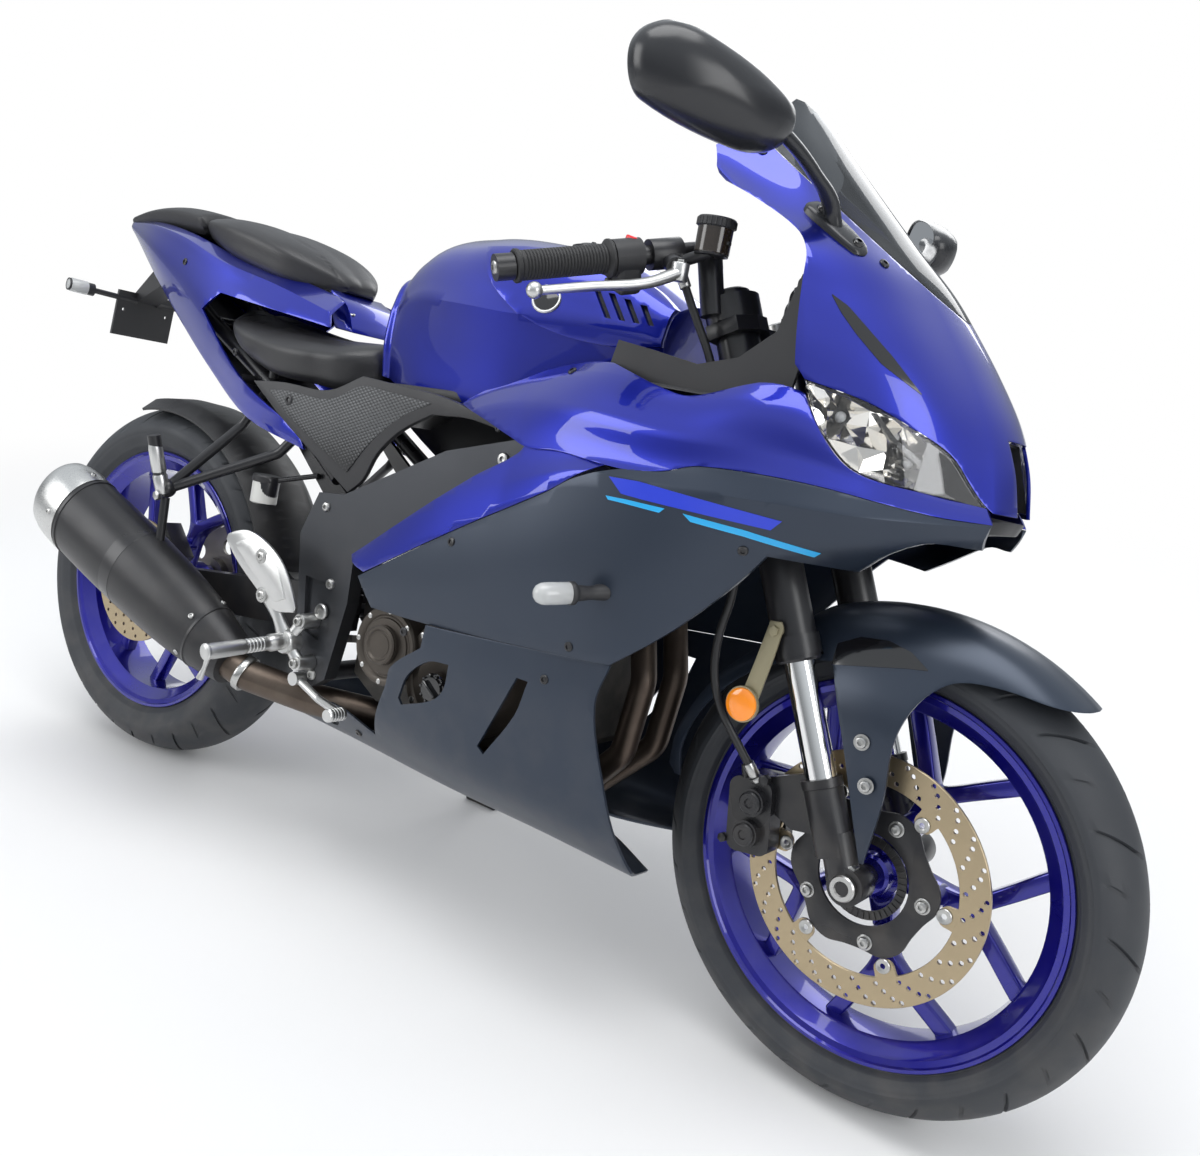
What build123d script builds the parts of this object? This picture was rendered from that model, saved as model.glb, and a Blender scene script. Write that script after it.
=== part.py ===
from build123d import *
from functools import cache
import math
import os

# A fully faired sport motorcycle, leaning on its side stand with the bars a little to the right.
# It is modelled upright with straight steering: X forward, Y to the rider's left, Z up, millimetres,
# the origin on the ground midway between the axles. The finished nodes are then turned and parked.

# ---- driving dimensions: chassis ----
wheelbase = 1380
front_tyre_radius = 293
front_tyre_width = 112
rear_tyre_radius = 314
rear_tyre_width = 142
flange_radius = 231
front_rim_width = 82
rear_rim_width = 114
rake = 25
fork_offset = 38
fork_spread = 190
yoke_offset = 27
steer_rest = -4
steer_lock = 33
lean = 11.5
stand_fold = 105
cap_open = 90
running_gap = 0.05
seat_gap = 0.3

# ---- driving dimensions: wheels, brakes, drive ----
spoke_count = 5
front_spoke_angle = 69.3
spoke_fork_radius = 117
spoke_spread = 20.6
spoke_depth = 24
axle_radius = 9
hub_radius = 32
tyre_bead = 2.5
front_disc_radius = 149
rear_disc_radius = 110
disc_thickness = 4.5
disc_lugs = 6
lug_radius = 100
carrier_bolt_radius = 75
front_disc_line = 60.5
rear_disc_line = 84
chain_line = 86
chain_width = 14
chain_height = 13
rear_sprocket_radius = 104
front_sprocket_radius = 34
tooth_gap = 0.6

# ---- driving dimensions: fork, along the steering axis from the axle's level ----
stanchion_radius = 18.5
fork_tube_radius = 26
collar_height = 2.5
foot_radius = 23
foot_top = 118
seal_level = 265
lower_yoke_level = 385
upper_yoke_level = 650
fork_top_level = 702
yoke_thickness = 26
stem_radius = 16
head_tube_radius = 30
yoke_clear = 5

# ---- driving dimensions: skins and tubes ----
skin = 4
joint_gap = 0.8
link_clear = 6
spar_inner = 134
spar_outer = 158
arm_inner = 102
arm_outer = 130
rail_radius = 13
gusset_inner = 94
gusset_thickness = 8
pivot_radius = 10
spool_x = 50 - wheelbase / 2
spool_z = 326
spool_radius = 4
spool_depth = 18
barrel_half = 104
header_radius = 17
silencer_length = 484
bar_radius = 11
grip_radius = 17
grip_length = 118
bar_thread_radius = 3
bar_thread_depth = 20

# ---- key points, upright frame ----
front_axle = Vector(wheelbase / 2, 0, front_tyre_radius)
rear_axle = Vector(-wheelbase / 2, 0, rear_tyre_radius)
pivot = Vector(-148, 0, 397)
front_sprocket = Vector(-95, 0, 385)
steer_up = Vector(-math.sin(math.radians(rake)), 0, math.cos(math.radians(rake)))
steer_ahead = Vector(math.cos(math.radians(rake)), 0, math.sin(math.radians(rake)))
steer_foot = front_axle - steer_ahead * fork_offset
fork_plane = Plane(origin=steer_foot, x_dir=steer_ahead, z_dir=steer_up)
bottom = (Align.CENTER, Align.CENTER, Align.MIN)


# ---- small makers ----
def side_face(outline):
    """Face in the XZ plane from (x, z) points."""
    return make_face(Polyline(*[(x, 0, z) for x, z in outline], close=True))


def side_prism(outline, y_low, y_high):
    """Solid between two Y planes from an outline of (x, z) points."""
    return Pos(0, y_low, 0) * extrude(side_face(outline), amount=y_high - y_low, dir=(0, 1, 0))


def both(shape):
    """A piece and its mirror image on the other side of the bike."""
    return [shape, mirror(shape, about=Plane.XZ)]


def left_of(shape):
    return mirror(shape, about=Plane.XZ)


def rod(start, end, radius, far_radius=None):
    start = Vector(*start)
    reach = Vector(*end) - start
    if far_radius is None or far_radius == radius:
        body = Cylinder(radius, reach.length, align=bottom)
    else:
        body = Cone(radius, far_radius, reach.length, align=bottom)
    return Plane(origin=start, z_dir=reach) * body


def cross_rod(x, z, y_low, y_high, radius):
    return rod((x, y_low, z), (x, y_high, z), radius)


def pipe(points, radius, bend):
    """Round tube, filled, along straight runs joined by tangent arcs."""
    points = [Vector(*point) for point in points]
    route = FilletPolyline(*points, radius=bend)
    section = Plane(origin=points[0], z_dir=points[1] - points[0]) * Circle(radius)
    return sweep(section, path=route)


def turned(profile, span=360):
    """Solid of revolution about Y from (radius, y) points."""
    face = make_face(Polyline(*profile, close=True))
    return revolve(face, axis=Axis.Y, revolution_arc=span)


def arc_shell(profile, low_angle, high_angle):
    """Part of a turned solid about Y, between two angles measured up from straight ahead."""
    return Rot(0, -high_angle, 0) * turned(profile, high_angle - low_angle)


def section_face(x, points):
    """Face in the plane of constant x from (y, z) points."""
    return make_face(Polyline(*[(x, y, z) for y, z in points], close=True))


def one_solid(pieces):
    whole = pieces[0]
    for piece in pieces[1:]:
        whole = whole + piece
    return whole


# ---- placing: the turned steering and the parked lean ----
def turn_about(point, direction, angle):
    return Pos(*point) * Location((0, 0, 0), direction, angle) * Pos(*(Vector(*point) * -1))


steer_turn = turn_about(steer_foot, steer_up, steer_rest)


def crown_radius(width, drop):
    """Radius of the arc across a tyre's tread that falls by drop at half the width."""
    return ((width / 2) ** 2 + drop ** 2) / (2 * drop)


front_shoulder_drop = 36
rear_shoulder_drop = 42
front_crown = crown_radius(front_tyre_width, front_shoulder_drop)
rear_crown = crown_radius(rear_tyre_width, rear_shoulder_drop)


def tyre_low(place, centre, radius, crown):
    """Lowest point of a tyre, whose tread is a torus, after a placement."""
    hub = (place * Pos(*centre)).position
    side = (place * Pos(*(centre + Vector(0, 1, 0)))).position - hub
    return hub.Z - (radius - crown) * math.sqrt(1 - side.Z ** 2) - crown


def parked_place():
    """Leans the bike to its left, then levels and drops it until both tyres touch the ground."""
    roll = Location((0, 0, 0), (1, 0, 0), -lean)
    pitch = 0
    for attempt in range(6):
        place = Location((0, 0, 0), (0, 1, 0), pitch) * roll
        front_low = tyre_low(place * steer_turn, front_axle, front_tyre_radius, front_crown)
        rear_low = tyre_low(place, rear_axle, rear_tyre_radius, rear_crown)
        pitch = pitch + math.degrees((front_low - rear_low) / wheelbase)
    return Pos(0, 0, -(front_low + rear_low) / 2) * place


lean_place = parked_place()


# ---- wheels ----
def rim(half):
    """Rim barrel: two flanges, a dropped well and a slim inner face."""
    bead_seat = half - 7
    well = half - 24
    outer = [(flange_radius, half), (flange_radius, half - 4), (flange_radius - 11, bead_seat),
             (flange_radius - 14, half - 15), (flange_radius - 25, well)]
    inner = [(flange_radius - 17, half), (flange_radius - 31, half - 14)]
    profile = outer + [(r, -y) for r, y in reversed(outer)]
    profile = profile + [(r, -y) for r, y in inner] + [(flange_radius - 34, 0)]
    profile = profile + [(r, y) for r, y in reversed(inner)]
    return turned(profile)


def spoke_set(first_angle, half_depth):
    """Five stems that each split into two slim branches before the rim."""
    rim_reach = flange_radius - 33
    stem = [(hub_radius - 6, -17), (hub_radius - 6, 17), (spoke_fork_radius, 12), (spoke_fork_radius, -12)]
    blades = []
    for turn in range(spoke_count):
        angle = math.radians(first_angle - turn * 360 / spoke_count)
        out = Vector(math.cos(angle), 0, math.sin(angle))
        across = Vector(-math.sin(angle), 0, math.cos(angle))
        blades.append([out * u + across * v for u, v in stem])
        for side in (-1, 1):
            far = math.radians(side * spoke_spread)
            root = Vector(spoke_fork_radius - 12, side * 3)
            tip = Vector(rim_reach * math.cos(far), rim_reach * math.sin(far))
            run = (tip - root).normalized()
            normal = Vector(-run.Y, run.X)
            corners = [root + normal * 8, tip + normal * 10, tip - normal * 10, root - normal * 8]
            blades.append([out * p.X + across * p.Y for p in corners])
    solids = []
    for corners in blades:
        outline = [(point.X, point.Z) for point in corners]
        solids.append(side_prism(outline, -half_depth, half_depth))
    return one_solid(solids)


def wheel_rim(half, first_angle, hub_half, disc_line):
    """Cast wheel with its hub bored for the axle and bosses that carry the disc."""
    body = rim(half) + spoke_set(first_angle, spoke_depth / 2)
    body = body + cross_rod(0, 0, -hub_half, hub_half, hub_radius)
    boss_end = disc_line - disc_thickness / 2 - seat_gap
    for turn in range(spoke_count):
        angle = math.radians(first_angle - turn * 360 / spoke_count)
        x = carrier_bolt_radius * math.cos(angle)
        z = carrier_bolt_radius * math.sin(angle)
        body = body + cross_rod(x, z, -boss_end, 0, 11)
    return body - cross_rod(0, 0, -hub_half - 1, hub_half + 1, axle_radius + running_gap)


def tyre(radius, width, drop, rim_half):
    """Tyre filled down to the rim, with a round tread and bulging sidewalls."""
    shoulder = radius - drop
    clear = seat_gap
    bead_y = rim_half - 4 - clear
    seat_y = rim_half - 7.4
    foot = flange_radius - 25 + clear
    points = [(flange_radius + tyre_bead, bead_y + 2), (shoulder, width / 2)]
    wall_mid = ((points[0][0] + shoulder) / 2 - 2, (points[0][1] + width / 2) / 2 + 4)
    tread = ThreePointArc((shoulder, width / 2), (radius, 0), (shoulder, -width / 2))
    walls = [ThreePointArc((points[0][0], s * points[0][1]), (wall_mid[0], s * wall_mid[1]),
                           (shoulder, s * width / 2)) for s in (1, -1)]
    seat = [(flange_radius + tyre_bead, bead_y + 2), (flange_radius + 0.5, bead_y),
            (flange_radius - 10.5, seat_y), (flange_radius - 13.5, rim_half - 15.4), (foot, rim_half - 24.5),
            (foot, -(rim_half - 24.5)), (flange_radius - 13.5, -(rim_half - 15.4)),
            (flange_radius - 10.5, -seat_y), (flange_radius + 0.5, -bead_y),
            (flange_radius + tyre_bead, -bead_y - 2)]
    face = make_face([tread, walls[0], walls[1], Polyline(*seat)])
    return revolve(face, axis=Axis.Y)


def ring(outer, inner, y_low, y_high):
    return cross_rod(0, 0, y_low, y_high, outer) - cross_rod(0, 0, y_low - 1, y_high + 1, inner)


def brake_disc(radius, inner, line):
    """Floating ring with round buttons on its inward lugs."""
    near = -line - disc_thickness / 2
    far = -line + disc_thickness / 2
    body = ring(radius, inner, near, far)
    for turn in range(disc_lugs):
        angle = 57.7 - turn * 360 / disc_lugs
        lug = Pos((lug_radius + inner + 3) / 2, -line, 0) * Box(inner + 3 - lug_radius, disc_thickness, 24)
        lug = Rot(0, -angle, 0) * lug
        button = Rot(0, -angle, 0) * cross_rod(lug_radius, 0, near - 1.5, far + 1.5, 9)
        body = body + lug + button
    return body


def disc_carrier(line):
    """Star-shaped centre that the ring's buttons ride on."""
    near = -line - disc_thickness / 2
    far = -line + disc_thickness / 2
    body = ring(88, 58, near, far)
    for turn in range(disc_lugs):
        angle = 57.7 - turn * 360 / disc_lugs
        arm = Pos(90, -line, 0) * Box(2 * (lug_radius - 90), disc_thickness, 34)
        arm = arm - cross_rod(lug_radius, 0, near - 2, far + 2, 9 + seat_gap)
        body = body + Rot(0, -angle, 0) * arm
    return body


def at(point, shape):
    return Pos(*point) * shape


def front_rim():
    return at(front_axle, wheel_rim(front_rim_width / 2, front_spoke_angle, 50, front_disc_line))


def front_tyre():
    body = tyre(front_tyre_radius, front_tyre_width, front_shoulder_drop, front_rim_width / 2)
    return at(front_axle, body)


def front_disc():
    """Floating brake ring and the star-shaped carrier bolted to the wheel."""
    ring_part = brake_disc(front_disc_radius, 114, front_disc_line)
    return at(front_axle, ring_part), at(front_axle, disc_carrier(front_disc_line))


def rear_rim():
    return at(rear_axle, wheel_rim(rear_rim_width / 2, front_spoke_angle, 66, rear_disc_line))


def rear_tyre():
    body = tyre(rear_tyre_radius, rear_tyre_width, rear_shoulder_drop, rear_rim_width / 2)
    return at(rear_axle, body)


def rear_disc():
    near = -rear_disc_line - disc_thickness / 2
    far = -rear_disc_line + disc_thickness / 2
    return at(rear_axle, ring(rear_disc_radius, 62, near, far))


def rear_sprocket():
    """Sprocket plate on a stub of the hub, bored for the axle."""
    plate = ring(rear_sprocket_radius - chain_height / 2 - tooth_gap, axle_radius + running_gap,
                 chain_line - 3, chain_line + 3)
    stub = ring(40, axle_radius + running_gap, 66 + seat_gap, chain_line - 3)
    return at(rear_axle, plate + stub)


# ---- fork and steering, in the fork plane: a ahead, b left, t up along the axis ----
def on_fork(shape):
    return fork_plane * shape


def fork_point(ahead, left, along):
    return (fork_plane * Pos(ahead, left, along)).position


def fork_bar(side, low, high, radius):
    column = Cylinder(radius, high - low, align=bottom)
    return on_fork(Pos(yoke_offset, side * fork_spread / 2, low) * column)


def fork_tubes():
    """Dark outer tubes with a seal collar, bored for the stanchions."""
    legs = []
    for side in (-1, 1):
        leg = fork_bar(side, seal_level, fork_top_level, fork_tube_radius)
        leg = leg + fork_bar(side, seal_level, seal_level + 24, fork_tube_radius + collar_height)
        leg = leg - fork_bar(side, seal_level - 1, seal_level + 60, stanchion_radius + running_gap)
        legs.append(leg)
    return legs


def stanchions():
    return [fork_bar(side, foot_top - 30, seal_level + 58, stanchion_radius) for side in (-1, 1)]


def fork_feet():
    """Black feet that hold the axle, with the axle through them."""
    feet = []
    for side in (-1, 1):
        foot = fork_bar(side, 34, foot_top, foot_radius)
        heel = on_fork(Pos(yoke_offset + 5, side * fork_spread / 2, 0) * Cylinder(20, 60, align=bottom))
        clamp = at(front_axle, cross_rod(0, 0, side * 76, side * 112, 22))
        foot = foot + heel + clamp
        foot = foot - fork_bar(side, foot_top - 30.5, foot_top + 1, stanchion_radius + running_gap)
        feet.append(foot)
    axle = at(front_axle, cross_rod(0, 0, -118, 118, axle_radius))
    sleeves = [at(front_axle, cross_rod(0, 0, side * (50 + seat_gap), side * 78, 14)) for side in (-1, 1)]
    return one_solid(feet + [axle] + sleeves)


def yoke_plate(low, thickness):
    """Plate that clamps both fork tubes and the stem."""
    outline = [(-34, -40), (-34, 40), (-2, 92), (4, 128), (48, 130), (62, 104), (62, 80), (40, 40),
               (40, -40), (62, -80), (62, -104), (48, -130), (4, -128), (-2, -92)]
    plate = extrude(make_face(Polyline(*outline, close=True)), amount=thickness)
    plate = on_fork(Pos(0, 0, low) * plate)
    for side in (-1, 1):
        plate = plate - fork_bar(side, low - 1, low + thickness + 1, fork_tube_radius + running_gap)
    return plate


def yokes():
    upper = yoke_plate(upper_yoke_level, yoke_thickness - 8)
    lower = yoke_plate(lower_yoke_level, yoke_thickness)
    stem = on_fork(Pos(0, 0, lower_yoke_level) * Cylinder(
        stem_radius, upper_yoke_level - lower_yoke_level + 26, align=bottom))
    return upper + lower + stem


def head_tube(radius):
    """Outside of the frame's head tube, between the two yokes."""
    low = fork_point(0, 0, lower_yoke_level + yoke_thickness + yoke_clear)
    high = fork_point(0, 0, upper_yoke_level - yoke_clear)
    return rod(low, high, radius)


mudguard_rear_angle = 163
mudguard_front_angle = 52


def front_mudguard():
    """Arched shell over the tyre with a blade down the front of each fork leg."""
    arch = [(319, 0), (316, 22), (307, 46), (290, 64), (255, 74), (254, 71), (288, 61), (304, 44),
            (313, 21), (316, 0)]
    profile = arch + [(r, -y) for r, y in reversed(arch[1:-1])]
    shell = arc_shell(profile, mudguard_front_angle, mudguard_rear_angle)
    skirt = [(-360, -43), (-360, 427), (210, 427), (210, 267), (160, 256), (110, 263), (58, 263),
             (34, 247), (-90, 245), (-170, 207), (-250, 127), (-272, 52), (-265, 37), (-310, 37)]
    shell = shell & side_prism(skirt, -90, 90)
    fall = [(62, 287), (97, 197), (99, 27), (103, 27), (101, 198), (66, 291)]
    blade = extrude(section_face(-130, fall), amount=220, dir=(1, 0, 0))
    edge = [(-81, 243), (-52, 175), (-26, 107), (4, 29), (12, 29), (18, 107), (10, 169),
            (22, 222), (58, 263), (34, 297), (-90, 297)]
    blade = blade & side_prism(edge, 60, 120)
    guard = at(front_axle, shell + blade + left_of(blade))
    for side in (-1, 1):
        guard = guard - fork_bar(side, seal_level - 5, fork_top_level, fork_tube_radius + collar_height + seat_gap)
        guard = guard - fork_bar(side, 0, seal_level, stanchion_radius + 1)
    return max(guard.solids(), key=lambda piece: piece.volume)


def front_caliper():
    """Two-piston caliper astride the disc, behind the right fork leg."""
    body = Pos(0, -front_disc_line - 4, 0) * Box(58, 62, 92)
    body = fillet(body.edges().filter_by(Axis.Y), 14)
    body = Rot(0, -8, 0) * body
    body = Pos(-142, 0, 29) * body
    body = body - ring(front_disc_radius + 5, 96, -front_disc_line - 8, -front_disc_line + 8)
    body = body - ring(240, 186, -60, 60)
    for z in (9, 49):
        body = body + cross_rod(-138, z, -front_disc_line - 46, -front_disc_line - 34, 17)
    lug = side_prism([(-134, 79), (-90, 99), (-50, 79), (-44, 37), (-90, 29), (-134, 47)],
                     -front_disc_line - 24, -front_disc_line - 12)
    body = at(front_axle, body)
    lug = at(front_axle, lug)
    lug = lug - fork_bar(-1, 0, foot_top + 40, foot_radius + seat_gap)
    return max((body + lug).solids(), key=lambda piece: piece.volume)


bar_root = Vector(360, 124, 974)
bar_out = Vector(-66, 115, -38).normalized()
grip_start = 128
grip_end = grip_start + grip_length
bar_length = grip_end + 22


def bar_point(along):
    return bar_root + bar_out * along


def handlebars():
    """Raised clip-ons: a clamp on each fork tube, a riser and the bar."""
    clamp = fork_bar(1, upper_yoke_level + yoke_thickness - 8 + 0.5, fork_top_level - 4, 34)
    clamp = clamp - fork_bar(1, upper_yoke_level, fork_top_level + 30, fork_tube_radius + running_gap)
    riser = rod(fork_point(yoke_offset - 12, 124, 678), bar_root, 15)
    riser = riser - fork_bar(1, upper_yoke_level, fork_top_level + 30, fork_tube_radius + running_gap)
    bar = rod(bar_root - bar_out * 14, bar_point(bar_length), bar_radius)
    weight = rod(bar_point(grip_end + 1), bar_point(bar_length), 15)
    thread = rod(bar_point(bar_length - bar_thread_depth), bar_point(bar_length + 1), bar_thread_radius)
    return both(clamp + riser + bar + weight - thread)


def grips():
    grip = rod(bar_point(grip_start), bar_point(grip_end), grip_radius)
    grip = grip + rod(bar_point(grip_start), bar_point(grip_start + 5), grip_radius + 5)
    grip = grip + rod(bar_point(grip_end - 5), bar_point(grip_end), grip_radius + 2)
    grip = grip - rod(bar_point(grip_start - 1), bar_point(grip_end + 1), bar_radius + running_gap)
    return both(grip)


def switchgear():
    """Switch housings clamped on the bars inboard of the grips."""
    housing = rod(bar_point(92), bar_point(grip_start - 1), 21)
    block = Plane(origin=bar_point(109), x_dir=(0.3, 0, 1), z_dir=bar_out) * Pos(-13, 0, 0) * Box(56, 36, 30)
    block = fillet(block.edges(), 7)
    housing = housing + block
    housing = housing - rod(bar_point(70), bar_point(grip_start + 2), bar_radius + running_gap)
    return both(housing)


lever_root = Vector(366, 186, 936)


def hand_levers():
    """Cast levers ahead of the grips, each ending in a ball."""
    tip = (286, 337, 882)
    lever = pipe([lever_root, (352, 222, 917), (318, 282, 899), tip], 6, 30)
    lever = lever + at(tip, Sphere(9.5)) + at(lever_root, Sphere(11))
    return both(lever)


def brake_master():
    """Master cylinder and lever brackets, with the round reservoir standing on the right one."""
    bar = rod(bar_point(30), bar_point(90), bar_radius + running_gap)
    barrel = rod(bar_point(40), bar_point(80), 18)
    arm = rod((346, 176, 948), lever_root - Vector(5, -2, -6), 11)
    bracket = barrel + arm - bar - at(lever_root, Sphere(11 + seat_gap))
    start = Vector(*hose_route[0])
    down = (Vector(*hose_route[1]) - start).normalized()
    inner = start - down * 20
    outer = start - down * seat_gap
    union = rod((inner.X, -inner.Y, inner.Z), (outer.X, -outer.Y, outer.Z), 6) - bar
    cup = Cylinder(20, 32, align=bottom) + Pos(0, 0, 32) * Cylinder(22, 10, align=bottom)
    stay = rod((346, 166, 950), (386, 158, 966), 7) - bar
    return [left_of(bracket + union + stay + Pos(386, 158, 962) * cup), bracket]


hose_route = [(350, -158, 938), (372, -152, 898), (402, -144, 850), (428, -140, 790), (462, -138, 700),
              (494, -136, 600), (478, -136, 520), (492, -132, 455), (524, -116, 410), (545, -98, 374)]


def brake_hose():
    """Hose from the master cylinder down behind the fork leg to the caliper."""
    return pipe(hose_route, 5, 26)


def front_reflectors():
    """Round side reflector on a bent arm that stands on each fork tube."""
    disc = at(front_axle, cross_rod(-160, 169, 132, 142, 21))
    arm = at(front_axle, side_prism([(-172, 159), (-148, 159), (-130, 267), (-148, 273)], 128, 131.7))
    foot = at(front_axle, cross_rod(-140, 263, 110, 130, 7))
    foot = foot - fork_bar(1, 0, fork_top_level, fork_tube_radius + seat_gap)
    foot = max(foot.solids(), key=lambda piece: piece.center().Y)
    return both(disc) + both(arm + foot)


# ---- frame ----
frame_outline = [(262, 748), (188, 716), (31, 668), (-146, 572), (-196, 566), (-222, 500), (-196, 350),
                 (-186, 300), (-150, 282), (-124, 300), (-104, 420), (-106, 486), (161, 686), (262, 704)]
shock_tube = Vector(-168, 0, 552)
shock_tube_radius = 18


def main_frame():
    """Head tube, two spars running into the pivot plates, their cross tubes and bosses."""
    spar = side_prism(frame_outline, spar_inner, spar_outer)
    recess = [(-150, 352), (-182, 360), (-196, 440), (-150, 440)]
    spar = spar - side_prism(recess, spar_outer - 6, spar_outer + 1)
    neck = rod((246, spar_inner + 8, 726), fork_point(-16, 14, 560), 19, 20)
    brace = rod((236, spar_inner + 6, 716), fork_point(-6, 16, 450), 13)
    engine_boss = cross_rod(130, 674, barrel_half + seat_gap, spar_inner + 1, 10)
    tank_post = rod((215, 60, 728), (215, 60, 790), 8) - Pos(0, 0, -seat_gap) * tank_body()
    radiator_tab = rod((250, 146, 722), (352, 140, 660), 7) - one_solid(radiator_pieces())
    half = spar + neck + brace + engine_boss
    body = half + left_of(half) + head_tube(head_tube_radius)
    tubes = [(shock_tube.X, shock_tube.Z, shock_tube_radius), (-152, 302, 14), (pivot.X, pivot.Z, pivot_radius),
             (215, 728, 10)]
    for x, z, radius in tubes:
        body = body + cross_rod(x, z, -spar_inner - 4, spar_inner + 4, radius)
    for piece in both(tank_post) + both(radiator_tab):
        body = body + max(piece.solids(), key=lambda part: part.volume)
    for y_low, y_high in [(-spar_outer - 4, -spar_outer + 2), (spar_outer - 2, spar_outer + 4)]:
        body = body + cross_rod(pivot.X, pivot.Z, y_low, y_high, 8)
    stem = rod(fork_point(0, 0, lower_yoke_level), fork_point(0, 0, upper_yoke_level), stem_radius + running_gap)
    return body + stand_bracket() - stem


def tail_rail(radius):
    points = [(-200, 118, 588), (-370, 104, 690), (-600, 78, 786), (-780, 52, 872)]
    return pipe(points, radius, 60)


def subframe():
    """Tail rails with their gussets, frame lugs, panel tabs and cross tubes."""
    gusset = side_prism([(-214, 498), (-192, 562), (-352, 668), (-372, 656), (-330, 628), (-236, 548)],
                        gusset_inner, gusset_inner + gusset_thickness)
    half = tail_rail(rail_radius) + gusset
    for x, z, radius in [(-205, 518, 8), (-197, 549, 6)]:
        half = half + cross_rod(x, z, gusset_inner + 2, spar_inner - seat_gap, radius)
    for x, z in [(-640, 803), (-440, 703)]:
        tab = cross_rod(x, z, gusset_inner - 30, 160, 7) & half_body(tail_stations, skin + seat_gap, 30)
        half = half + tab
    body = half + left_of(half)
    for x, z, reach in [(-390, 698, 101), (-600, 786, 78), (-766, 865, 54)]:
        body = body + cross_rod(x, z, -reach, reach, 9)
    return body + rod((-600, 0, 786), (-600, 0, 874), 8)


def swingarm():
    """Two box arms on the pivot tube, joined ahead of the tyre, with the rear axle."""
    tail = rear_axle.X
    outline = [(-128, 424), (-176, 432), (-380, 396), (tail, 352), (tail - 52, 340), (tail - 58, 300),
               (tail - 10, 290), (-400, 330), (-180, 358), (-130, 370)]
    arm = side_prism(outline, arm_inner, arm_outer)
    arm = arm - cross_rod(spool_x, spool_z, arm_outer - spool_depth, arm_outer + 1, spool_radius)
    body = arm + left_of(arm)
    yoke = side_prism([(-270, 352), (-336, 346), (-338, 392), (-272, 400)], -arm_inner - 1, arm_inner + 1)
    tube = cross_rod(pivot.X, pivot.Z, -62, 62, 26)
    web = [side_prism([(-140, 384), (-150, 416), (-274, 396), (-274, 356)], y - 9, y + 9) for y in (-46, 46)]
    body = body + yoke + tube + web[0] + web[1]
    axle = at(rear_axle, cross_rod(0, 0, -arm_outer - 12, arm_outer + 12, axle_radius))
    nuts = [at(rear_axle, cross_rod(0, 0, s * arm_outer, s * (arm_outer + 14), 16)) for s in (-1, 1)]
    sleeve_right = at(rear_axle, cross_rod(0, 0, -arm_inner - 1, -66 - seat_gap, 14))
    sleeve_left = at(rear_axle, cross_rod(0, 0, chain_line + 3 + seat_gap, arm_inner + 1, 14))
    body = one_solid([body, axle, sleeve_right, sleeve_left] + nuts)
    return body - cross_rod(pivot.X, pivot.Z, -arm_outer - 1, arm_outer + 1, pivot_radius + running_gap)


def rear_shock():
    """Single coil-over unit between the frame's cross tube and the arm's yoke."""
    foot = Vector(-286, 0, 404)
    top = shock_tube + (foot - shock_tube).normalized() * (shock_tube_radius + seat_gap)
    run = foot - top
    body = rod(top, top + run * 0.3, 22) + rod(top, foot, 12)
    spring = rod(top + run * 0.12, top + run * 0.82, 31)
    return body + spring - side_prism([(-270, 352), (-336, 346), (-338, 392.3), (-272, 400.3)], -60, 60)


def belt(grow):
    """Outline of the chain's run round both sprockets, grown sideways."""
    near_radius = front_sprocket_radius + grow
    far_radius = rear_sprocket_radius + grow
    gap = rear_axle - front_sprocket
    length = math.hypot(gap.X, gap.Z)
    lie = math.atan2(gap.Z, gap.X)
    offset = math.acos((near_radius - far_radius) / length)
    corners = []
    for side in (1, -1):
        angle = lie + side * offset
        corners.append(((front_sprocket.X + near_radius * math.cos(angle)),
                        (front_sprocket.Z + near_radius * math.sin(angle))))
        corners.append(((rear_axle.X + far_radius * math.cos(angle)),
                        (rear_axle.Z + far_radius * math.sin(angle))))
    quad = [corners[0], corners[1], corners[3], corners[2]]
    low = chain_line - chain_width / 2
    high = chain_line + chain_width / 2
    body = side_prism(quad, low, high)
    body = body + cross_rod(front_sprocket.X, front_sprocket.Z, low, high, near_radius)
    return body + cross_rod(rear_axle.X, rear_axle.Z, low, high, far_radius)


def chain():
    return belt(chain_height / 2) - belt(-chain_height / 2)


def hugger():
    """Inner rear mudguard, curved round the front of the rear tyre."""
    arch = [(330, 0), (326, 44), (306, 73), (302, 71), (322, 42), (326, 0)]
    profile = arch + [(r, -y) for r, y in reversed(arch[1:-1])]
    foot = side_prism([(-378, 394), (-378, 404), (-337.9, 386), (-337.7, 376)], -30, 30)
    return at(rear_axle, arc_shell(profile, 14, 104)) + foot


# ---- engine and exhaust ----
head_low = Vector(180, 0, 470)
head_high = Vector(276, 0, 610)
case_half = 112
case_floor = 283


def engine():
    """Plain block for the crankcase and the canted cylinder, with the output shaft and its sprocket."""
    case = side_prism([(-44, case_floor), (-44, 470), (20, 505), (150, 500), (232, 440), (236, 300),
                       (220, case_floor)], -case_half, case_half)
    rear = side_prism([(-112, 312), (-112, 430), (-44, 470), (-30, 470), (-30, case_floor), (-60, case_floor)],
                      -case_half, 66)
    barrel = side_prism([(30, 500), (head_low.X, head_low.Z), (head_high.X, head_high.Z), (236, 660),
                         (130, 690)], -barrel_half, barrel_half)
    shaft = cross_rod(front_sprocket.X, front_sprocket.Z, 60, 96, 12)
    teeth = cross_rod(front_sprocket.X, front_sprocket.Z, chain_line - 3, chain_line + 3,
                      front_sprocket_radius - chain_height / 2 - tooth_gap)
    return case + rear + barrel + shaft + teeth


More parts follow.
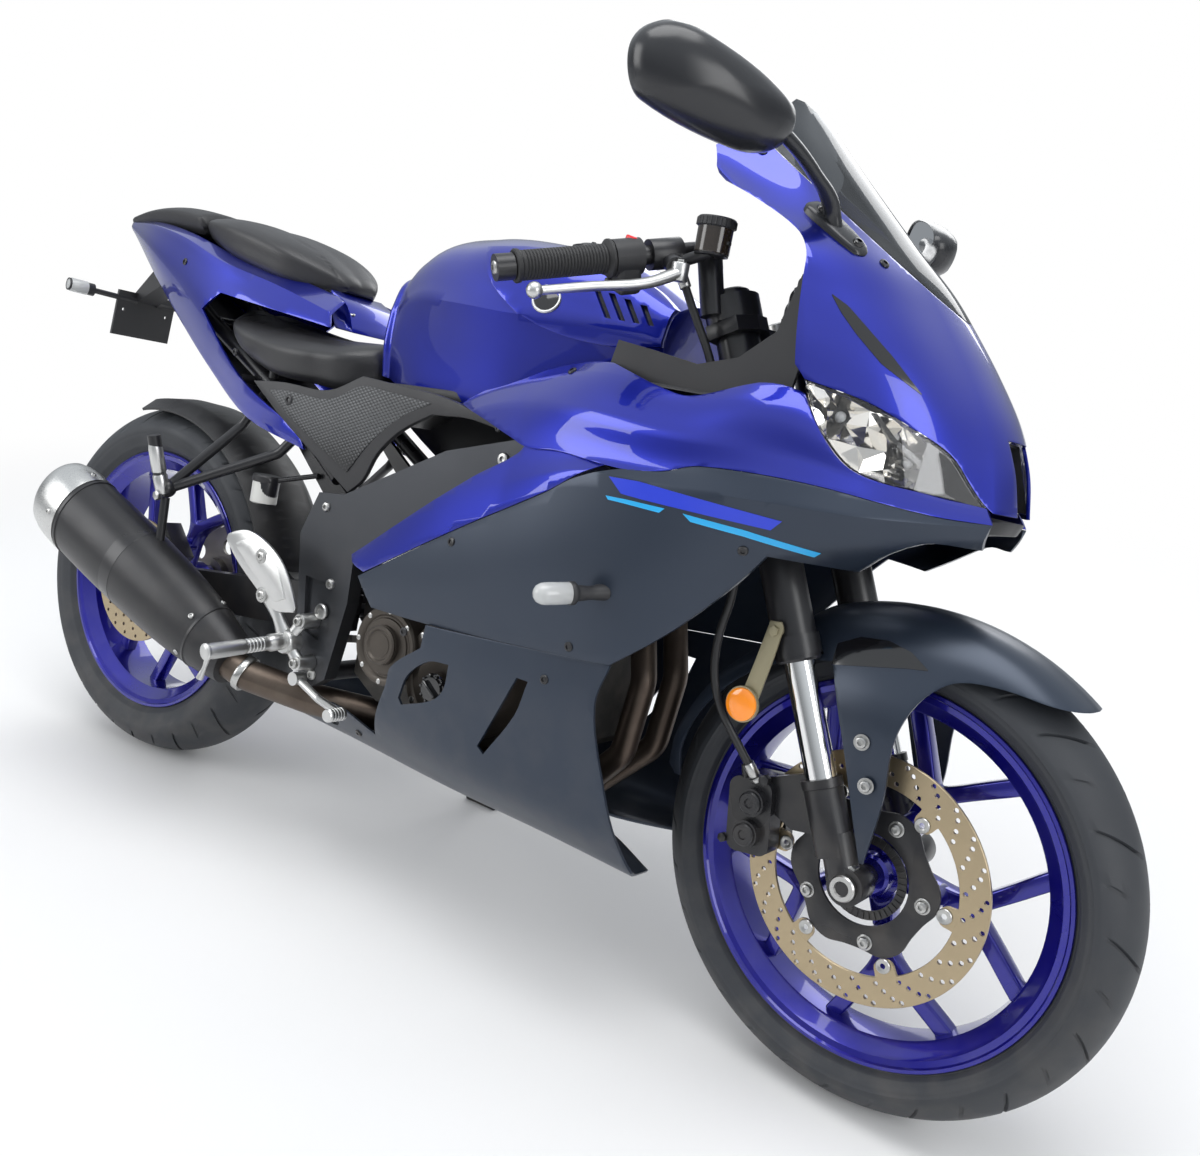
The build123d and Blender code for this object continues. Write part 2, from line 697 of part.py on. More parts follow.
def engine_covers():
    """Side covers: clutch and water pump on the right, generator and sprocket on the left."""
    face = case_half + 0.2
    right = cross_rod(120, 372, -168, -face, 84) + cross_rod(0, 386, -176, -face, 56)
    right = right + cross_rod(-2, 388, -184, -170, 28) + cross_rod(103, 356, -182, -160, 20)
    right = right & side_prism([(-70, 284), (-70, 470), (230, 470), (230, 284)], -200, 0)
    left = cross_rod(70, 372, face, 162, 82)
    shield = side_prism([(-122, 350), (-122, 420), (-100, 450), (10, 440), (10, 330), (-100, 326)], face, 124)
    return [right, left + shield]


link_route = [(60, -40, 246), (-60, -60, 248), (-170, -130, 254), (-262, -178, 268), (-310, -194, 284)]
link_radius = 24


def link_pipe(radius):
    return pipe(link_route, radius, 60)


def exhaust_pipes():
    """Two headers down the engine's front, a collector under it and the link to the silencer."""
    face_run = (head_high - head_low).normalized()
    face_out = Vector(face_run.Z, 0, -face_run.X)
    port = head_low + (head_high - head_low) * 0.7 + face_out * seat_gap
    pipes = []
    for side, drop in [(-1, 0), (1, 4)]:
        start = port + Vector(0, side * 42, 0)
        low_y = -40 + side * 19
        route = [start, start + face_out * 80, (354, side * 42 - 30, 430), (346, side * 42 - 34, 330),
                 (270, side * 25 - 34, 246 + drop), (180, low_y, 244), (80, low_y, 244)]
        pipes.append(pipe(route, header_radius, 36))
    collector = rod((110, -40, 244), (40, -40, 246), 26) + rod((90, -40, 244), (40, -40, 246), 30)
    return one_solid(pipes + [collector, link_pipe(link_radius)])


silencer_front = Vector(-286, -190, 284)
silencer_rise = Vector(-455, -26, 166).normalized()


def silencer_frame(along):
    return Plane(origin=silencer_front + silencer_rise * along, x_dir=(0, 1, 0), z_dir=silencer_rise)


# distance along the silencer, half width, half height
silencer_sections = [(0, 34, 40), (60, 44, 54), (190, 54, 68), (330, 56, 72), (414, 56, 71)]
cap_sections = [(414, 57, 72), (462, 55, 70), (silencer_length, 50, 64)]


def oval_loft(sections, shrink=0):
    faces = [silencer_frame(along) * Ellipse(width - shrink, height - shrink)
             for along, width, height in sections]
    return loft(faces)


def silencer():
    strap = rod((-484, -202, 400), (peg_knuckle.X, -peg_knuckle.Y, peg_knuckle.Z - 15 - seat_gap), 7)
    body = oval_loft(silencer_sections) + strap
    last = Vector(*link_route[-1])
    end_gap = rod(last, last + (last - Vector(*link_route[-2])).normalized(), link_radius + running_gap)
    return body - link_pipe(link_radius + running_gap) - end_gap


peg_knuckle = Vector(-487, 202, 512)


def silencer_cap():
    """Brushed end cap, hollow at its mouth."""
    cap = oval_loft(cap_sections)
    mouth = silencer_frame(440) * extrude(Ellipse(38, 50), amount=silencer_length)
    plug = silencer_frame(400) * extrude(Circle(20), amount=silencer_length)
    return cap - mouth - plug


# ---- bodywork: the fairing's side skin ----
# stations: x, then (half width, z) from the inner top edge down to the lower edge
side_stations = [
    (738, [(60, 738), (64, 735), (68, 731), (74, 725), (80, 716), (76, 706), (60, 692)]),
    (640, [(158, 748), (168, 744), (174, 738), (184, 726), (200, 702), (172, 668), (104, 640)]),
    (540, [(203, 828), (218, 802), (221, 752), (226, 728), (233, 698), (206, 650), (158, 608)]),
    (420, [(206, 802), (224, 788), (230, 742), (238, 706), (246, 690), (238, 590), (221, 476)]),
    (300, [(196, 820), (212, 806), (222, 742), (236, 702), (243, 688), (238, 570), (221, 458)]),
    (180, [(158, 802), (180, 784), (192, 744), (206, 700), (222, 640), (230, 540), (216, 450)]),
    (40, [(140, 746), (150, 738), (160, 718), (180, 660), (200, 600), (214, 500), (204, 440)]),
    (-100, [(130, 640), (136, 634), (146, 610), (160, 560), (176, 500), (190, 470), (186, 428)]),
]
belly_stations = [
    (455, [(222, 484), (219, 420), (206, 340), (190, 262), (158, 216), (120, 206)]),
    (300, [(220, 470), (218, 414), (208, 340), (188, 262), (140, 214), (24, 206)]),
    (100, [(214, 448), (212, 408), (200, 340), (176, 260), (126, 212), (24, 205)]),
    (-60, [(202, 436), (198, 400), (180, 336), (152, 262), (114, 215), (24, 206)]),
    (-210, [(112, 262), (112, 256), (108, 246), (100, 232), (84, 208), (24, 201)]),
    (-350, [(76, 262), (76, 256), (74, 246), (68, 232), (54, 200), (20, 192)]),
]


tail_stations = [
    (-268, [(60, 846), (100, 822), (134, 720), (132, 612)]),
    (-420, [(74, 876), (110, 858), (150, 764), (128, 636)]),
    (-540, [(90, 894), (118, 880), (134, 800), (116, 700)]),
    (-660, [(90, 922), (108, 912), (112, 850), (94, 768)]),
    (-780, [(68, 938), (84, 930), (88, 893), (66, 835)]),
    (-925, [(24, 942), (33, 938), (35, 930), (26, 918)]),
]
stations_of = {"side": side_stations, "belly": belly_stations, "tail": tail_stations}


def half_body(stations, inset, reach):
    """Left half of a body lofted through the stations, inset from their outline by a wall."""
    faces = []
    for x, points in stations:
        first = points[0]
        last = points[-1]
        outline = [(width - inset, z) for width, z in points]
        if inset > 0:
            outline = [(first[0] - inset, first[1] + reach)] + outline + [(last[0] - inset, last[1] - reach)]
            core = [(-reach, last[1] - reach), (-reach, first[1] + reach)]
        else:
            core = [(4, last[1]), (4, first[1])]
        faces.append(section_face(x, outline + core))
    return loft(faces, ruled=True)


@cache
def skin_band(body, wall, sink=0):
    """Left-hand skin of even wall on one of the bodies, or sunk below its surface."""
    stations = [(x, [(width - sink, z) for width, z in points]) for x, points in stations_of[body]]
    return half_body(stations, 0, 0) - half_body(stations, wall, 30)


# seams between neighbouring panels, as (x, z) points from the front to the back
lamp_top_seam = [(727, 736), (713, 751), (686, 784), (648, 804), (605, 821), (545, 832)]
lamp_low_seam = [(727, 736), (678, 739), (628, 743), (600, 755), (566, 791), (545, 832)]
pod_seam = [(738, 719), (690, 717), (576, 725), (458, 720), (414, 706), (361, 699), (262, 703)]
belly_seam = [(388, 473), (200, 454), (96, 444), (-20, 437)]


def seam(points, side):
    """A shared seam moved half a joint up or down."""
    return [(x, z + side * joint_gap / 2) for x, z in points]


pod_outline = [(20, 748), (114, 770), (232, 825), (281, 820), (317, 812), (377, 798), (419, 794), (478, 816),
               (534, 834)] + seam(lamp_low_seam[:-1], -1)[::-1] + seam(pod_seam, 1)
pod_outline = pod_outline + [(205, 699), (172, 706), (100, 722), (22, 736)]
side_outline = seam(pod_seam[:-1], -1) + [(300, 676), (262, 652), (131, 582), (-57, 473)]
side_outline = side_outline + seam(belly_seam, 1)[::-1]
side_outline = side_outline + [(432, 511), (465, 545), (542, 639), (619, 640), (685, 686), (730, 690)]
stripe_outline = [(-92, 496), (118, 645), (203, 697), (258, 700), (356, 697), (300, 680), (262, 655),
                  (131, 585), (-52, 480), (-80, 486)]
belly_outline = seam(belly_seam[:-1], -1) + [(93, 412), (39, 370), (28, 341), (4, 291), (-10, 252)]
belly_outline = belly_outline + [(-94, 266), (-220, 250), (-342, 252), (-346, 215), (-334, 185), (-100, 180),
                                 (341, 180), (430, 205), (441, 222), (398, 335), (376, 422)]
oil_window = [(54, 330), (72, 368), (110, 398), (146, 404), (140, 368), (118, 346), (60, 322)]
stand_notch = [(-380, 300), (-72, 300), (-72, 214), (-196, 214), (-236, 236), (-380, 236)]
belly_vent = [(205, 312), (216, 304), (262, 372), (276, 420), (258, 420), (238, 376)]


def panel(band, outline):
    return band & side_prism(outline, 0, 300)


def upper_fairings():
    """Glossy upper side pods, and the glossy strips sunk behind the side fairings' rear top edge."""
    pods = panel(skin_band("side", skin), pod_outline)
    strips = panel(skin_band("side", skin, skin + joint_gap / 2), stripe_outline)
    return both(pods) + both(strips)


def side_fairings():
    return both(panel(skin_band("side", skin), side_outline))


def belly_fairings():
    """Lower fairing with a window over the oil filler, a louvre, and notches for pipe and stand."""
    body = panel(skin_band("belly", skin), belly_outline)
    body = body - side_prism(oil_window, 100, 300) - side_prism(belly_vent, 100, 300)
    right = left_of(body) - link_pipe(link_radius + link_clear)
    left = body - side_prism(stand_notch, 60, 300)
    return [max(half.solids(), key=lambda piece: piece.volume) for half in (left, right)]


# ---- bodywork: nose, screen and lamps ----
# stations: z, centre x, shoulder (x, half width), side bulge (x, half width), rear edge (x, half width)
nose_stations = [
    (1168, 400, (398, 34), (396, 48), (390, 60)),
    (1120, 448, (437, 54), (420, 94), (390, 126)),
    (1078, 492, (480, 60), (445, 116), (356, 172)),
    (1020, 554, (541, 62), (506, 122), (420, 198)),
    (968, 612, (599, 62), (566, 130), (490, 210)),
    (930, 646, (632, 62), (594, 134), (505, 216)),
    (884, 684, (668, 62), (626, 136), (518, 219)),
    (830, 722, (704, 62), (655, 132), (522, 222)),
    (785, 743, (722, 62), (668, 130), (524, 226)),
    (732, 754, (737, 62), (684, 126), (526, 230)),
]


def nose_face(station, inset):
    """One level of the nose: an arc across the front and one down each side, closed behind."""
    z, centre, shoulder, bulge, rear = station
    back = rear[0] - (inset * 3 if inset else 0)
    front = ThreePointArc((shoulder[0] - inset, -shoulder[1] + inset * 0.3, z), (centre - inset, 0, z),
                          (shoulder[0] - inset, shoulder[1] - inset * 0.3, z))
    sides = []
    for s in (1, -1):
        sides.append(ThreePointArc(
            (shoulder[0] - inset, s * (shoulder[1] - inset * 0.3), z),
            (bulge[0] - inset * 0.6, s * (bulge[1] - inset * 0.8), z),
            (back, s * (rear[1] - inset), z)))
    closing = Line((back, rear[1] - inset, z), (back, -rear[1] + inset, z))
    return make_face([front, sides[0], sides[1], closing])


def nose_body(inset):
    faces = [nose_face(station, inset) for station in nose_stations]
    body = loft(faces)
    if inset:
        low = extrude(faces[-1], amount=40, dir=(0, 0, -1))
        high = extrude(faces[0], amount=40, dir=(0, 0, 1))
        body = body + low + high
    return body


@cache
def nose_shell():
    return nose_body(0) - nose_body(skin)


screen_seam = [(404, 1095), (642, 936), (700, 897)]
cowl_outline = [(358, 1080), (378, 1113)] + seam(screen_seam, -1) + [(800, 860), (800, 728), (742, 728)]
cowl_outline = cowl_outline + seam(lamp_top_seam, 1) + [(533, 846), (516, 938), (508, 968), (486, 992),
                                                      (432, 1020), (383, 1039)]
screen_outline = [(380, 1114)] + seam(screen_seam, 1) + [(700, 1200), (380, 1200)]
lamp_outline = seam(lamp_top_seam, -1) + seam(lamp_low_seam[1:-1], 1)[::-1]
lamp_middle = (650, 768)
lamp_wall = 0.86
intake_half = 40
intake_top = 812


def nose_cowl():
    shell = nose_shell() & side_prism(cowl_outline, -260, 260)
    mouth = Pos(740, 0, (intake_top + 700) / 2) * Box(120, 2 * intake_half, intake_top - 700)
    return shell - mouth


def windscreen():
    return nose_shell() & side_prism(screen_outline, -260, 260)


def headlamps():
    return nose_shell() & side_prism(lamp_outline, -260, 260)


def lamp_units():
    """Open-fronted reflector trays behind the lenses, and the black duct between them."""
    inside = nose_body(skin + seat_gap)
    floor_line = [(lamp_middle[0] + (x - lamp_middle[0]) * lamp_wall, lamp_middle[1] + (z - lamp_middle[1]) * lamp_wall)
                  for x, z in lamp_outline]
    trays = (inside & side_prism(lamp_outline, -260, 260)) - Pos(-36, 0, 0) * inside
    trays = trays - (side_prism(floor_line, -260, 260) - Pos(-30, 0, 0) * inside)
    trays = trays - Pos(740, 0, 760) * Box(300, 2 * intake_half + 6, 200)
    duct = Pos(-22, 0, 0) * inside & side_prism([(790, 740), (790, 804), (640, 804), (640, 740)],
                                                -intake_half + 1, intake_half - 1)
    duct = duct - Pos(-60, 0, 0) * inside
    wall = Pos(690, intake_half + 1, 772) * Box(70, 6, 50) & inside
    duct = duct + wall + left_of(wall)
    return [piece for piece in trays.solids() if piece.volume > 500] + [duct]


def cockpit():
    """Instrument housing on the stay that also carries the nose, and dark panels inside the pods."""
    outline = [(282, 814), (288, 846), (340, 840), (400, 832), (450, 846), (490, 880),
               (506, 944), (510, 944), (526, 850), (520, 812), (478, 800), (419, 780), (377, 782), (317, 796)]
    side = side_prism(outline, 178, 184)
    floor = Pos(420, 200, 800) * Box(150, 98, 4) & half_body(side_stations, skin + seat_gap, 30)
    case = Pos(490, 0, 992) * Rot(0, -38, 0) * Box(80, 150, 28)
    case = fillet(case.edges(), 8)
    stay = rod(fork_point(20, 0, 540), (540, 0, 850), 12) - head_tube(head_tube_radius + seat_gap)
    post = pipe([(540, 0, 850), (540, 0, 922), (498, 0, 990)], 9, 30)
    wing = rod((540, -230, 868), (540, 230, 868), 8) & nose_body(skin + seat_gap)
    return both(side + floor) + [case + stay + post + wing]


# ---- tank, seats and tail ----
# stations: x, top z, shoulder (half width, z), flank (half width, z), foot (half width, z)
tank_stations = [
    (-174, 906, (78, 884), (96, 836), (86, 768)),
    (-120, 957, (90, 926), (114, 856), (104, 752)),
    (-30, 979, (108, 944), (142, 862), (120, 746)),
    (90, 978, (114, 944), (150, 858), (128, 746)),
    (200, 962, (96, 930), (118, 862), (102, 762)),
    (292, 918, (76, 892), (88, 858), (72, 800)),
]


def tank_face(station, grow=0):
    x, top, shoulder, flank, foot = station
    right_points = [(foot[0] + grow, foot[1]), (flank[0] + grow, flank[1]),
                    (shoulder[0] + grow, shoulder[1] + grow * 0.5)]
    crown = ThreePointArc((x, -right_points[2][0], right_points[2][1]), (x, 0, top + grow),
                          (x, right_points[2][0], right_points[2][1]))
    left_side = Polyline(*[(x, y, z) for y, z in right_points])
    right_side = Polyline(*[(x, -y, z) for y, z in right_points])
    base = Line((x, -foot[0] - grow, foot[1]), (x, foot[0] + grow, foot[1]))
    return make_face([crown, left_side, right_side, base])


def tank_body(grow=0):
    return loft([tank_face(station, grow) for station in tank_stations])


cap_centre = Vector(118, 0, 976)
cap_radius = 42


def fuel_tank():
    """Tank with a round well in its top for the filler cap."""
    body = tank_body()
    well = Pos(cap_centre.X, 0, cap_centre.Z - 8) * Cylinder(cap_radius + 1, 60, align=bottom)
    return body - well


def fuel_cap():
    """Round filler cap with its hinge tongue at the front."""
    lid = Pos(cap_centre.X, 0, cap_centre.Z - 7.5) * Cylinder(cap_radius, 12, align=bottom)
    key = Pos(cap_centre.X - 8, 0, cap_centre.Z + 4.5) * Box(26, 14, 5, align=bottom)
    return lid + key


cover_outline = [(8, 948), (36, 908), (88, 872), (150, 848), (230, 842), (292, 852), (296, 900), (250, 928),
                 (190, 944), (100, 956)]
cover_rise = 7
vent_count = 4
vent_pitch = 21


def tank_covers():
    """Side covers on the tank's front shoulders, each with a row of slanted slots."""
    shell = tank_body(cover_rise) - tank_body(joint_gap / 2)
    shell = shell & side_prism(cover_outline, 60, 260)
    for number in range(vent_count):
        x = 190 + vent_pitch * number
        slope = 26 - 3 * number
        slot = [(x, 912 - 4 * number), (x + 7, 912 - 4 * number), (x + slope + 7, 876), (x + slope, 876)]
        shell = shell - side_prism(slot, 60, 260)
    shell = max(shell.solids(), key=lambda piece: piece.volume)
    return both(shell)


def cushion(stations):
    """Closed pad lofted through (x, half width, z low, z high, edge drop)."""
    faces = []
    for x, half, low, high, drop in stations:
        crown = ThreePointArc((x, -half, high - drop), (x, 0, high), (x, half, high - drop))
        sides = Polyline((x, -half, high - drop), (x, -half * 0.9, low), (x, half * 0.9, low),
                         (x, half, high - drop))
        faces.append(make_face([crown, sides]))
    return loft(faces)


rider_stations = [(-548, 50, 802, 822, 10), (-500, 112, 768, 812, 20), (-400, 142, 728, 800, 28),
                  (-280, 140, 718, 796, 28), (-190, 96, 726, 800, 22), (-180, 80, 732, 800, 20)]
pillion_stations = [(-342, 34, 872, 890, 6), (-400, 84, 878, 922, 16), (-500, 104, 896, 952, 20),
                    (-600, 96, 922, 962, 16), (-650, 78, 938, 960, 12)]


def rider_seat():
    """Rider's pad on two bumpers that stand on the rails."""
    bumper = rod((-400, 101, 740), (-400, 101, 704), 8) - tail_rail(rail_radius + seat_gap)
    return cushion(rider_stations) + bumper + left_of(bumper)


def pillion_seat():
    return cushion(pillion_stations)


tail_outline = [(-925, 946), (-640, 946), (-352, 868), (-308, 850), (-285, 806), (-340, 812), (-520, 830),
                (-562, 800), (-430, 706), (-290, 640), (-272, 618), (-412, 645), (-535, 708), (-653, 772),
                (-776, 839), (-925, 922)]


def tail_panels():
    """Glossy tail sides that sweep down to a point, and the bridge under the pillion pad."""
    outline = [(-352, 878), (-310, 846), (-288, 806), (-350, 812), (-520, 836), (-640, 900), (-640, 940)]
    bridge = side_prism(outline, -52, 52) - Pos(0, 0, -seat_gap) * pillion_seat()
    bridge = min(bridge.solids(), key=lambda piece: piece.center().Z)
    return both(panel(skin_band("tail", skin), tail_outline)) + [bridge]


def tail_top():
    """Black upper tail, from behind the pillion pad to the tip."""
    stations = [(-650.5, 74, 940, 966, 12), (-740, 66, 944, 974, 12), (-853, 44, 950, 966, 8),
                (-936, 24, 940, 950, 4)]
    return cushion(stations)


def undertail():
    """Black tray under the tail, with the plate carrier and the rear indicators on thin stalks."""
    line = [(-300, 652), (-412, 652), (-535, 716), (-653, 778), (-776, 838), (-900, 908)]
    core = half_body(tail_stations, skin + seat_gap, 30)
    tray = side_prism(line + [(x, z + 5) for x, z in reversed(line)], -92, 92) & (core + left_of(core))
    posts = rod((-600, 0, 752), (-600, 0, 777), 6) + rod((-766, 0, 838), (-766, 0, 856), 6)
    posts = posts - cross_rod(-600, 786, -9, 9, 9 + seat_gap) - cross_rod(-766, 865, -9, 9, 9 + seat_gap)
    arm = side_prism([(-800, 852), (-840, 876), (-912, 806), (-896, 796)], -22, 22)
    plate = side_prism([plate_top, plate_foot, (plate_foot[0] - plate_thickness, plate_foot[1]),
                        (plate_top[0] - plate_thickness, plate_top[1])], -60, 60)
    body = tray + posts + arm + plate
    for side in (-1, 1):
        body = body + rod((-900, side * 20, 797), (-906, side * 112, 800), 5)
        body = body + rod((-902, side * 108, 800), (-910, side * 152, 802), 11)
        bore = cross_rod(0, 0, -20, 20, plate_bore)
        body = body - Pos(-903, side * plate_bore_spread / 2, 778) * Rot(0, 0, 90) * bore
    return body


plate_top = (-897, 812)
plate_foot = (-905, 730)
plate_thickness = 5
plate_bore = 3
plate_bore_spread = 90


def tail_lamp():
    return Pos(-928, 0, 934) * Box(16, 34, 20) - Pos(0, 0, -seat_gap) * tail_top()


# ---- side covers and other trim ----
def side_covers():
    """Textured panels below the seat, over the frame's spars."""
    outline = [(-379, 705), (-310, 712), (-215, 714), (-150, 744), (-96, 742), (22, 736), (172, 700),
               (63, 716), (-8, 711), (-60, 680), (-98, 641), (-118, 600), (-143, 576), (-297, 655)]
    spar = side_prism(frame_outline, spar_inner, spar_outer)
    cover = side_prism(outline, spar_outer - 10, spar_outer - 2)
    cover = cover - spar - Pos(0, 0, joint_gap / 2) * spar
    return both(max(cover.solids(), key=lambda piece: piece.volume))


def mirror_plane(depth):
    """Plane across the right mirror, depth measured forward from its glass."""
    across = Vector(-100, -150, 13).normalized()
    rearward = Vector(-0.83, 0.553, 0)
    return Plane(origin=Vector(432, -332, 1086) - rearward * depth, x_dir=across, z_dir=rearward)


mirror_outline = [(88, 20), (60, 42), (0, 40), (-70, 22), (-98, 2), (-84, -32), (-40, -44), (66, -34)]


def mirror_face(depth, scale):
    return mirror_plane(depth) * make_face(Polyline(*[(u * scale, v * scale) for u, v in mirror_outline],
                                                    close=True))


def mirrors():
    """Mirror housings, their glasses and the stalks that stand on the nose cowl."""
    shell = loft([mirror_face(0, 1.0), mirror_face(22, 0.96), mirror_face(44, 0.6)])
    glass_well = extrude(mirror_face(0, 0.93), amount=-3)
    shell = shell - glass_well
    stalk = rod((508, -134, 1010), (486, -264, 1074), 8)
    foot = Plane(origin=(507, -137, 1010), x_dir=(0.8, 0, -0.6), z_dir=(0.35, -0.85, 0.4)) * Box(84, 26, 30)
    foot = fillet(foot.edges(), 6)
    whole = shell + stalk + foot - nose_body(0)
    right = max(whole.solids(), key=lambda piece: piece.volume)
    glass = extrude(mirror_face(0, 0.92), amount=-2.7)
    return both(right) + both(glass)


def front_indicators():
    """Stalks through the side fairings and their clear lamps."""
    stalk = rod((370, 234, 556), (354, 262, 552), 9, 8)
    lens = rod((354, 262, 552), (330, 306, 546), 13, 13) + at((330, 306, 546), Sphere(13))
    whole = stalk + lens - Pos(0, seat_gap, 0) * half_body(side_stations, 0, 0)
    return both(max(whole.solids(), key=lambda piece: piece.volume))


def rider_footrests():
    """Footrest hangers with their pegs and heel plates, one on each side."""
    seat = spar_outer + seat_gap
    hub = cross_rod(-178, 346, 178, 200, 19)
    arms = [rod((-178, 186, 346), (-161, 184, 380), 10), rod((-178, 186, 346), (-156, 184, 318), 10),
            rod((-182, 190, 350), (-212, 203, 402), 13)]
    feet = [cross_rod(-161, 380, seat, 190, 12), cross_rod(-156, 318, seat, 190, 12)]
    peg = rod((-180, 196, 346), (-184, 330, 336), 11)
    outline = [(-313, 468), (-309, 478), (-268, 491), (-215, 478), (-178, 452), (-146, 405), (-148, 397),
               (-190, 391), (-235, 414), (-285, 444)]
    heel_plate = side_prism(outline, 211, 216)
    return both(one_solid([hub, peg, heel_plate] + arms + feet))


def pillion_footrests():
    """Triangular stays from the rails and their folded pegs."""
    rear = pipe([(-400, 103, 700), (-430, 122, 630), (-484, 196, 520)], 8, 30)
    front = pipe([(-300, 112, 648), (-334, 123, 602), (-484, 196, 514)], 8, 30)
    peg = rod((-486, 208, 500), (-496, 232, 592), 10)
    whole = one_solid([rear, front, peg, at(peg_knuckle, Sphere(15))]) - tail_rail(rail_radius + seat_gap)
    return both(max(whole.solids(), key=lambda piece: piece.volume))


def foot_levers():
    """Brake pedal on the right and shift lever on the left."""
    pivot_y = spar_outer + seat_gap
    pedal = pipe([(-168, -168, 290), (-110, -176, 276), (-52, -190, 274)], 6, 20)
    pedal = pedal + cross_rod(-168, 290, -178, -pivot_y, 10) + cross_rod(-50, 274, -216, -186, 8)
    shifter = pipe([(-168, 168, 290), (-110, 176, 294), (-56, 190, 300)], 6, 20)
    shifter = shifter + cross_rod(-168, 290, pivot_y, 178, 10) + cross_rod(-54, 300, 186, 214, 9)
    return [pedal, shifter]


def rear_brake():
    """Caliper over the rear disc, seated on the right arm, and its reservoir on the tail frame."""
    block = Pos(114, -rear_disc_line, 0) * Box(40, 34, 70)
    block = at(rear_axle, Rot(0, -44, 0) * block)
    bracket = Pos(rear_axle.X + 88, -arm_inner + seat_gap + 4, 360) * Box(46, 8, 50)
    slot = at(rear_axle, ring(rear_disc_radius + 5, 40, -rear_disc_line - 7, -rear_disc_line + 7))
    body = block + bracket - slot
    body = max(body.solids(), key=lambda piece: piece.volume)
    stay_y = -gusset_inner - gusset_thickness - 4 - 2 * seat_gap
    stay = rod((-345, -120, 556), (-258, stay_y, 582), 4)
    return [body, rod((-352, -124, 520), (-350, -124, 562), 20) + stay]


def radiator_pieces():
    core = Pos(352, 0, 620) * Rot(0, 14, 0) * Box(28, 250, 116)
    tanks = [Pos(352, side * 138, 620) * Rot(0, 14, 0) * Box(34, 24, 124) for side in (-1, 1)]
    return [core] + tanks


def radiator():
    return one_solid(radiator_pieces())


# ---- side stand, built where it stands on the ground ----
stand_point = Vector(-140, 112, 262)
stand_knuckle = 17
stand_pivot = lean_place * Pos(*stand_point)
stand_foot = Vector(-92, 262, 0)
stand_pivot_point = stand_pivot.position


def side_stand():
    """Stand leg from its pivot to a flat foot on the ground."""
    ankle = stand_foot + Vector(0, -4, 8)
    leg = rod(stand_pivot_point, ankle, 13, 11)
    knuckle = at(stand_pivot_point, Sphere(stand_knuckle))
    foot = at(stand_foot, Box(64, 44, 8, align=bottom))
    return knuckle + leg + foot


def stand_bracket():
    """Clevis plate on the frame that the stand's knuckle bears on."""
    face = stand_point.Y - stand_knuckle - seat_gap
    return side_prism([(-176, 252), (-176, 310), (-124, 310), (-112, 252), (-128, 240), (-160, 240)],
                      face - 8, face)


# ---- nodes, by what carries them ----
chassis_nodes = {
    "main_frame": main_frame, "subframe": subframe, "engine": engine, "engine_covers": engine_covers,
    "radiator": radiator, "exhaust_pipes": exhaust_pipes, "silencer": silencer,
    "silencer_cap": silencer_cap, "swingarm": swingarm, "rear_shock": rear_shock, "chain": chain,
    "hugger": hugger, "fuel_tank": fuel_tank, "tank_covers": tank_covers, "rider_seat": rider_seat,
    "pillion_seat": pillion_seat, "tail_panels": tail_panels, "tail_top": tail_top,
    "undertail": undertail, "tail_lamp": tail_lamp, "side_covers": side_covers, "nose_cowl": nose_cowl,
    "windscreen": windscreen, "headlamps": headlamps, "lamp_units": lamp_units,
    "upper_fairings": upper_fairings, "side_fairings": side_fairings, "belly_fairings": belly_fairings,
    "cockpit": cockpit, "mirrors": mirrors, "front_indicators": front_indicators,
    "rider_footrests": rider_footrests, "pillion_footrests": pillion_footrests,
    "foot_levers": foot_levers, "rear_brake": rear_brake, "fuel_cap": fuel_cap, "rear_rim": rear_rim,
    "rear_tyre": rear_tyre, "rear_disc": rear_disc, "rear_sprocket": rear_sprocket,
}
steering_nodes = {
    "yokes": yokes, "fork_tubes": fork_tubes, "stanchions": stanchions, "fork_feet": fork_feet,
    "front_mudguard": front_mudguard, "front_caliper": front_caliper, "handlebars": handlebars,
    "grips": grips, "switchgear": switchgear, "hand_levers": hand_levers, "brake_master": brake_master,
    "brake_hose": brake_hose, "front_reflectors": front_reflectors, "front_rim": front_rim,
    "front_tyre": front_tyre, "front_disc": front_disc,
}
ground_nodes = {"side_stand": side_stand}


def gathered(made):
    """One shape from what a maker returns: a solid, a list of pieces or nested lists."""
    if isinstance(made, (list, tuple)):
        pieces = []
        for item in made:
            pieces.extend(gathered(item).solids())
        return Compound(children=pieces)
    return Compound(children=made.solids())


def placed_nodes():
    """Every node in the parked frame, before the origin is moved under the box's centre."""
    placed = {}
    for name, maker in chassis_nodes.items():
        placed[name] = lean_place * gathered(maker())
    for name, maker in steering_nodes.items():
        placed[name] = lean_place * steer_turn * gathered(maker())
    for name, maker in ground_nodes.items():
        placed[name] = gathered(maker())
    return placed


parked = placed_nodes()
boxes = [shape.bounding_box() for shape in parked.values()]
low_x = min(box.min.X for box in boxes)
high_x = max(box.max.X for box in boxes)
low_y = min(box.min.Y for box in boxes)
high_y = max(box.max.Y for box in boxes)
to_origin = Pos(-(low_x + high_x) / 2, -(low_y + high_y) / 2, 0)

os.makedirs("parts", exist_ok=True)
for name, shape in parked.items():
    export_step(to_origin * shape, f"parts/{name}.step")
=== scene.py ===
import math
import bpy
from mathutils import Matrix, Vector
from mathutils.bvhtree import BVHTree


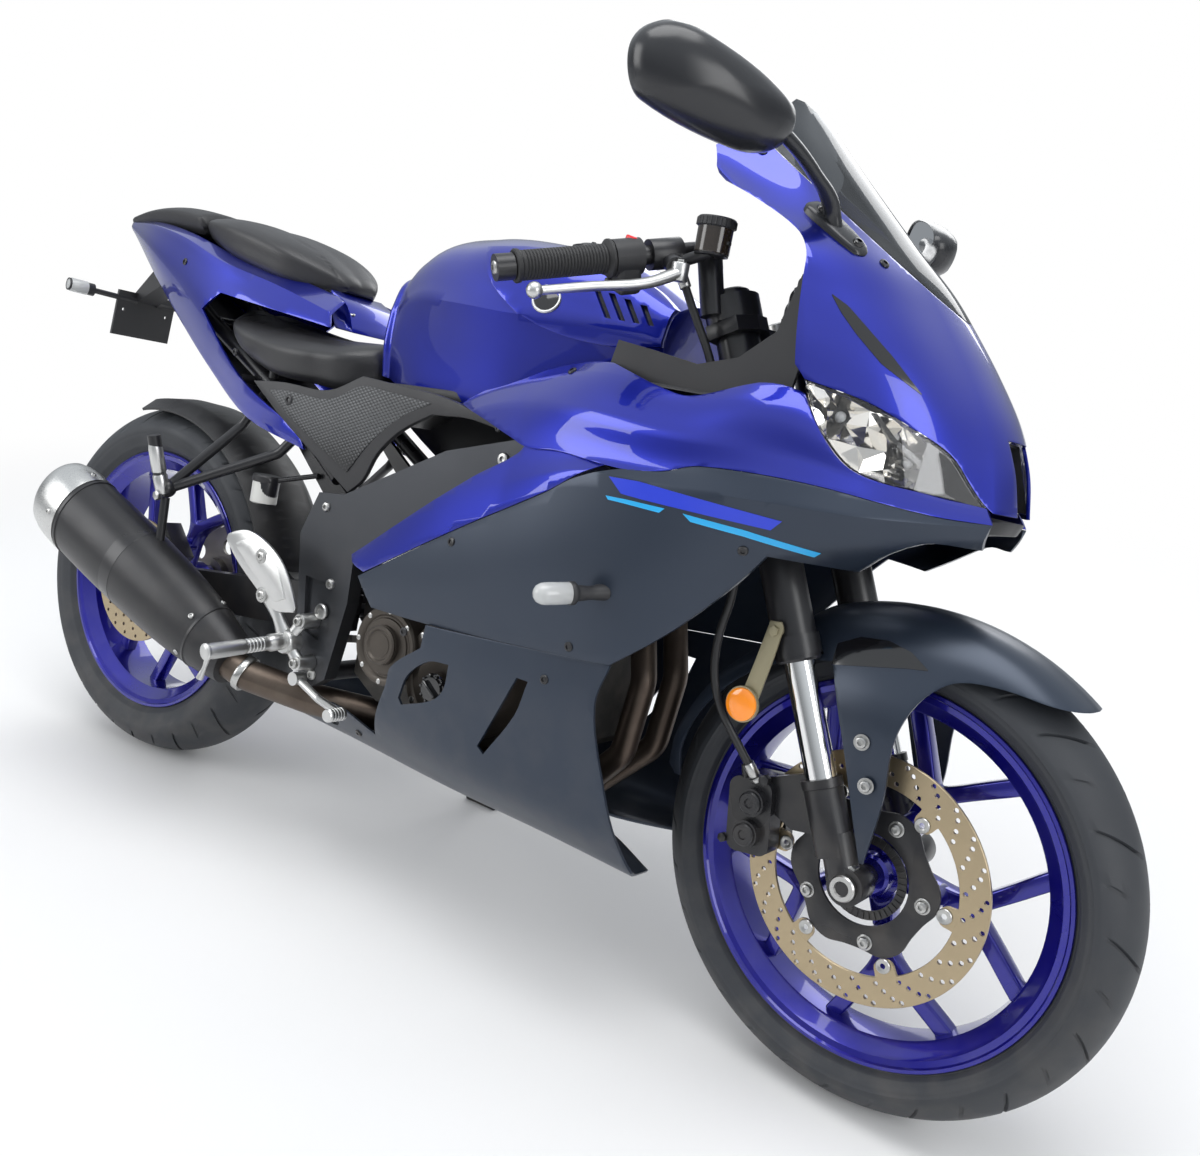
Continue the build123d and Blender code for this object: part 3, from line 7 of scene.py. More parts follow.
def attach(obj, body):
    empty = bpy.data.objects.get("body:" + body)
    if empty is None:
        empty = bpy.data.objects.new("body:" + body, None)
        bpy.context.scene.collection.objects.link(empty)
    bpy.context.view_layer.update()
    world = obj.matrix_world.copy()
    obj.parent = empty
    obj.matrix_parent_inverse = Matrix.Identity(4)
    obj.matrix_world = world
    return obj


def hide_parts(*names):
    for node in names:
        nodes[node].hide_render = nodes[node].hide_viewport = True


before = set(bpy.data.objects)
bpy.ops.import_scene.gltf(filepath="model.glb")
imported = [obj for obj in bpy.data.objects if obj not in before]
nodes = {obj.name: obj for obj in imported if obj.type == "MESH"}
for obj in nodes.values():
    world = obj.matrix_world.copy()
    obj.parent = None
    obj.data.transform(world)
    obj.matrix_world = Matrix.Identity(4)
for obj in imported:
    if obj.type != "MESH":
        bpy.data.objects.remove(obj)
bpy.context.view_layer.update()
print("frame loaded:", len(nodes), "nodes")

# Everything is modelled upright and in millimetres, then leaned over into the frame in metres.
leanOver = Matrix(((1, 0.0000575, -0.0002824, 10.860), (0, 0.9799247, 0.1993679, -184.350),
                   (0.0002882, -0.1993679, 0.9799247, 1.825), (0, 0, 0, 1)))
steerOver = Matrix(((0.9979957, 0.0632698, -0.001217, 12.433), (-0.0621377, 0.9834151, 0.1703927, -135.591),
                    (0.0119775, -0.1699755, 0.9853755, -7.347), (0, 0, 0, 1)))
toMetres = Matrix.Scale(0.001, 4)
placeOf = {"chassis": leanOver, "rear_wheel": leanOver, "filler_cap": leanOver, "side_stand": leanOver,
           "steering": steerOver, "front_wheel": steerOver}
frontAxle = Vector((690, 0, 293))
rearAxle = Vector((-690, 0, 314))


# small tools
def clearSelection():
    if bpy.context.object and bpy.context.object.mode != "OBJECT":
        bpy.ops.object.mode_set(mode="OBJECT")
    bpy.ops.object.select_all(action="DESELECT")


def pick(piece):
    clearSelection()
    piece.select_set(True)
    bpy.context.view_layer.objects.active = piece


def apply(piece, kind, **settings):
    pick(piece)
    bpy.ops.object.modifier_add(type=kind)
    modifier = piece.modifiers[-1]
    for key, value in settings.items():
        setattr(modifier, key, value)
    bpy.ops.object.modifier_apply(modifier=modifier.name)
    return piece


def fixNormals(piece, merge=0.01):
    pick(piece)
    bpy.ops.object.mode_set(mode="EDIT")
    bpy.ops.mesh.select_all(action="SELECT")
    bpy.ops.mesh.remove_doubles(threshold=merge)
    bpy.ops.mesh.normals_make_consistent(inside=False)
    bpy.ops.object.mode_set(mode="OBJECT")
    return piece


def newPiece(name):
    piece = bpy.context.object
    piece.name = name
    piece.data.name = name
    return piece


def fromFaces(name, points, faces):
    mesh = bpy.data.meshes.new(name)
    mesh.from_pydata([tuple(p) for p in points], [], faces)
    piece = bpy.data.objects.new(name, mesh)
    bpy.context.scene.collection.objects.link(piece)
    return piece


def joined(name, pieces):
    clearSelection()
    for piece in pieces:
        piece.select_set(True)
    bpy.context.view_layer.objects.active = pieces[0]
    if len(pieces) > 1:
        bpy.ops.object.join()
    return newPiece(name)


def settle(piece):
    pick(piece)
    bpy.ops.object.transform_apply(location=True, rotation=True, scale=True)
    return piece


def copied(piece, change=None):
    twin = piece.copy()
    twin.data = piece.data.copy()
    bpy.context.scene.collection.objects.link(twin)
    if change is not None:
        twin.data.transform(change)
        if change.determinant() < 0:
            twin.data.flip_normals()
    return twin


mirrorSide = Matrix.Scale(-1, 4, (0, 1, 0))


def leftToo(piece):
    return [piece, copied(piece, mirrorSide)]


def cutWith(piece, cutter, operation="DIFFERENCE"):
    apply(piece, "BOOLEAN", operation=operation, solver="EXACT", object=cutter)
    bpy.data.objects.remove(cutter)
    return piece


def rotationTo(direction):
    return Vector(direction).to_track_quat("Z", "Y").to_matrix().to_4x4()


def disc(name, centre, direction, radius, depth, sides=32, taper=1.0):
    bpy.ops.mesh.primitive_cone_add(vertices=sides, radius1=radius, radius2=radius * taper, depth=depth)
    piece = newPiece(name)
    piece.matrix_world = Matrix.Translation(Vector(centre)) @ rotationTo(direction)
    return settle(piece)


def block(name, centre, size, turn=0, around="Y"):
    bpy.ops.mesh.primitive_cube_add(size=1, location=centre)
    piece = newPiece(name)
    piece.scale = size
    piece.rotation_euler["XYZ".index(around)] = math.radians(turn)
    return settle(piece)


def prismParts(outline, yLow, yHigh, first=0):
    # corners and faces of a straight-sided slab, numbered from first
    count = len(outline)
    points = [(x, yLow, z) for x, z in outline] + [(x, yHigh, z) for x, z in outline]
    faces = [tuple(range(first, first + count)), tuple(range(first + 2 * count - 1, first + count - 1, -1))]
    faces += [(first + i, first + i + count, first + (i + 1) % count + count, first + (i + 1) % count)
              for i in range(count)]
    return points, faces


def prism(name, outline, yLow, yHigh):
    return fixNormals(fromFaces(name, *prismParts(outline, yLow, yHigh)))


def ringSpot(radius, angle, y=0):
    # a place on a ring about the crosswise axis
    return Vector((radius * math.cos(angle), y, radius * math.sin(angle)))


def gridFaces(rows, columns, closed=False):
    faces = []
    for i in range(rows - 1):
        for j in range(columns if closed else columns - 1):
            k = (j + 1) % columns
            faces.append((i * columns + j, i * columns + k, (i + 1) * columns + k, (i + 1) * columns + j))
    return faces


def faceTowards(piece, outward):
    # turns a sheet over if on the whole it looks the other way
    total = sum((face.normal * face.area for face in piece.data.polygons), Vector((0, 0, 0)))
    if total.dot(Vector(outward)) < 0:
        piece.data.flip_normals()
    return piece


def wholeRow(half):
    # a half section from the middle plane, mirrored to a whole one
    return [Vector((p.x, -p.y, p.z)) for p in reversed(half[1:])] + half


def cubicParts(t):
    # weights of start, start slope, end and end slope
    return (2 * t ** 3 - 3 * t ** 2 + 1, t ** 3 - 2 * t ** 2 + t, -2 * t ** 3 + 3 * t ** 2, t ** 3 - t ** 2)


def lathe(name, profile, steps=64, centre=(0, 0, 0), axis=(0, 1, 0), closed=True):
    turnTo = Matrix.Translation(Vector(centre)) @ rotationTo(axis)
    points = []
    for step in range(steps):
        angle = math.tau * step / steps
        for radius, along in profile:
            points.append(turnTo @ Vector((radius * math.cos(angle), radius * math.sin(angle), along)))
    count = len(profile)
    faces = []
    for step in range(steps):
        near = step * count
        far = (step + 1) % steps * count
        for i in range(count if closed else count - 1):
            j = (i + 1) % count
            faces.append((near + i, near + j, far + j, far + i))
    return fixNormals(fromFaces(name, points, faces), 0.001)


def curvePiece(name, points, radius, sides, smoothness):
    curve = bpy.data.curves.new(name, "CURVE")
    curve.dimensions = "3D"
    curve.bevel_depth = radius
    curve.bevel_resolution = sides
    curve.resolution_u = smoothness
    curve.use_fill_caps = True
    spline = curve.splines.new("NURBS")
    spline.points.add(len(points) - 1)
    for point, place in zip(spline.points, points):
        point.co = (*place, 1)
    spline.order_u = 3
    spline.use_endpoint_u = True
    piece = bpy.data.objects.new(name, curve)
    bpy.context.scene.collection.objects.link(piece)
    return piece


def tube(name, points, radius, sides=6):
    pick(curvePiece(name, points, radius, sides, 8))
    bpy.ops.object.convert(target="MESH")
    return newPiece(name)


def rounded(piece, width, segments=2, angle=30):
    return apply(piece, "BEVEL", width=width, segments=segments, limit_method="ANGLE",
                 angle_limit=math.radians(angle), use_clamp_overlap=True)


def softLine(points, steps=5, corner=32):
    # closed line through the points, rounded wherever it turns by less than the corner angle
    count = len(points)
    spots = [Vector(p) for p in points]
    sharp = []
    for i in range(count):
        before = spots[i] - spots[i - 1]
        after = spots[(i + 1) % count] - spots[i]
        sharp.append(before.angle(after, 0) > math.radians(corner))
    line = []
    for i in range(count):
        a = spots[i]
        b = spots[(i + 1) % count]
        slopeA = b - a if sharp[i] else (b - spots[i - 1]) / 2
        slopeB = b - a if sharp[(i + 1) % count] else (spots[(i + 2) % count] - a) / 2
        reach = (b - a).length
        if slopeA.length > 0:
            slopeA = slopeA.normalized() * reach
        if slopeB.length > 0:
            slopeB = slopeB.normalized() * reach
        for step in range(steps):
            start, startSlope, end, endSlope = cubicParts(step / steps)
            line.append(tuple(a * start + slopeA * startSlope + b * end + slopeB * endSlope))
    return line


def finishPiece(piece, body, material, replaced=(), smooth=35):
    piece.data.transform(toMetres @ placeOf[body])
    piece.data.materials.clear()
    piece.data.materials.append(material)
    for face in piece.data.polygons:
        face.material_index = 0
    pick(piece)
    bpy.ops.object.shade_smooth_by_angle(angle=math.radians(smooth))
    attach(piece, body)
    if replaced:
        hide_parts(*replaced)
    return piece


# shader groups shared by the finishes
outputKinds = {"Color": "NodeSocketColor", "Normal": "NodeSocketVector"}


def newGroup(name, values, results):
    group = bpy.data.node_groups.new(name, "ShaderNodeTree")
    for label, value in values.items():
        kind = "NodeSocketFloat"
        if isinstance(value, tuple):
            kind = "NodeSocketColor" if len(value) == 4 else "NodeSocketVector"
        group.interface.new_socket(name=label, in_out="INPUT", socket_type=kind).default_value = value
    for label in results:
        kind = outputKinds.get(label, "NodeSocketFloat")
        group.interface.new_socket(name=label, in_out="OUTPUT", socket_type=kind)
    return group, group.nodes.new("NodeGroupInput"), group.nodes.new("NodeGroupOutput")


def addNode(tree, kind, values=None, **settings):
    node = tree.nodes.new("ShaderNode" + kind)
    for key, value in settings.items():
        setattr(node, key, value)
    for label, value in (values or {}).items():
        node.inputs[label].default_value = value
    return node


def wire(tree, *wires):
    # each wire is a node, its output, the next node and its input
    for source, output, target, entry in wires:
        tree.links.new(source.outputs[output], target.inputs[entry])


def toneGroup():
    # two colours mixed by a broad cloud and a fine speckle
    grey = (0.5, 0.5, 0.5, 1)
    group, given, result = newGroup(
        "twoTone", {"Base": grey, "Second": grey, "Scale": 8.0, "Fine": 900.0, "Amount": 0.5, "Low": 0.3, "High": 0.4},
        ["Color", "Roughness"])
    place = addNode(group, "TexCoord")
    broad = addNode(group, "TexNoise", {"Detail": 3})
    fine = addNode(group, "TexNoise", {"Detail": 1})
    half = addNode(group, "Math", {1: 0.45}, operation="MULTIPLY")
    blend = addNode(group, "Math", {1: 0.55}, operation="MULTIPLY_ADD")
    strength = addNode(group, "Math", operation="MULTIPLY", use_clamp=True)
    mix = addNode(group, "Mix", data_type="RGBA")
    rough = addNode(group, "MapRange", {"From Min": 0.3, "From Max": 0.7})
    wire(group, (place, "Object", broad, "Vector"), (place, "Object", fine, "Vector"),
         (given, "Scale", broad, "Scale"), (given, "Fine", fine, "Scale"), (fine, "Fac", half, 0),
         (broad, "Fac", blend, 0), (half, 0, blend, 2), (blend, 0, strength, 0), (given, "Amount", strength, 1),
         (strength, 0, mix, "Factor"), (given, "Base", mix, "A"), (given, "Second", mix, "B"),
         (broad, "Fac", rough, "Value"), (given, "Low", rough, "To Min"), (given, "High", rough, "To Max"),
         (mix, "Result", result, "Color"), (rough, "Result", result, "Roughness"))
    return group


def grainGroup():
    # fine moulded or cast grain as a bump
    group, given, result = newGroup("fineGrain", {"Scale": 900.0, "Depth": 0.1, "Pebble": 0.5}, ["Normal"])
    place = addNode(group, "TexCoord")
    noise = addNode(group, "TexNoise", {"Detail": 2})
    cells = addNode(group, "TexVoronoi")
    mix = addNode(group, "Mix")
    bump = addNode(group, "Bump", {"Distance": 0.001})
    wire(group, (place, "Object", noise, "Vector"), (place, "Object", cells, "Vector"),
         (given, "Scale", noise, "Scale"), (given, "Scale", cells, "Scale"), (given, "Pebble", mix, "Factor"),
         (noise, "Fac", mix, "A"), (cells, "Distance", mix, "B"), (mix, "Result", bump, "Height"),
         (given, "Depth", bump, "Strength"), (bump, "Normal", result, "Normal"))
    return group


def brushGroup():
    # streaks along one axis, as left by brushing or grinding
    group, given, result = newGroup(
        "brushed", {"Stretch": (40.0, 900.0, 900.0), "Low": 0.2, "High": 0.4, "Depth": 0.1}, ["Roughness", "Normal"])
    place = addNode(group, "TexCoord")
    stretch = addNode(group, "VectorMath", operation="MULTIPLY")
    noise = addNode(group, "TexNoise", {"Scale": 1, "Detail": 2})
    rough = addNode(group, "MapRange")
    bump = addNode(group, "Bump", {"Distance": 0.0005})
    wire(group, (place, "Object", stretch, 0), (given, "Stretch", stretch, 1), (stretch, "Vector", noise, "Vector"),
         (noise, "Fac", rough, "Value"), (given, "Low", rough, "To Min"), (given, "High", rough, "To Max"),
         (noise, "Fac", bump, "Height"), (given, "Depth", bump, "Strength"),
         (rough, "Result", result, "Roughness"), (bump, "Normal", result, "Normal"))
    return group


def dustGroup():
    # a light film of road dust that gathers low on the machine
    group, given, result = newGroup(
        "roadDust", {"Color": (0.5, 0.5, 0.5, 1), "Dust": (0.32, 0.28, 0.23, 1), "Amount": 0.2, "Height": 0.5},
        ["Color", "Mask"])
    place = addNode(group, "TexCoord")
    parts = addNode(group, "SeparateXYZ")
    low = addNode(group, "MapRange", {"To Min": 1, "To Max": 0})
    noise = addNode(group, "TexNoise", {"Scale": 24, "Detail": 6})
    patch = addNode(group, "MapRange", {"From Min": 0.42, "From Max": 0.68})
    first = addNode(group, "Math", operation="MULTIPLY")
    second = addNode(group, "Math", operation="MULTIPLY", use_clamp=True)
    mix = addNode(group, "Mix", data_type="RGBA")
    wire(group, (place, "Object", parts, 0), (place, "Object", noise, "Vector"), (parts, "Z", low, "Value"),
         (given, "Height", low, "From Max"), (noise, "Fac", patch, "Value"), (low, "Result", first, 0),
         (patch, "Result", first, 1), (first, 0, second, 0), (given, "Amount", second, 1),
         (second, 0, mix, "Factor"), (given, "Color", mix, "A"), (given, "Dust", mix, "B"),
         (mix, "Result", result, "Color"), (second, 0, result, "Mask"))
    return group


def honeycombGroup():
    # fine slanted cells of the textured side covers; the grooves between the cells are coloured darker, as painted
    # shade in the recesses
    group, given, result = newGroup(
        "cellRelief", {"Scale": 160.0, "Depth": 0.5, "Face": (0.05, 0.05, 0.05, 1), "Groove": (0.01, 0.01, 0.01, 1)},
        ["Color", "Normal"])
    place = addNode(group, "TexCoord")
    turn = addNode(group, "Mapping", {"Rotation": (0, math.radians(35), 0), "Scale": (1, 0.2, 1.7)})
    cells = addNode(group, "TexVoronoi", {"Randomness": 0})
    ramp = addNode(group, "MapRange", {"From Min": 0.3, "From Max": 0.6})
    mix = addNode(group, "Mix", data_type="RGBA")
    flip = addNode(group, "Math", operation="SUBTRACT")
    flip.inputs[0].default_value = 1
    bump = addNode(group, "Bump", {"Distance": 0.001})
    wire(group, (place, "Object", turn, "Vector"), (turn, "Vector", cells, "Vector"),
         (given, "Scale", cells, "Scale"), (cells, "Distance", ramp, "Value"), (ramp, "Result", mix, "Factor"),
         (given, "Face", mix, "A"), (given, "Groove", mix, "B"), (ramp, "Result", flip, 1),
         (flip, 0, bump, "Height"), (given, "Depth", bump, "Strength"), (mix, "Result", result, "Color"),
         (bump, "Normal", result, "Normal"))
    return group


groups = {"tone": toneGroup(), "grain": grainGroup(), "brush": brushGroup(), "dust": dustGroup(),
          "cells": honeycombGroup()}


def addGroup(tree, key, **values):
    node = addNode(tree, "Group", node_tree=groups[key])
    for label, value in values.items():
        if isinstance(value, tuple) and len(value) == 3 and label != "Stretch":
            value = (*value, 1)
        node.inputs[label].default_value = value
    return node


# the shader's own sockets: the look's key and the usual value
plainSockets = {"Metallic": ("metal", 0), "Coat Weight": ("coat", 0), "Coat Roughness": ("coatRough", 0.03),
                "IOR": ("ior", 1.5), "Transmission Weight": ("clear", 0), "Alpha": ("alpha", 1)}


def makeFinish(name, look):
    material = bpy.data.materials.new(name)
    material.use_nodes = True
    tree = material.node_tree
    shader = tree.nodes["Principled BSDF"]
    low, high = look["rough"]
    tone = addGroup(tree, "tone", Base=look["base"], Second=look["second"], Scale=look.get("scale", 8.0),
                    Fine=look.get("fine", 900.0), Amount=look.get("amount", 0.5), Low=low, High=high)
    colour = tone
    if "cells" in look:
        scale, depth = look["cells"]
        colour = addGroup(tree, "cells", Face=look["base"], Groove=look["second"], Scale=scale, Depth=depth)
        wire(tree, (colour, "Normal", shader, "Normal"))
    if "dust" in look:
        amount, height = look["dust"]
        film = addGroup(tree, "dust", Amount=amount, Height=height)
        wire(tree, (colour, "Color", film, "Color"))
        colour = film
    wire(tree, (colour, "Color", shader, "Base Color"))
    rough = tone
    if "brush" in look:
        rough = addGroup(tree, "brush", Stretch=look["brush"], Low=low, High=high, Depth=look.get("streak", 0.1))
        wire(tree, (rough, "Normal", shader, "Normal"))
    wire(tree, (rough, "Roughness", shader, "Roughness"))
    if "grain" in look:
        scale, depth = look["grain"]
        grain = addGroup(tree, "grain", Scale=scale, Depth=depth, Pebble=look.get("pebble", 0.4))
        wire(tree, (grain, "Normal", shader, "Normal"))
    for label, (key, usual) in plainSockets.items():
        shader.inputs[label].default_value = look.get(key, usual)
    # an emission here makes a part glow though it is no lamp: a painted glow
    if "paintedGlow" in look:
        shader.inputs["Emission Color"].default_value = (*look["paintedGlow"], 1)
        shader.inputs["Emission Strength"].default_value = look.get("paintedGlowStrength", 0.2)
    material.diffuse_color = (*look["base"], 1)
    return material


looks = {
    "cobaltPaint": {"base": (0.003, 0.008, 0.25), "second": (0.008, 0.024, 0.46), "fine": 2600.0, "scale": 3.0,
                    "amount": 0.7, "rough": (0.26, 0.34), "metal": 0.75, "coat": 1.0, "coatRough": 0.02},
    "wheelPaint": {"base": (0.007, 0.005, 0.22), "second": (0.012, 0.01, 0.36), "fine": 2400.0, "amount": 0.6,
                   "rough": (0.24, 0.34), "metal": 0.7, "coat": 0.9, "coatRough": 0.04, "dust": (0.05, 0.5)},
    "satinSlate": {"base": (0.022, 0.032, 0.052), "second": (0.034, 0.047, 0.072), "fine": 2200.0, "scale": 4.0,
                   "amount": 0.6, "rough": (0.3, 0.37), "metal": 0.45, "coat": 0.15, "coatRough": 0.3,
                   "dust": (0.1, 0.55)},
    "mouldedBlack": {"base": (0.016, 0.016, 0.018), "second": (0.03, 0.03, 0.033), "rough": (0.42, 0.55),
                     "grain": (1500.0, 0.14), "dust": (0.18, 0.6)},
    "satinBlack": {"base": (0.012, 0.012, 0.014), "second": (0.022, 0.022, 0.025), "rough": (0.26, 0.36),
                   "grain": (900.0, 0.04), "dust": (0.18, 0.5)},
    "glossBlack": {"base": (0.006, 0.006, 0.007), "second": (0.012, 0.012, 0.014), "rough": (0.06, 0.12),
                   "coat": 0.5},
    "mirrorShell": {"base": (0.016, 0.017, 0.02), "second": (0.026, 0.027, 0.03), "rough": (0.2, 0.26),
                    "grain": (1800.0, 0.05)},
    # the second colour goes into the cell grooves as painted shade
    "textureBlack": {"base": (0.085, 0.088, 0.092), "second": (0.012, 0.012, 0.013), "rough": (0.28, 0.4),
                     "cells": (150.0, 0.6)},
    "seatVinyl": {"base": (0.02, 0.02, 0.022), "second": (0.032, 0.032, 0.035), "rough": (0.34, 0.46),
                  "grain": (700.0, 0.22), "pebble": 0.8},
    "tyreRubber": {"base": (0.024, 0.027, 0.033), "second": (0.042, 0.045, 0.05), "scale": 14.0,
                   "rough": (0.5, 0.68), "grain": (600.0, 0.1), "dust": (0.1, 0.42)},
    "gripRubber": {"base": (0.014, 0.014, 0.015), "second": (0.024, 0.024, 0.026), "rough": (0.5, 0.64),
                   "grain": (900.0, 0.15)},
    "hoseRubber": {"base": (0.012, 0.012, 0.013), "second": (0.02, 0.02, 0.022), "rough": (0.36, 0.48)},
    "castDark": {"base": (0.05, 0.053, 0.06), "second": (0.075, 0.078, 0.085), "rough": (0.36, 0.48), "metal": 0.7,
                 "grain": (700.0, 0.12), "dust": (0.15, 0.6)},
    "castEngine": {"base": (0.04, 0.038, 0.036), "second": (0.06, 0.056, 0.05), "rough": (0.42, 0.56),
                   "metal": 0.6, "grain": (420.0, 0.25), "dust": (0.3, 0.6)},
    "bronzeCast": {"base": (0.065, 0.055, 0.046), "second": (0.09, 0.078, 0.066), "rough": (0.36, 0.46),
                   "metal": 0.6, "grain": (700.0, 0.12), "dust": (0.2, 0.5)},
    "brushedSteel": {"base": (0.58, 0.58, 0.57), "second": (0.5, 0.5, 0.49), "rough": (0.22, 0.36), "metal": 1.0,
                     "brush": (60.0, 1500.0, 1500.0)},
    "groundDisc": {"base": (0.46, 0.37, 0.24), "second": (0.36, 0.29, 0.19), "scale": 30.0, "rough": (0.28, 0.4),
                   "metal": 0.9, "brush": (900.0, 60.0, 900.0), "streak": 0.15},
    "hardChrome": {"base": (0.78, 0.78, 0.77), "second": (0.7, 0.7, 0.7), "rough": (0.06, 0.1), "metal": 1.0},
    "satinAlloy": {"base": (0.62, 0.62, 0.61), "second": (0.52, 0.52, 0.51), "rough": (0.28, 0.4), "metal": 1.0,
                   "grain": (900.0, 0.06)},
    "plainSteel": {"base": (0.5, 0.5, 0.49), "second": (0.4, 0.39, 0.37), "rough": (0.26, 0.38), "metal": 1.0},
    "heatSteel": {"base": (0.075, 0.058, 0.048), "second": (0.13, 0.1, 0.08), "scale": 12.0, "amount": 0.9,
                  "rough": (0.34, 0.5), "metal": 0.9, "dust": (0.3, 0.6)},
    "chainSteel": {"base": (0.16, 0.15, 0.14), "second": (0.26, 0.25, 0.23), "rough": (0.3, 0.45), "metal": 0.9,
                   "dust": (0.3, 0.5)},
    "silencerBlack": {"base": (0.014, 0.014, 0.016), "second": (0.024, 0.024, 0.026), "rough": (0.34, 0.44),
                      "metal": 0.2, "grain": (1200.0, 0.08), "dust": (0.12, 0.5)},
    "radiatorCore": {"base": (0.02, 0.02, 0.02), "second": (0.04, 0.04, 0.04), "rough": (0.5, 0.6), "metal": 0.5,
                     "brush": (10.0, 10.0, 700.0)},
    "smokedScreen": {"base": (0.07, 0.078, 0.088), "second": (0.06, 0.068, 0.078), "rough": (0.01, 0.03),
                     "clear": 0.85, "ior": 1.22},
    "clearLens": {"base": (0.96, 0.97, 0.98), "second": (0.94, 0.95, 0.97), "rough": (0.0, 0.02), "clear": 1.0,
                  "ior": 1.4},
    "lampChrome": {"base": (0.88, 0.89, 0.9), "second": (0.9, 0.76, 0.52), "scale": 34.0, "rough": (0.08, 0.14),
                   "metal": 1.0},
    "mirrorGlass": {"base": (0.8, 0.82, 0.85), "second": (0.78, 0.8, 0.83), "rough": (0.01, 0.02), "metal": 1.0},
    "redLens": {"base": (0.42, 0.006, 0.008), "second": (0.6, 0.015, 0.012), "rough": (0.08, 0.14), "coat": 0.6},
    # the amber reflectors get a faint emission, a painted glow, though they are no lamps
    "orangeLens": {"base": (0.9, 0.24, 0.008), "second": (1.0, 0.34, 0.02), "fine": 500.0, "rough": (0.1, 0.16),
                   "coat": 0.8, "paintedGlow": (1.0, 0.3, 0.02), "paintedGlowStrength": 0.12},
    "lensFrost": {"base": (0.78, 0.8, 0.8), "second": (0.9, 0.9, 0.88), "fine": 600.0, "rough": (0.08, 0.2),
                  "clear": 0.45, "coat": 0.6},
    "bracketOlive": {"base": (0.30, 0.27, 0.17), "second": (0.38, 0.34, 0.24), "rough": (0.4, 0.5), "metal": 0.5},
    "stripeBlue": {"base": (0.006, 0.03, 0.55), "second": (0.01, 0.05, 0.7), "rough": (0.3, 0.36), "coat": 0.3},
    "stripeCyan": {"base": (0.01, 0.36, 0.75), "second": (0.01, 0.45, 0.85), "rough": (0.3, 0.36), "coat": 0.3},
    "switchRed": {"base": (0.7, 0.012, 0.02), "second": (0.8, 0.02, 0.03), "rough": (0.25, 0.32)},
    "smokedCup": {"base": (0.02, 0.014, 0.01), "second": (0.03, 0.02, 0.014), "rough": (0.1, 0.16), "coat": 0.6},
    "paleBottle": {"base": (0.6, 0.6, 0.57), "second": (0.68, 0.68, 0.65), "rough": (0.3, 0.4)},
}
finish = {name: makeFinish(name, look) for name, look in looks.items()}
print("finishes made:", len(finish))


# finishes of the CAD pieces that stay as they are
keptFinish = {
    "main_frame": "castDark", "subframe": "satinBlack", "engine": "castEngine", "engine_covers": "bronzeCast",
    "radiator": "radiatorCore", "exhaust_pipes": "heatSteel", "silencer": "silencerBlack",
    "silencer_cap": "brushedSteel", "swingarm": "satinBlack", "rear_shock": "satinBlack", "chain": "chainSteel",
    "hugger": "mouldedBlack", "fuel_tank": "cobaltPaint", "fuel_cap": "satinBlack", "tank_covers": "cobaltPaint",
    "rider_seat": "seatVinyl", "pillion_seat": "seatVinyl", "tail_panels": "cobaltPaint",
    "tail_top": "mouldedBlack", "undertail": "mouldedBlack", "tail_lamp": "redLens", "side_covers": "textureBlack",
    "nose_cowl": "cobaltPaint", "windscreen": "smokedScreen", "headlamps": "clearLens", "lamp_units": "lampChrome",
    "upper_fairings": "cobaltPaint", "side_fairings": "satinSlate", "belly_fairings": "satinSlate",
    "cockpit": "mouldedBlack", "mirrors": "mirrorShell", "front_indicators": "lensFrost",
    "rider_footrests": "satinAlloy", "pillion_footrests": "satinBlack", "foot_levers": "satinAlloy",
    "rear_brake": "satinBlack", "rear_rim": "wheelPaint", "rear_tyre": "tyreRubber", "rear_disc": "groundDisc",
    "rear_sprocket": "chainSteel", "yokes": "satinBlack", "fork_tubes": "satinBlack", "stanchions": "hardChrome",
    "fork_feet": "satinBlack", "front_mudguard": "satinSlate", "front_caliper": "satinBlack",
    "handlebars": "satinBlack", "grips": "gripRubber", "switchgear": "mouldedBlack", "hand_levers": "satinAlloy",
    "brake_master": "satinBlack", "brake_hose": "hoseRubber", "front_reflectors": "orangeLens",
    "front_rim": "wheelPaint", "front_tyre": "tyreRubber", "front_disc": "groundDisc", "side_stand": "satinBlack",
}
for nodeName, finishName in keptFinish.items():
    mesh = nodes[nodeName].data
    mesh.materials.clear()
    mesh.materials.append(finish[finishName])
print("kept nodes dressed:", len(keptFinish))


# bodywork surfaces: tables of sections, blended smoothly along the machine
def smoothAt(knots, values, x):
    # cubic blend through uneven knots that rise in x
    count = len(knots)
    if x <= knots[0]:
        return values[0]
    if x >= knots[-1]:
        return values[-1]
    i = max(k for k in range(count - 1) if knots[k] <= x)

    def slope(k):
        if k == 0:
            return (values[1] - values[0]) / (knots[1] - knots[0])
        if k == count - 1:
            return (values[-1] - values[-2]) / (knots[-1] - knots[-2])
        before = (values[k] - values[k - 1]) / (knots[k] - knots[k - 1])
        after = (values[k + 1] - values[k]) / (knots[k + 1] - knots[k])
        share = (knots[k] - knots[k - 1]) / (knots[k + 1] - knots[k - 1])
        return before * (1 - share) + after * share

    span = knots[i + 1] - knots[i]
    start, startSlope, end, endSlope = cubicParts((x - knots[i]) / span)
    return (values[i] * start + slope(i) * startSlope * span + values[i + 1] * end
            + slope(i + 1) * endSlope * span)


def blendOf(stations, x, *path):
    # the value found under the path in each station, blended at x
    values = []
    for station in stations:
        for key in path:
            station = station[key]
        values.append(station)
    return smoothAt([station[0] for station in stations], values, x)


def curveThrough(points, steps):
    # smooth open line through the points
    knots = [0.0]
    for a, b in zip(points, points[1:]):
        knots.append(knots[-1] + max((b - a).length, 0.001))
    line = []
    for i in range(len(points) - 1):
        for step in range(steps):
            at = knots[i] + (knots[i + 1] - knots[i]) * step / steps
            line.append(smoothAt(knots, points, at))
    line.append(points[-1])
    return line


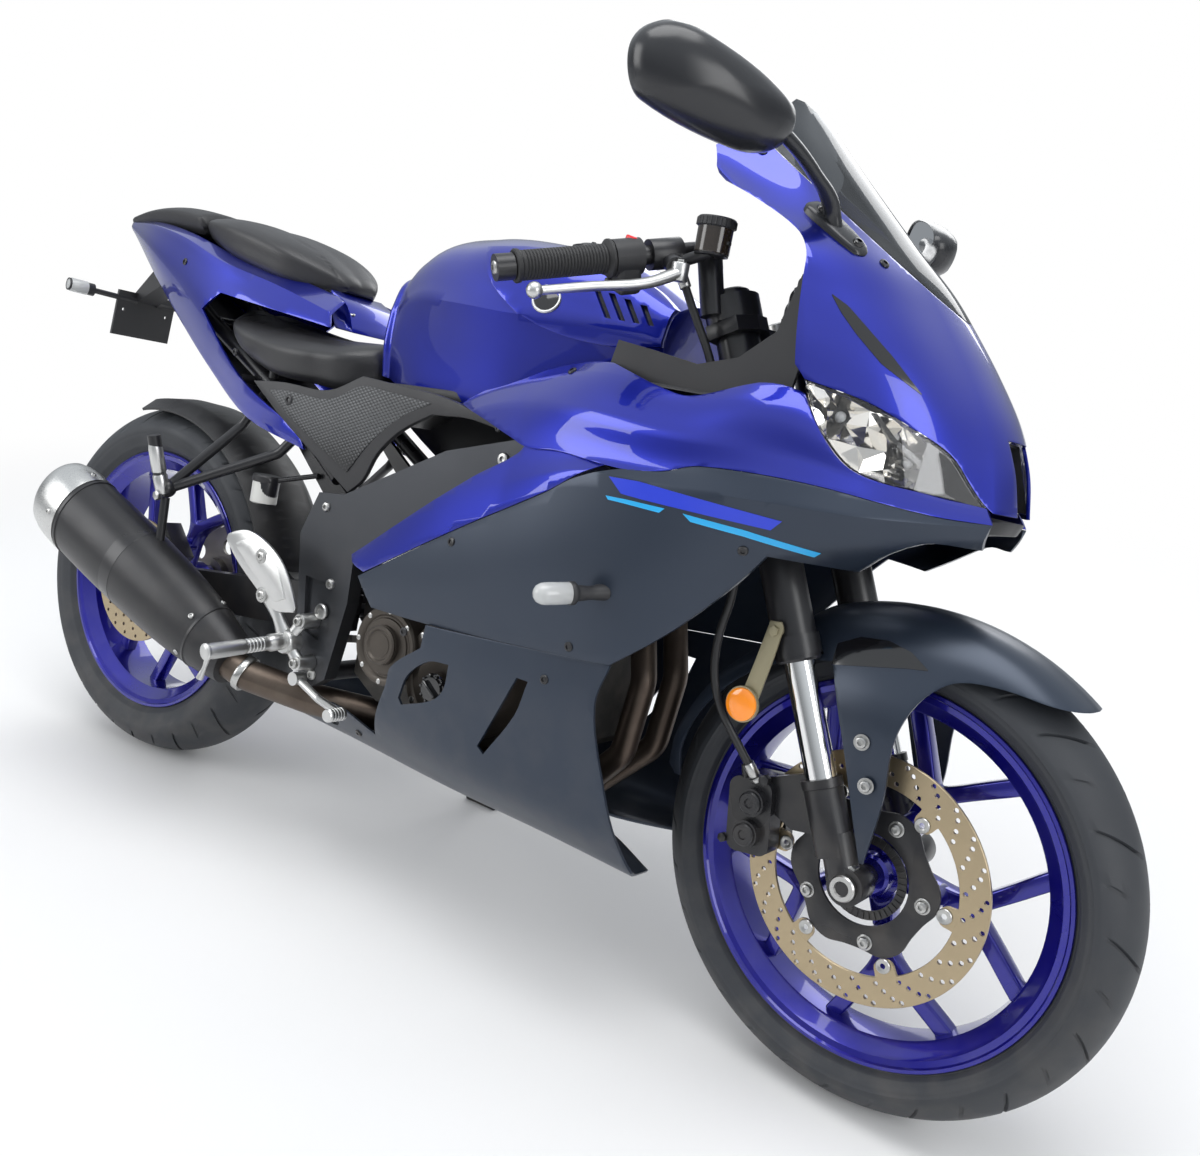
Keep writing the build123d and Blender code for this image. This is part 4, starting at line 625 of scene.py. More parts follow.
def sectionLine(points, creases, steps):
    ends = [0] + creases + [len(points) - 1]
    line = []
    for start, end in zip(ends, ends[1:]):
        part = curveThrough(points[start:end + 1], steps)
        line += part if end == ends[-1] else part[:-1]
    return line


def stationRows(stations, creases, along, across, sink=0):
    ordered = sorted(stations)
    knots = [s[0] for s in ordered]
    rows = []
    for i in range(len(knots) - 1):
        steps = along if i < len(knots) - 2 else along + 1
        for step in range(steps):
            x = knots[i] + (knots[i + 1] - knots[i]) * step / along
            points = [Vector((x, blendOf(ordered, x, 1, j, 0) - sink, blendOf(ordered, x, 1, j, 1)))
                      for j in range(len(ordered[0][1]))]
            rows.append(sectionLine(points, creases, across))
    return rows


def sheetFrom(name, rows, wall, outward=(0, 1, 0)):
    piece = fromFaces(name, [p for row in rows for p in row], gridFaces(len(rows), len(rows[0])))
    faceTowards(piece, outward)
    return apply(piece, "SOLIDIFY", thickness=wall, offset=-1, use_even_offset=True)


def cutPanel(piece, outline):
    cutWith(piece, prism("cutter", softLine(outline), 0, 300), "INTERSECT")
    fixNormals(piece, 0.02)
    return rounded(piece, 1.1, 2, 42)


sideStations = [
    (738, [(60, 738), (64, 735), (68, 731), (74, 725), (80, 716), (76, 706), (60, 692)]),
    (640, [(158, 748), (168, 744), (174, 738), (184, 726), (200, 702), (172, 668), (104, 640)]),
    (540, [(203, 828), (218, 802), (221, 752), (226, 728), (233, 698), (206, 650), (158, 608)]),
    (420, [(206, 802), (219, 788), (237, 746), (238, 708), (246, 690), (238, 590), (221, 476)]),
    (300, [(197, 820), (208, 806), (232, 752), (234, 704), (243, 688), (238, 570), (221, 458)]),
    (180, [(156, 802), (174, 786), (202, 752), (208, 702), (222, 640), (230, 540), (216, 450)]),
    (40, [(140, 746), (150, 738), (160, 718), (180, 660), (200, 600), (214, 500), (204, 440)]),
    (-100, [(130, 640), (136, 634), (146, 610), (160, 560), (176, 500), (190, 470), (186, 428)]),
]
bellyStations = [
    (455, [(222, 484), (219, 420), (206, 340), (190, 262), (158, 216), (120, 206)]),
    (300, [(220, 470), (218, 414), (208, 340), (188, 262), (140, 214), (24, 206)]),
    (100, [(214, 448), (212, 408), (200, 340), (176, 260), (126, 212), (24, 205)]),
    (-60, [(202, 436), (198, 400), (180, 336), (152, 262), (114, 215), (24, 206)]),
    (-210, [(112, 262), (112, 256), (108, 246), (100, 232), (84, 208), (24, 201)]),
    (-350, [(76, 262), (76, 256), (74, 246), (68, 232), (54, 200), (20, 192)]),
]
tailStations = [
    (-268, [(60, 846), (100, 822), (134, 720), (132, 612)]),
    (-420, [(74, 876), (110, 858), (150, 764), (128, 636)]),
    (-540, [(90, 894), (118, 880), (134, 800), (116, 700)]),
    (-660, [(90, 922), (108, 912), (112, 850), (94, 768)]),
    (-780, [(68, 938), (84, 930), (88, 893), (66, 835)]),
    (-925, [(24, 942), (33, 938), (35, 930), (26, 918)]),
]
jointGap = 0.8
lampTopSeam = [(727, 736), (713, 751), (686, 784), (648, 804), (605, 821), (545, 832)]
lampLowSeam = [(727, 736), (678, 739), (628, 743), (600, 755), (566, 791), (545, 832)]
podSeam = [(738, 719), (690, 717), (576, 725), (458, 720), (414, 706), (361, 699), (262, 703)]
bellySeam = [(388, 473), (200, 454), (96, 444), (-20, 437)]
screenSeam = [(404, 1095), (642, 936), (700, 897)]


def seam(points, side):
    return [(x, z + side * jointGap / 2) for x, z in points]


podOutline = [(20, 748), (114, 770), (232, 825), (281, 820), (317, 812), (377, 798), (419, 794), (478, 816), (534, 834)]
podOutline += seam(lampLowSeam[:-1], -1)[::-1] + seam(podSeam, 1) + [(205, 699), (172, 706), (100, 722), (22, 736)]
sideOutline = seam(podSeam[:-1], -1) + [(300, 676), (262, 652), (131, 582), (-57, 473)] + seam(bellySeam, 1)[::-1]
sideOutline += [(432, 511), (465, 545), (542, 639), (619, 640), (685, 686), (730, 690)]
stripeOutline = [(-92, 496), (118, 645), (190, 689), (204, 712), (262, 714), (352, 708), (300, 680), (262, 655),
                 (131, 585), (-52, 480), (-80, 486)]
bellyOutline = seam(bellySeam[:-1], -1) + [(93, 412), (39, 370), (28, 341), (4, 291), (-10, 252), (-94, 266),
                                          (-220, 250), (-342, 252), (-346, 215), (-334, 185), (-100, 180),
                                          (341, 180), (430, 205), (441, 222), (398, 335), (376, 422)]
oilWindow = [(54, 330), (72, 368), (110, 398), (146, 404), (140, 368), (118, 346), (60, 322)]
bellyVent = [(205, 312), (216, 304), (262, 372), (276, 420), (258, 420), (238, 376)]
standNotch = [(-380, 300), (-72, 300), (-72, 214), (-196, 214), (-236, 236), (-380, 236)]
linkRoute = [(60, -40, 246), (-60, -60, 248), (-170, -130, 254), (-262, -178, 268), (-310, -194, 284)]
tailOutline = [(-925, 946), (-640, 946), (-352, 868), (-308, 850), (-285, 806), (-340, 812), (-520, 830),
               (-562, 800), (-430, 706), (-290, 640), (-272, 618), (-412, 645), (-535, 708), (-653, 772),
               (-776, 839), (-925, 922)]

# the side surfaces are evened out along the machine, and across it from evenBack to evenFront
panelDetail = {"wall": 4, "along": 12, "across": 6, "passes": 26, "evenBack": 120, "evenFront": 250}


def calmed(rows):
    fullBelow, noneAbove = panelDetail["evenBack"], panelDetail["evenFront"]
    for _ in range(panelDetail["passes"]):
        fresh = [[p.copy() for p in row] for row in rows]
        for i in range(1, len(rows) - 1):
            x = rows[i][0].x
            blend = min(max((noneAbove - x) / (noneAbove - fullBelow), 0), 1)
            for j in range(len(rows[0])):
                before, here, after = rows[i - 1][j], rows[i][j], rows[i + 1][j]
                fresh[i][j].y = here.y * 0.5 + (before.y + after.y) * 0.25
                fresh[i][j].z = here.z * 0.5 + (before.z + after.z) * 0.25
                if blend > 0 and 0 < j < len(rows[0]) - 1:
                    beside = rows[i][j - 1].y + rows[i][j + 1].y
                    fresh[i][j].y = fresh[i][j].y * (1 - blend / 2) + beside * blend / 4
        rows = fresh
    return rows


def panelRows(stations, creases, sink=0):
    rows = stationRows(stations, creases, panelDetail["along"], panelDetail["across"], sink)
    return calmed(rows) if stations is sideStations else rows


def sidePanel(name, stations, creases, outline, sink=0):
    sheet = sheetFrom(name, panelRows(stations, creases, sink), panelDetail["wall"])
    return cutPanel(sheet, outline)


def buildSidePanels():
    behind = panelDetail["wall"] + jointGap / 2
    for label, outline, sink, paint, slot, replaced in (
            ("upperPods", podOutline, 0, "cobaltPaint", "blue_gloss", ("upper_fairings",)),
            ("rearStripes", stripeOutline, behind, "cobaltPaint", "blue_gloss", ()),
            ("sideFairings", sideOutline, 0, "satinSlate", "panel_grey", ("side_fairings",))):
        both = joined(label, leftToo(sidePanel("panel", sideStations, [2, 4], outline, sink)))
        finishPiece(both, "chassis", finish[paint], replaced, 30)
    print("side panels made")


def buildBelly():
    belly = sidePanel("bellyLeft", bellyStations, [], bellyOutline)
    for outline in (oilWindow, bellyVent):
        cutWith(belly, prism("cutter", softLine(outline, 4, 40), 100, 300))
    right = copied(belly, mirrorSide)
    cutWith(right, tube("cutter", linkRoute, 30))
    cutWith(belly, prism("cutter", standNotch, 60, 300))
    both = joined("bellyFairings", [belly, right])
    finishPiece(both, "chassis", finish["satinSlate"], ("belly_fairings",), 30)
    print("belly made")


def buildTailPanels():
    tail = sidePanel("tailSide", tailStations, [1], tailOutline)
    pair = leftToo(tail)
    bridgeLine = [(-352, 868), (-310, 846), (-288, 806), (-330, 809), (-356, 850)]
    bridge = prism("tailBridge", softLine(bridgeLine, 4, 40), -56, 56)
    rounded(bridge, 2, 2, 30)
    both = joined("tailSides", pair + [bridge])
    finishPiece(both, "chassis", finish["cobaltPaint"], ("tail_panels",), 30)
    print("tail sides made")


buildSidePanels()
buildBelly()
buildTailPanels()

# nose: levels from the screen's top to the lamps, each a height, the front's x, then shoulder, bulge and
# rear as (x, half width)
noseLevels = [
    (1168, 400, (398, 34), (396, 48), (390, 60)),
    (1120, 448, (437, 54), (420, 94), (390, 126)),
    (1078, 492, (480, 60), (445, 116), (356, 172)),
    (1020, 554, (541, 62), (506, 122), (420, 198)),
    (968, 612, (599, 62), (566, 130), (490, 210)),
    (930, 646, (632, 62), (594, 134), (505, 216)),
    (884, 684, (668, 62), (626, 136), (518, 219)),
    (830, 722, (704, 62), (655, 132), (522, 222)),
    (785, 743, (722, 62), (668, 130), (524, 226)),
    (732, 754, (737, 62), (684, 126), (526, 230)),
]
cowlOutline = [(358, 1080), (378, 1113)] + seam(screenSeam, -1) + [(800, 860), (800, 728), (742, 728)]
cowlOutline += seam(lampTopSeam, 1) + [(533, 846), (516, 938), (508, 968), (486, 992), (432, 1020), (383, 1039)]
screenOutline = [(380, 1114)] + seam(screenSeam, 1) + [(700, 1200), (380, 1200)]
lampOutline = seam(lampTopSeam, -1) + seam(lampLowSeam[1:-1], 1)[::-1]
noseDetail = {"levels": 84, "wall": 4, "ridge": 6}


def noseRows():
    ordered = sorted(noseLevels)
    lowest, highest = ordered[0][0], ordered[-1][0]
    rows = []
    count, ridge = noseDetail["levels"], noseDetail["ridge"]
    for i in range(count + 1):
        z = lowest + (highest - lowest) * i / count
        centre = blendOf(ordered, z, 1)
        shoulder, bulge, rear = (Vector((blendOf(ordered, z, part, 0), blendOf(ordered, z, part, 1), z))
                                 for part in (2, 3, 4))
        front = [Vector((centre - (centre - shoulder.x) * (k / ridge) ** 2, shoulder.y * k / ridge, z))
                 for k in range(ridge)]
        rows.append(wholeRow(front + curveThrough([shoulder, bulge, rear], 14)))
    return rows


def slitCutter(side):
    # long lens-shaped recess on the cowl's flank
    spine = [Vector(p) for p in ((545, -193, 922), (580, -182, 896), (613, -165, 869), (650, -141, 839))]
    widths = [Vector((w, 0, 0)) for w in (0.6, 6.5, 6.0, 0.5)]
    out = Vector((0.62, -0.7, 0.34)).normalized()
    across = out.cross((spine[-1] - spine[0]).normalized()).normalized()
    points = []
    for place, width in zip(curveThrough(spine, 5), curveThrough(widths, 5)):
        for shift in (across * width.x, -across * width.x):
            points += [place + shift + out * 8, place + shift - out * 2.6]
    faces = []
    rows = len(points) // 4
    for i in range(rows - 1):
        a = i * 4
        b = a + 4
        faces += [(a, a + 2, b + 2, b), (a + 1, b + 1, b + 3, a + 3), (a, b, b + 1, a + 1),
                  (a + 2, a + 3, b + 3, b + 2)]
    last = (rows - 1) * 4
    faces += [(0, 1, 3, 2), (last, last + 2, last + 3, last + 1)]
    if side > 0:
        points = [Vector((p.x, -p.y, p.z)) for p in points]
    return fixNormals(fromFaces("cutter", points, faces))


def noseSheet(name, rows, wall, outline):
    sheet = sheetFrom(name, rows, wall, (1, 0, 0))
    return cutWith(sheet, prism("cutter", softLine(outline, 5, 30), -260, 260), "INTERSECT")


def buildNose():
    rows = noseRows()
    wall = noseDetail["wall"]
    cowl = noseSheet("noseCowl", rows, wall, cowlOutline)
    mouth = prism("cutter", [(640, 700), (640, 806), (712, 812), (800, 815), (800, 700)], -38, 38)
    for corner in mouth.data.vertices:
        corner.co.y *= 1.05 if corner.co.z > 750 else 0.66
    cutWith(cowl, mouth)
    for side in (-1, 1):
        cutWith(cowl, slitCutter(side))
    fixNormals(cowl, 0.02)
    rounded(cowl, 1.1, 2, 42)
    finishPiece(cowl, "chassis", finish["cobaltPaint"], ("nose_cowl",), 28)
    for name, thin, outline, edge, look, slot, replaced in (
            ("windScreen", wall - 1, screenOutline, 0.8, "smokedScreen", "screen_smoke", "windscreen"),
            ("lampLenses", wall - 2, lampOutline, 0.5, "clearLens", "lens_clear", "headlamps")):
        glass = noseSheet(name, rows, thin, outline)
        rounded(fixNormals(glass, 0.02), edge, 2, 42)
        finishPiece(glass, "chassis", finish[look], (replaced,), 28)
    print("nose made")


buildNose()


# more forms
def closedLoft(name, rows):
    count = len(rows[0])
    points = [p for row in rows for p in row]
    faces = gridFaces(len(rows), count, True)
    faces.append(tuple(range(count)))
    faces.append(tuple(reversed(range((len(rows) - 1) * count, len(rows) * count))))
    return fixNormals(fromFaces(name, points, faces), 0.005)


def limb(name, points, sizes, sides=20, steps=8, flat=(0, 0, 1)):
    # smooth bar through the points, its oval section changing on the way
    spots = curveThrough([Vector(p) for p in points], steps)
    rows = []
    for i, spot in enumerate(spots):
        ahead = (spots[min(i + 1, len(spots) - 1)] - spots[max(i - 1, 0)]).normalized()
        side = ahead.cross(Vector(flat)).normalized()
        up = side.cross(ahead)
        part = min(i // steps, len(sizes) - 2)
        t = i / steps - part
        t = t * t * (3 - 2 * t)
        wide = sizes[part][0] * (1 - t) + sizes[part + 1][0] * t
        tall = sizes[part][1] * (1 - t) + sizes[part + 1][1] * t
        rows.append([spot + side * wide * math.cos(math.tau * k / sides) + up * tall * math.sin(math.tau * k / sides)
                     for k in range(sides)])
    return closedLoft(name, rows)


def rod(name, start, end, radius, far=None, sides=24, soft=1.0):
    start, end = Vector(start), Vector(end)
    far = radius if far is None else far
    length = (end - start).length
    line = [(0.02, 0), (radius - soft, 0), (radius - soft * 0.3, soft * 0.3), (radius, soft), (far, length - soft),
            (far - soft * 0.3, length - soft * 0.3), (far - soft, length), (0.02, length)]
    return lathe(name, line, sides, start, end - start, closed=False)


def ball(name, centre, radius, sides=24):
    bpy.ops.mesh.primitive_uv_sphere_add(segments=sides, ring_count=sides // 2, radius=radius, location=centre)
    return settle(newPiece(name))


def surfaceOf(piece, spent=True):
    # the piece's surface for finding places on it; a spent piece is thrown away
    surface = BVHTree.FromPolygons([v.co.copy() for v in piece.data.vertices],
                                   [tuple(p.vertices) for p in piece.data.polygons])
    if spent:
        bpy.data.objects.remove(piece)
    return surface


def spotOn(surface, x, z, side):
    # place and outward normal where a crosswise line at x, z meets one side
    place, normal = surface.ray_cast(Vector((x, side * 500, z)), Vector((0, -side, 0)))[:2]
    if place is None:
        place, normal = surface.find_nearest(Vector((x, side * 160, z)))[:2]
    return place, -normal if normal.y * side < 0 else normal


def alongLine(line, share):
    reach = [0.0]
    for a, b in zip(line, line[1:]):
        reach.append(reach[-1] + math.dist(a, b))
    target = share * reach[-1]
    for i in range(len(line) - 1):
        if target <= reach[i + 1] or i == len(line) - 2:
            t = (target - reach[i]) / max(reach[i + 1] - reach[i], 0.0001)
            return tuple(p * (1 - t) + q * t for p, q in zip(line[i], line[i + 1]))


def wrapped(name, surface, topLine, lowLine, side, lift, columns=40, rows=6, wall=0.5):
    # thin patch that lies on a surface between two lines
    points = []
    for i in range(columns + 1):
        high, low = alongLine(topLine, i / columns), alongLine(lowLine, i / columns)
        for j in range(rows + 1):
            t = j / rows
            x, z = high[0] * (1 - t) + low[0] * t, high[1] * (1 - t) + low[1] * t
            place, normal = spotOn(surface, x, z, side)
            points.append(place + normal * lift)
    piece = faceTowards(fromFaces(name, points, gridFaces(columns + 1, rows + 1)), (0, side, 0))
    return apply(piece, "SOLIDIFY", thickness=wall, offset=-1)


def button(name, centre, direction, radius, height, bore):
    line = [(bore, 0), (radius, 0), (radius, height * 0.6), (radius - 0.8, height), (bore + 1.6, height),
            (bore + 0.6, height * 0.7), (bore, height * 0.7)]
    return lathe(name, line, 24, centre, direction)


def roundBolt(name, centre, direction, radius, height):
    # domed head with a socket
    line = [(0.02, -1), (radius, -1), (radius, height * 0.45), (radius * 0.86, height * 0.85), (radius * 0.6, height),
            (radius * 0.46, height), (radius * 0.44, height * 0.4), (0.02, height * 0.35)]
    return lathe(name, line, 18, centre, direction, closed=False)


def hexBolt(name, centre, direction, radius, height):
    bpy.ops.mesh.primitive_cylinder_add(vertices=6, radius=radius, depth=height)
    head = newPiece(name)
    head.matrix_world = Matrix.Translation(Vector(centre) + Vector(direction).normalized() * height / 2) \
        @ rotationTo(direction)
    settle(head)
    return rounded(head, radius * 0.1, 2, 30)


def screwOn(surface, x, z, side, radius, height):
    place, normal = spotOn(surface, x, z, side)
    return roundBolt("screw", place, normal, radius, height)


def yAxisPlace(centre, angle):
    return Matrix.Translation(centre) @ Matrix.Rotation(math.radians(-angle), 4, "Y")


def besideBoth(make):
    return [make(-1), make(1)]


def mirroredTo(vector, side):
    return Vector((vector.x, vector.y * side, vector.z))


forkFoot = Vector((655.56, 0, 276.94))
forkUp = Vector((-0.422618, 0, 0.906308))
forkAhead = Vector((0.906308, 0, 0.422618))


def forkPoint(ahead, left, along):
    return forkFoot + forkAhead * ahead + Vector((0, left, 0)) + forkUp * along


barRoot = Vector((360, 124, 974))
barOut = Vector((-66, 115, -38)).normalized()


def barPoint(along):
    return barRoot + barOut * along


# tyres: round tread with swept slots cut into it
tyreSizes = {
    "front": {"centre": frontAxle, "radius": 293, "width": 112, "drop": 36, "rimHalf": 41, "repeats": 15,
              "sweep": 9.5, "body": "front_wheel", "node": "front_tyre"},
    "rear": {"centre": rearAxle, "radius": 314, "width": 142, "drop": 42, "rimHalf": 57, "repeats": 15, "sweep": 11,
             "body": "rear_wheel", "node": "rear_tyre"},
}
treadDetail = {"depth": 4.2, "halfSlot": 0.62, "flange": 231, "acrossTread": 34}


def arcPoints(a, b, c, steps):
    # points on the circle through a, b and c, as (radius, y)
    (ax, ay), (bx, by), (cx, cy) = a, b, c
    d = 2 * (ax * (by - cy) + bx * (cy - ay) + cx * (ay - by))
    aa, bb, cc = ax * ax + ay * ay, bx * bx + by * by, cx * cx + cy * cy
    ux = (aa * (by - cy) + bb * (cy - ay) + cc * (ay - by)) / d
    uy = (aa * (cx - bx) + bb * (ax - cx) + cc * (bx - ax)) / d
    start = math.atan2(ay - uy, ax - ux)
    reach = math.hypot(ax - ux, ay - uy)
    span = math.atan2(cy - uy, cx - ux) - start
    while span > math.pi:
        span -= 2 * math.pi
    while span < -math.pi:
        span += 2 * math.pi
    return [(ux + reach * math.cos(start + span * i / steps), uy + reach * math.sin(start + span * i / steps))
            for i in range(steps + 1)]


def buildTyre(kind):
    size = tyreSizes[kind]
    radius, half = size["radius"], size["width"] / 2
    shoulder = radius - size["drop"]
    flange = treadDetail["flange"]
    beadY = size["rimHalf"] - 4.3
    foot = (flange + 2.5, beadY + 2)
    wallMid = ((foot[0] + shoulder) / 2 - 2, (foot[1] + half) / 2 + 4)
    wall = arcPoints(foot, wallMid, (shoulder, half), 14)
    for i, lift in ((3, 0.9), (4, 0.9), (9, 0.5), (12, 0.8)):
        wall[i] = (wall[i][0], wall[i][1] + lift)
    tread = arcPoints((shoulder, half), (radius, 0), (shoulder, -half), treadDetail["acrossTread"])
    seat = [(flange - 10.5, size["rimHalf"] - 7.4), (flange - 24, size["rimHalf"] - 24)]
    outer = wall[:-1] + tread + [(r, -y) for r, y in reversed(wall[:-1])]
    profile = outer + [(r, -y) for r, y in seat] + [(r, y) for r, y in reversed(seat)]
    pitch = 360 / size["repeats"]
    edge = treadDetail["halfSlot"]
    columns = []
    for number in range(size["repeats"]):
        for family in (0, 1):
            start = number * pitch + family * pitch / 2
            columns += [(start - edge, None), (start - edge * 0.7, family), (start + edge * 0.7, family),
                        (start + edge, None)]
            gap = pitch / 2 - 2 * edge
            columns += [(start + edge + gap * k / 4, None) for k in (1, 2, 3)]
    points = []
    for angle, family in columns:
        for r, y in profile:
            share = y / half
            onTread = r > shoulder - 1
            turn = angle + (size["sweep"] * abs(share) ** 1.4 if onTread else size["sweep"])
            depth = 0
            if family is not None and onTread:
                side = share if family else -share
                if 0.10 < side < 0.93:
                    depth = treadDetail["depth"] * min(1, (side - 0.10) / 0.1, (0.93 - side) / 0.08)
                elif -0.95 < side < -0.62:
                    depth = treadDetail["depth"] * 0.6 * min(1, (side + 0.95) / 0.08, (-0.62 - side) / 0.08)
            points.append(size["centre"] + ringSpot(r - depth, math.radians(turn), y))
    count = len(profile)
    total = len(columns)
    faces = []
    for i in range(total):
        near, far = i * count, (i + 1) % total * count
        faces += [(near + j, near + (j + 1) % count, far + (j + 1) % count, far + j) for j in range(count)]
    piece = fixNormals(fromFaces(kind + "Tyre", points, faces), 0.001)
    finishPiece(piece, size["body"], finish["tyreRubber"], (size["node"],), 40)


buildTyre("front")
buildTyre("rear")
print("tyres made")


# wheels: a turned barrel, a hub and five forked spokes
wheelSizes = {
    "front": {"centre": frontAxle, "half": 41, "hub": 50, "line": -60.5, "body": "front_wheel", "node": "front_rim"},
    "rear": {"centre": rearAxle, "half": 57, "hub": 66, "line": -84, "body": "rear_wheel", "node": "rear_rim"},
}
spokeDetail = {"count": 5, "first": 69.3, "deep": 15, "thin": 10.5, "round": 3.2, "bossReach": 75}


def spokeAngle(number):
    return spokeDetail["first"] - number * 360 / spokeDetail["count"]


def buildSpoke():
    half = [(26, 17), (60, 13), (92, 11.5), (112, 17.5), (140, 41), (179, 78), (203, 96), (210, 78), (191, 61),
            (158, 31), (133, 9)]
    outline = half + [(124, 0)] + [(x, -z) for x, z in reversed(half)]
    spoke = prism("spoke", softLine(outline, 4, 55), -1, 1)
    for corner in spoke.data.vertices:
        out = math.hypot(corner.co.x, corner.co.z)
        share = min(max((out - 30) / 160, 0), 1)
        corner.co.y *= spokeDetail["deep"] * (1 - share) + spokeDetail["thin"] * share
    return rounded(spoke, spokeDetail["round"], 3, 50)


def buildWheel(kind):
    size = wheelSizes[kind]
    half, hub = size["half"], size["hub"]
    flange = treadDetail["flange"]
    outer = [(flange - 1, half), (flange, half - 1.2), (flange, half - 3), (flange - 1.5, half - 4.2),
             (flange - 9, half - 5.5), (flange - 12, half - 9), (flange - 14, half - 15), (flange - 25, half - 24)]
    inner = [(flange - 5, half), (flange - 7, half - 2.5), (flange - 14, half - 4), (flange - 18, half - 8),
             (flange - 29, half - 16), (flange - 32, half - 19)]
    profile = outer + [(r, -y) for r, y in reversed(outer)] + [(r, -y) for r, y in inner] + [(flange - 34.5, 0)]
    profile += [(r, y) for r, y in reversed(inner)]
    barrel = lathe("barrel", [(r, -y) for r, y in profile], 120, (0, 0, 0), (0, -1, 0))
    hubLine = [(10, hub), (22, hub), (26, hub - 3), (27, hub - 14), (33, hub - 20), (33, -hub + 20), (27, -hub + 14),
               (26, -hub + 3), (22, -hub), (10, -hub)]
    core = lathe("core", hubLine, 48, (0, 0, 0), (0, 1, 0))
    parts = [barrel, core]
    spoke = buildSpoke()
    for number in range(spokeDetail["count"]):
        angle = spokeAngle(number)
        parts.append(copied(spoke, yAxisPlace((0, 0, 0), angle)))
        spot = ringSpot(spokeDetail["bossReach"], math.radians(angle))
        reach = abs(size["line"]) - 2.6
        boss = disc("boss", spot - Vector((0, reach / 2, 0)), (0, -1, 0), 12.5, reach, 20, 0.84)
        parts.append(rounded(boss, 1, 2, 40))
    bpy.data.objects.remove(spoke)
    wheel = joined(kind + "Wheel", parts)
    wheel.data.transform(Matrix.Translation(size["centre"]))
    finishPiece(wheel, size["body"], finish["wheelPaint"], (size["node"],), 32)


buildWheel("front")
buildWheel("rear")
print("wheels made")


# brake discs with drilled rings, round buttons and a dark carrier
discDetail = {"thick": 4.5, "front": (149, 114), "rear": (110, 64), "lugs": 6, "lugAngle": 57.7, "hole": 3.1}


def drilledRing(name, outer, inner, rings, perRing):
    half = discDetail["thick"] / 2
    body = lathe(name, [(outer, half - 0.5), (outer - 0.5, half), (inner + 0.5, half), (inner, half - 0.5),
                        (inner, -half + 0.5), (inner + 0.5, -half), (outer - 0.5, -half), (outer, -half + 0.5)],
                 120, (0, 0, 0), (0, -1, 0))
    drills = []
    for number in range(perRing):
        for k, share in enumerate(rings):
            angle = math.radians(360 / perRing * (number + k * 0.28))
            reach = inner + (outer - inner) * share
            drills.append(disc("drill", ringSpot(reach, angle), (0, -1, 0), discDetail["hole"], 12, 10))
    return cutWith(body, joined("drills", drills))


def buildFrontDisc():
    line = wheelSizes["front"]["line"]
    ring = drilledRing("frontDiscRing", *discDetail["front"], (0.2, 0.45, 0.7, 0.86), 26)
    lugLine = [(118, 17), (112, 13), (99, 11), (93, 0), (99, -11), (112, -13), (118, -17)]
    lugs = []
    buttons = []
    for number in range(discDetail["lugs"]):
        angle = discDetail["lugAngle"] - number * 360 / discDetail["lugs"]
        lug = prism("lug", softLine(lugLine, 3, 60), -2.1, 2.1)
        cutWith(lug, disc("bore", (101, 0, 0), (0, 1, 0), 6.4, 12, 20))
        lug.data.transform(yAxisPlace((0, 0, 0), angle))
        lugs.append(lug)
        spot = yAxisPlace(frontAxle, angle) @ Vector((101, line - 2.4, 0))
        buttons.append(button("button", spot, (0, -1, 0), 9, 2.2, 3.4))
    full = joined("frontDisc", [ring] + lugs)
    full.data.transform(Matrix.Translation(frontAxle + Vector((0, line, 0))))
    finishPiece(full, "front_wheel", finish["groundDisc"], ("front_disc",), 35)
    finishPiece(joined("frontDiscButtons", buttons), "front_wheel", finish["plainSteel"])
    star = []
    for number in range(24):
        wave = 92 if number % 4 in (0, 1) else 84
        angle = math.radians(number * 15 - 3)
        star.append((wave * math.cos(angle), wave * math.sin(angle)))
    carrier = prism("discCarrier", softLine(star, 4, 80), -2.2, 2.2)
    cutWith(carrier, disc("bore", (0, 0, 0), (0, 1, 0), 56, 20, 48))
    rounded(carrier, 0.6, 2, 40)
    carrier.data.transform(Matrix.Translation(frontAxle + Vector((0, line, 0))))
    finishPiece(carrier, "front_wheel", finish["satinBlack"])
    bolts = []
    for number in range(spokeDetail["count"]):
        spot = yAxisPlace(frontAxle, spokeAngle(number)) @ Vector((spokeDetail["bossReach"], line - 2.4, 0))
        bolts.append(button("washer", spot, (0, -1, 0), 9.4, 1.4, 3))
        bolts.append(roundBolt("bolt", spot + Vector((0, -1.2, 0)), (0, -1, 0), 7.2, 5))
    finishPiece(joined("discBolts", bolts), "front_wheel", finish["plainSteel"])
    teeth = [lathe("toneBase", [(40, 0), (51, 0), (51, 1.6), (40, 1.6)], 48, frontAxle + Vector((0, -54, 0)),
                   (0, -1, 0))]
    for number in range(40):
        tooth = block("tooth", (46, 0, 0), (9, 1.6, 3.2))
        tooth.data.transform(yAxisPlace(frontAxle + Vector((0, -56.2, 0)), number * 9))
        teeth.append(tooth)
    finishPiece(joined("toneRing", teeth), "front_wheel", finish["satinBlack"])
    print("front disc made")


def buildRearDisc():
    line = wheelSizes["rear"]["line"]
    ring = drilledRing("rearDisc", *discDetail["rear"], (0.25, 0.55, 0.82), 20)
    ring.data.transform(Matrix.Translation(rearAxle + Vector((0, line, 0))))
    finishPiece(ring, "rear_wheel", finish["groundDisc"], ("rear_disc",), 35)
    bolts = []
    for number in range(spokeDetail["count"]):
        spot = yAxisPlace(rearAxle, spokeAngle(number)) @ Vector((spokeDetail["bossReach"], line - 2.4, 0))
        bolts.append(roundBolt("bolt", spot, (0, -1, 0), 7, 4.6))
    finishPiece(joined("rearDiscBolts", bolts), "rear_wheel", finish["plainSteel"])


buildFrontDisc()
buildRearDisc()


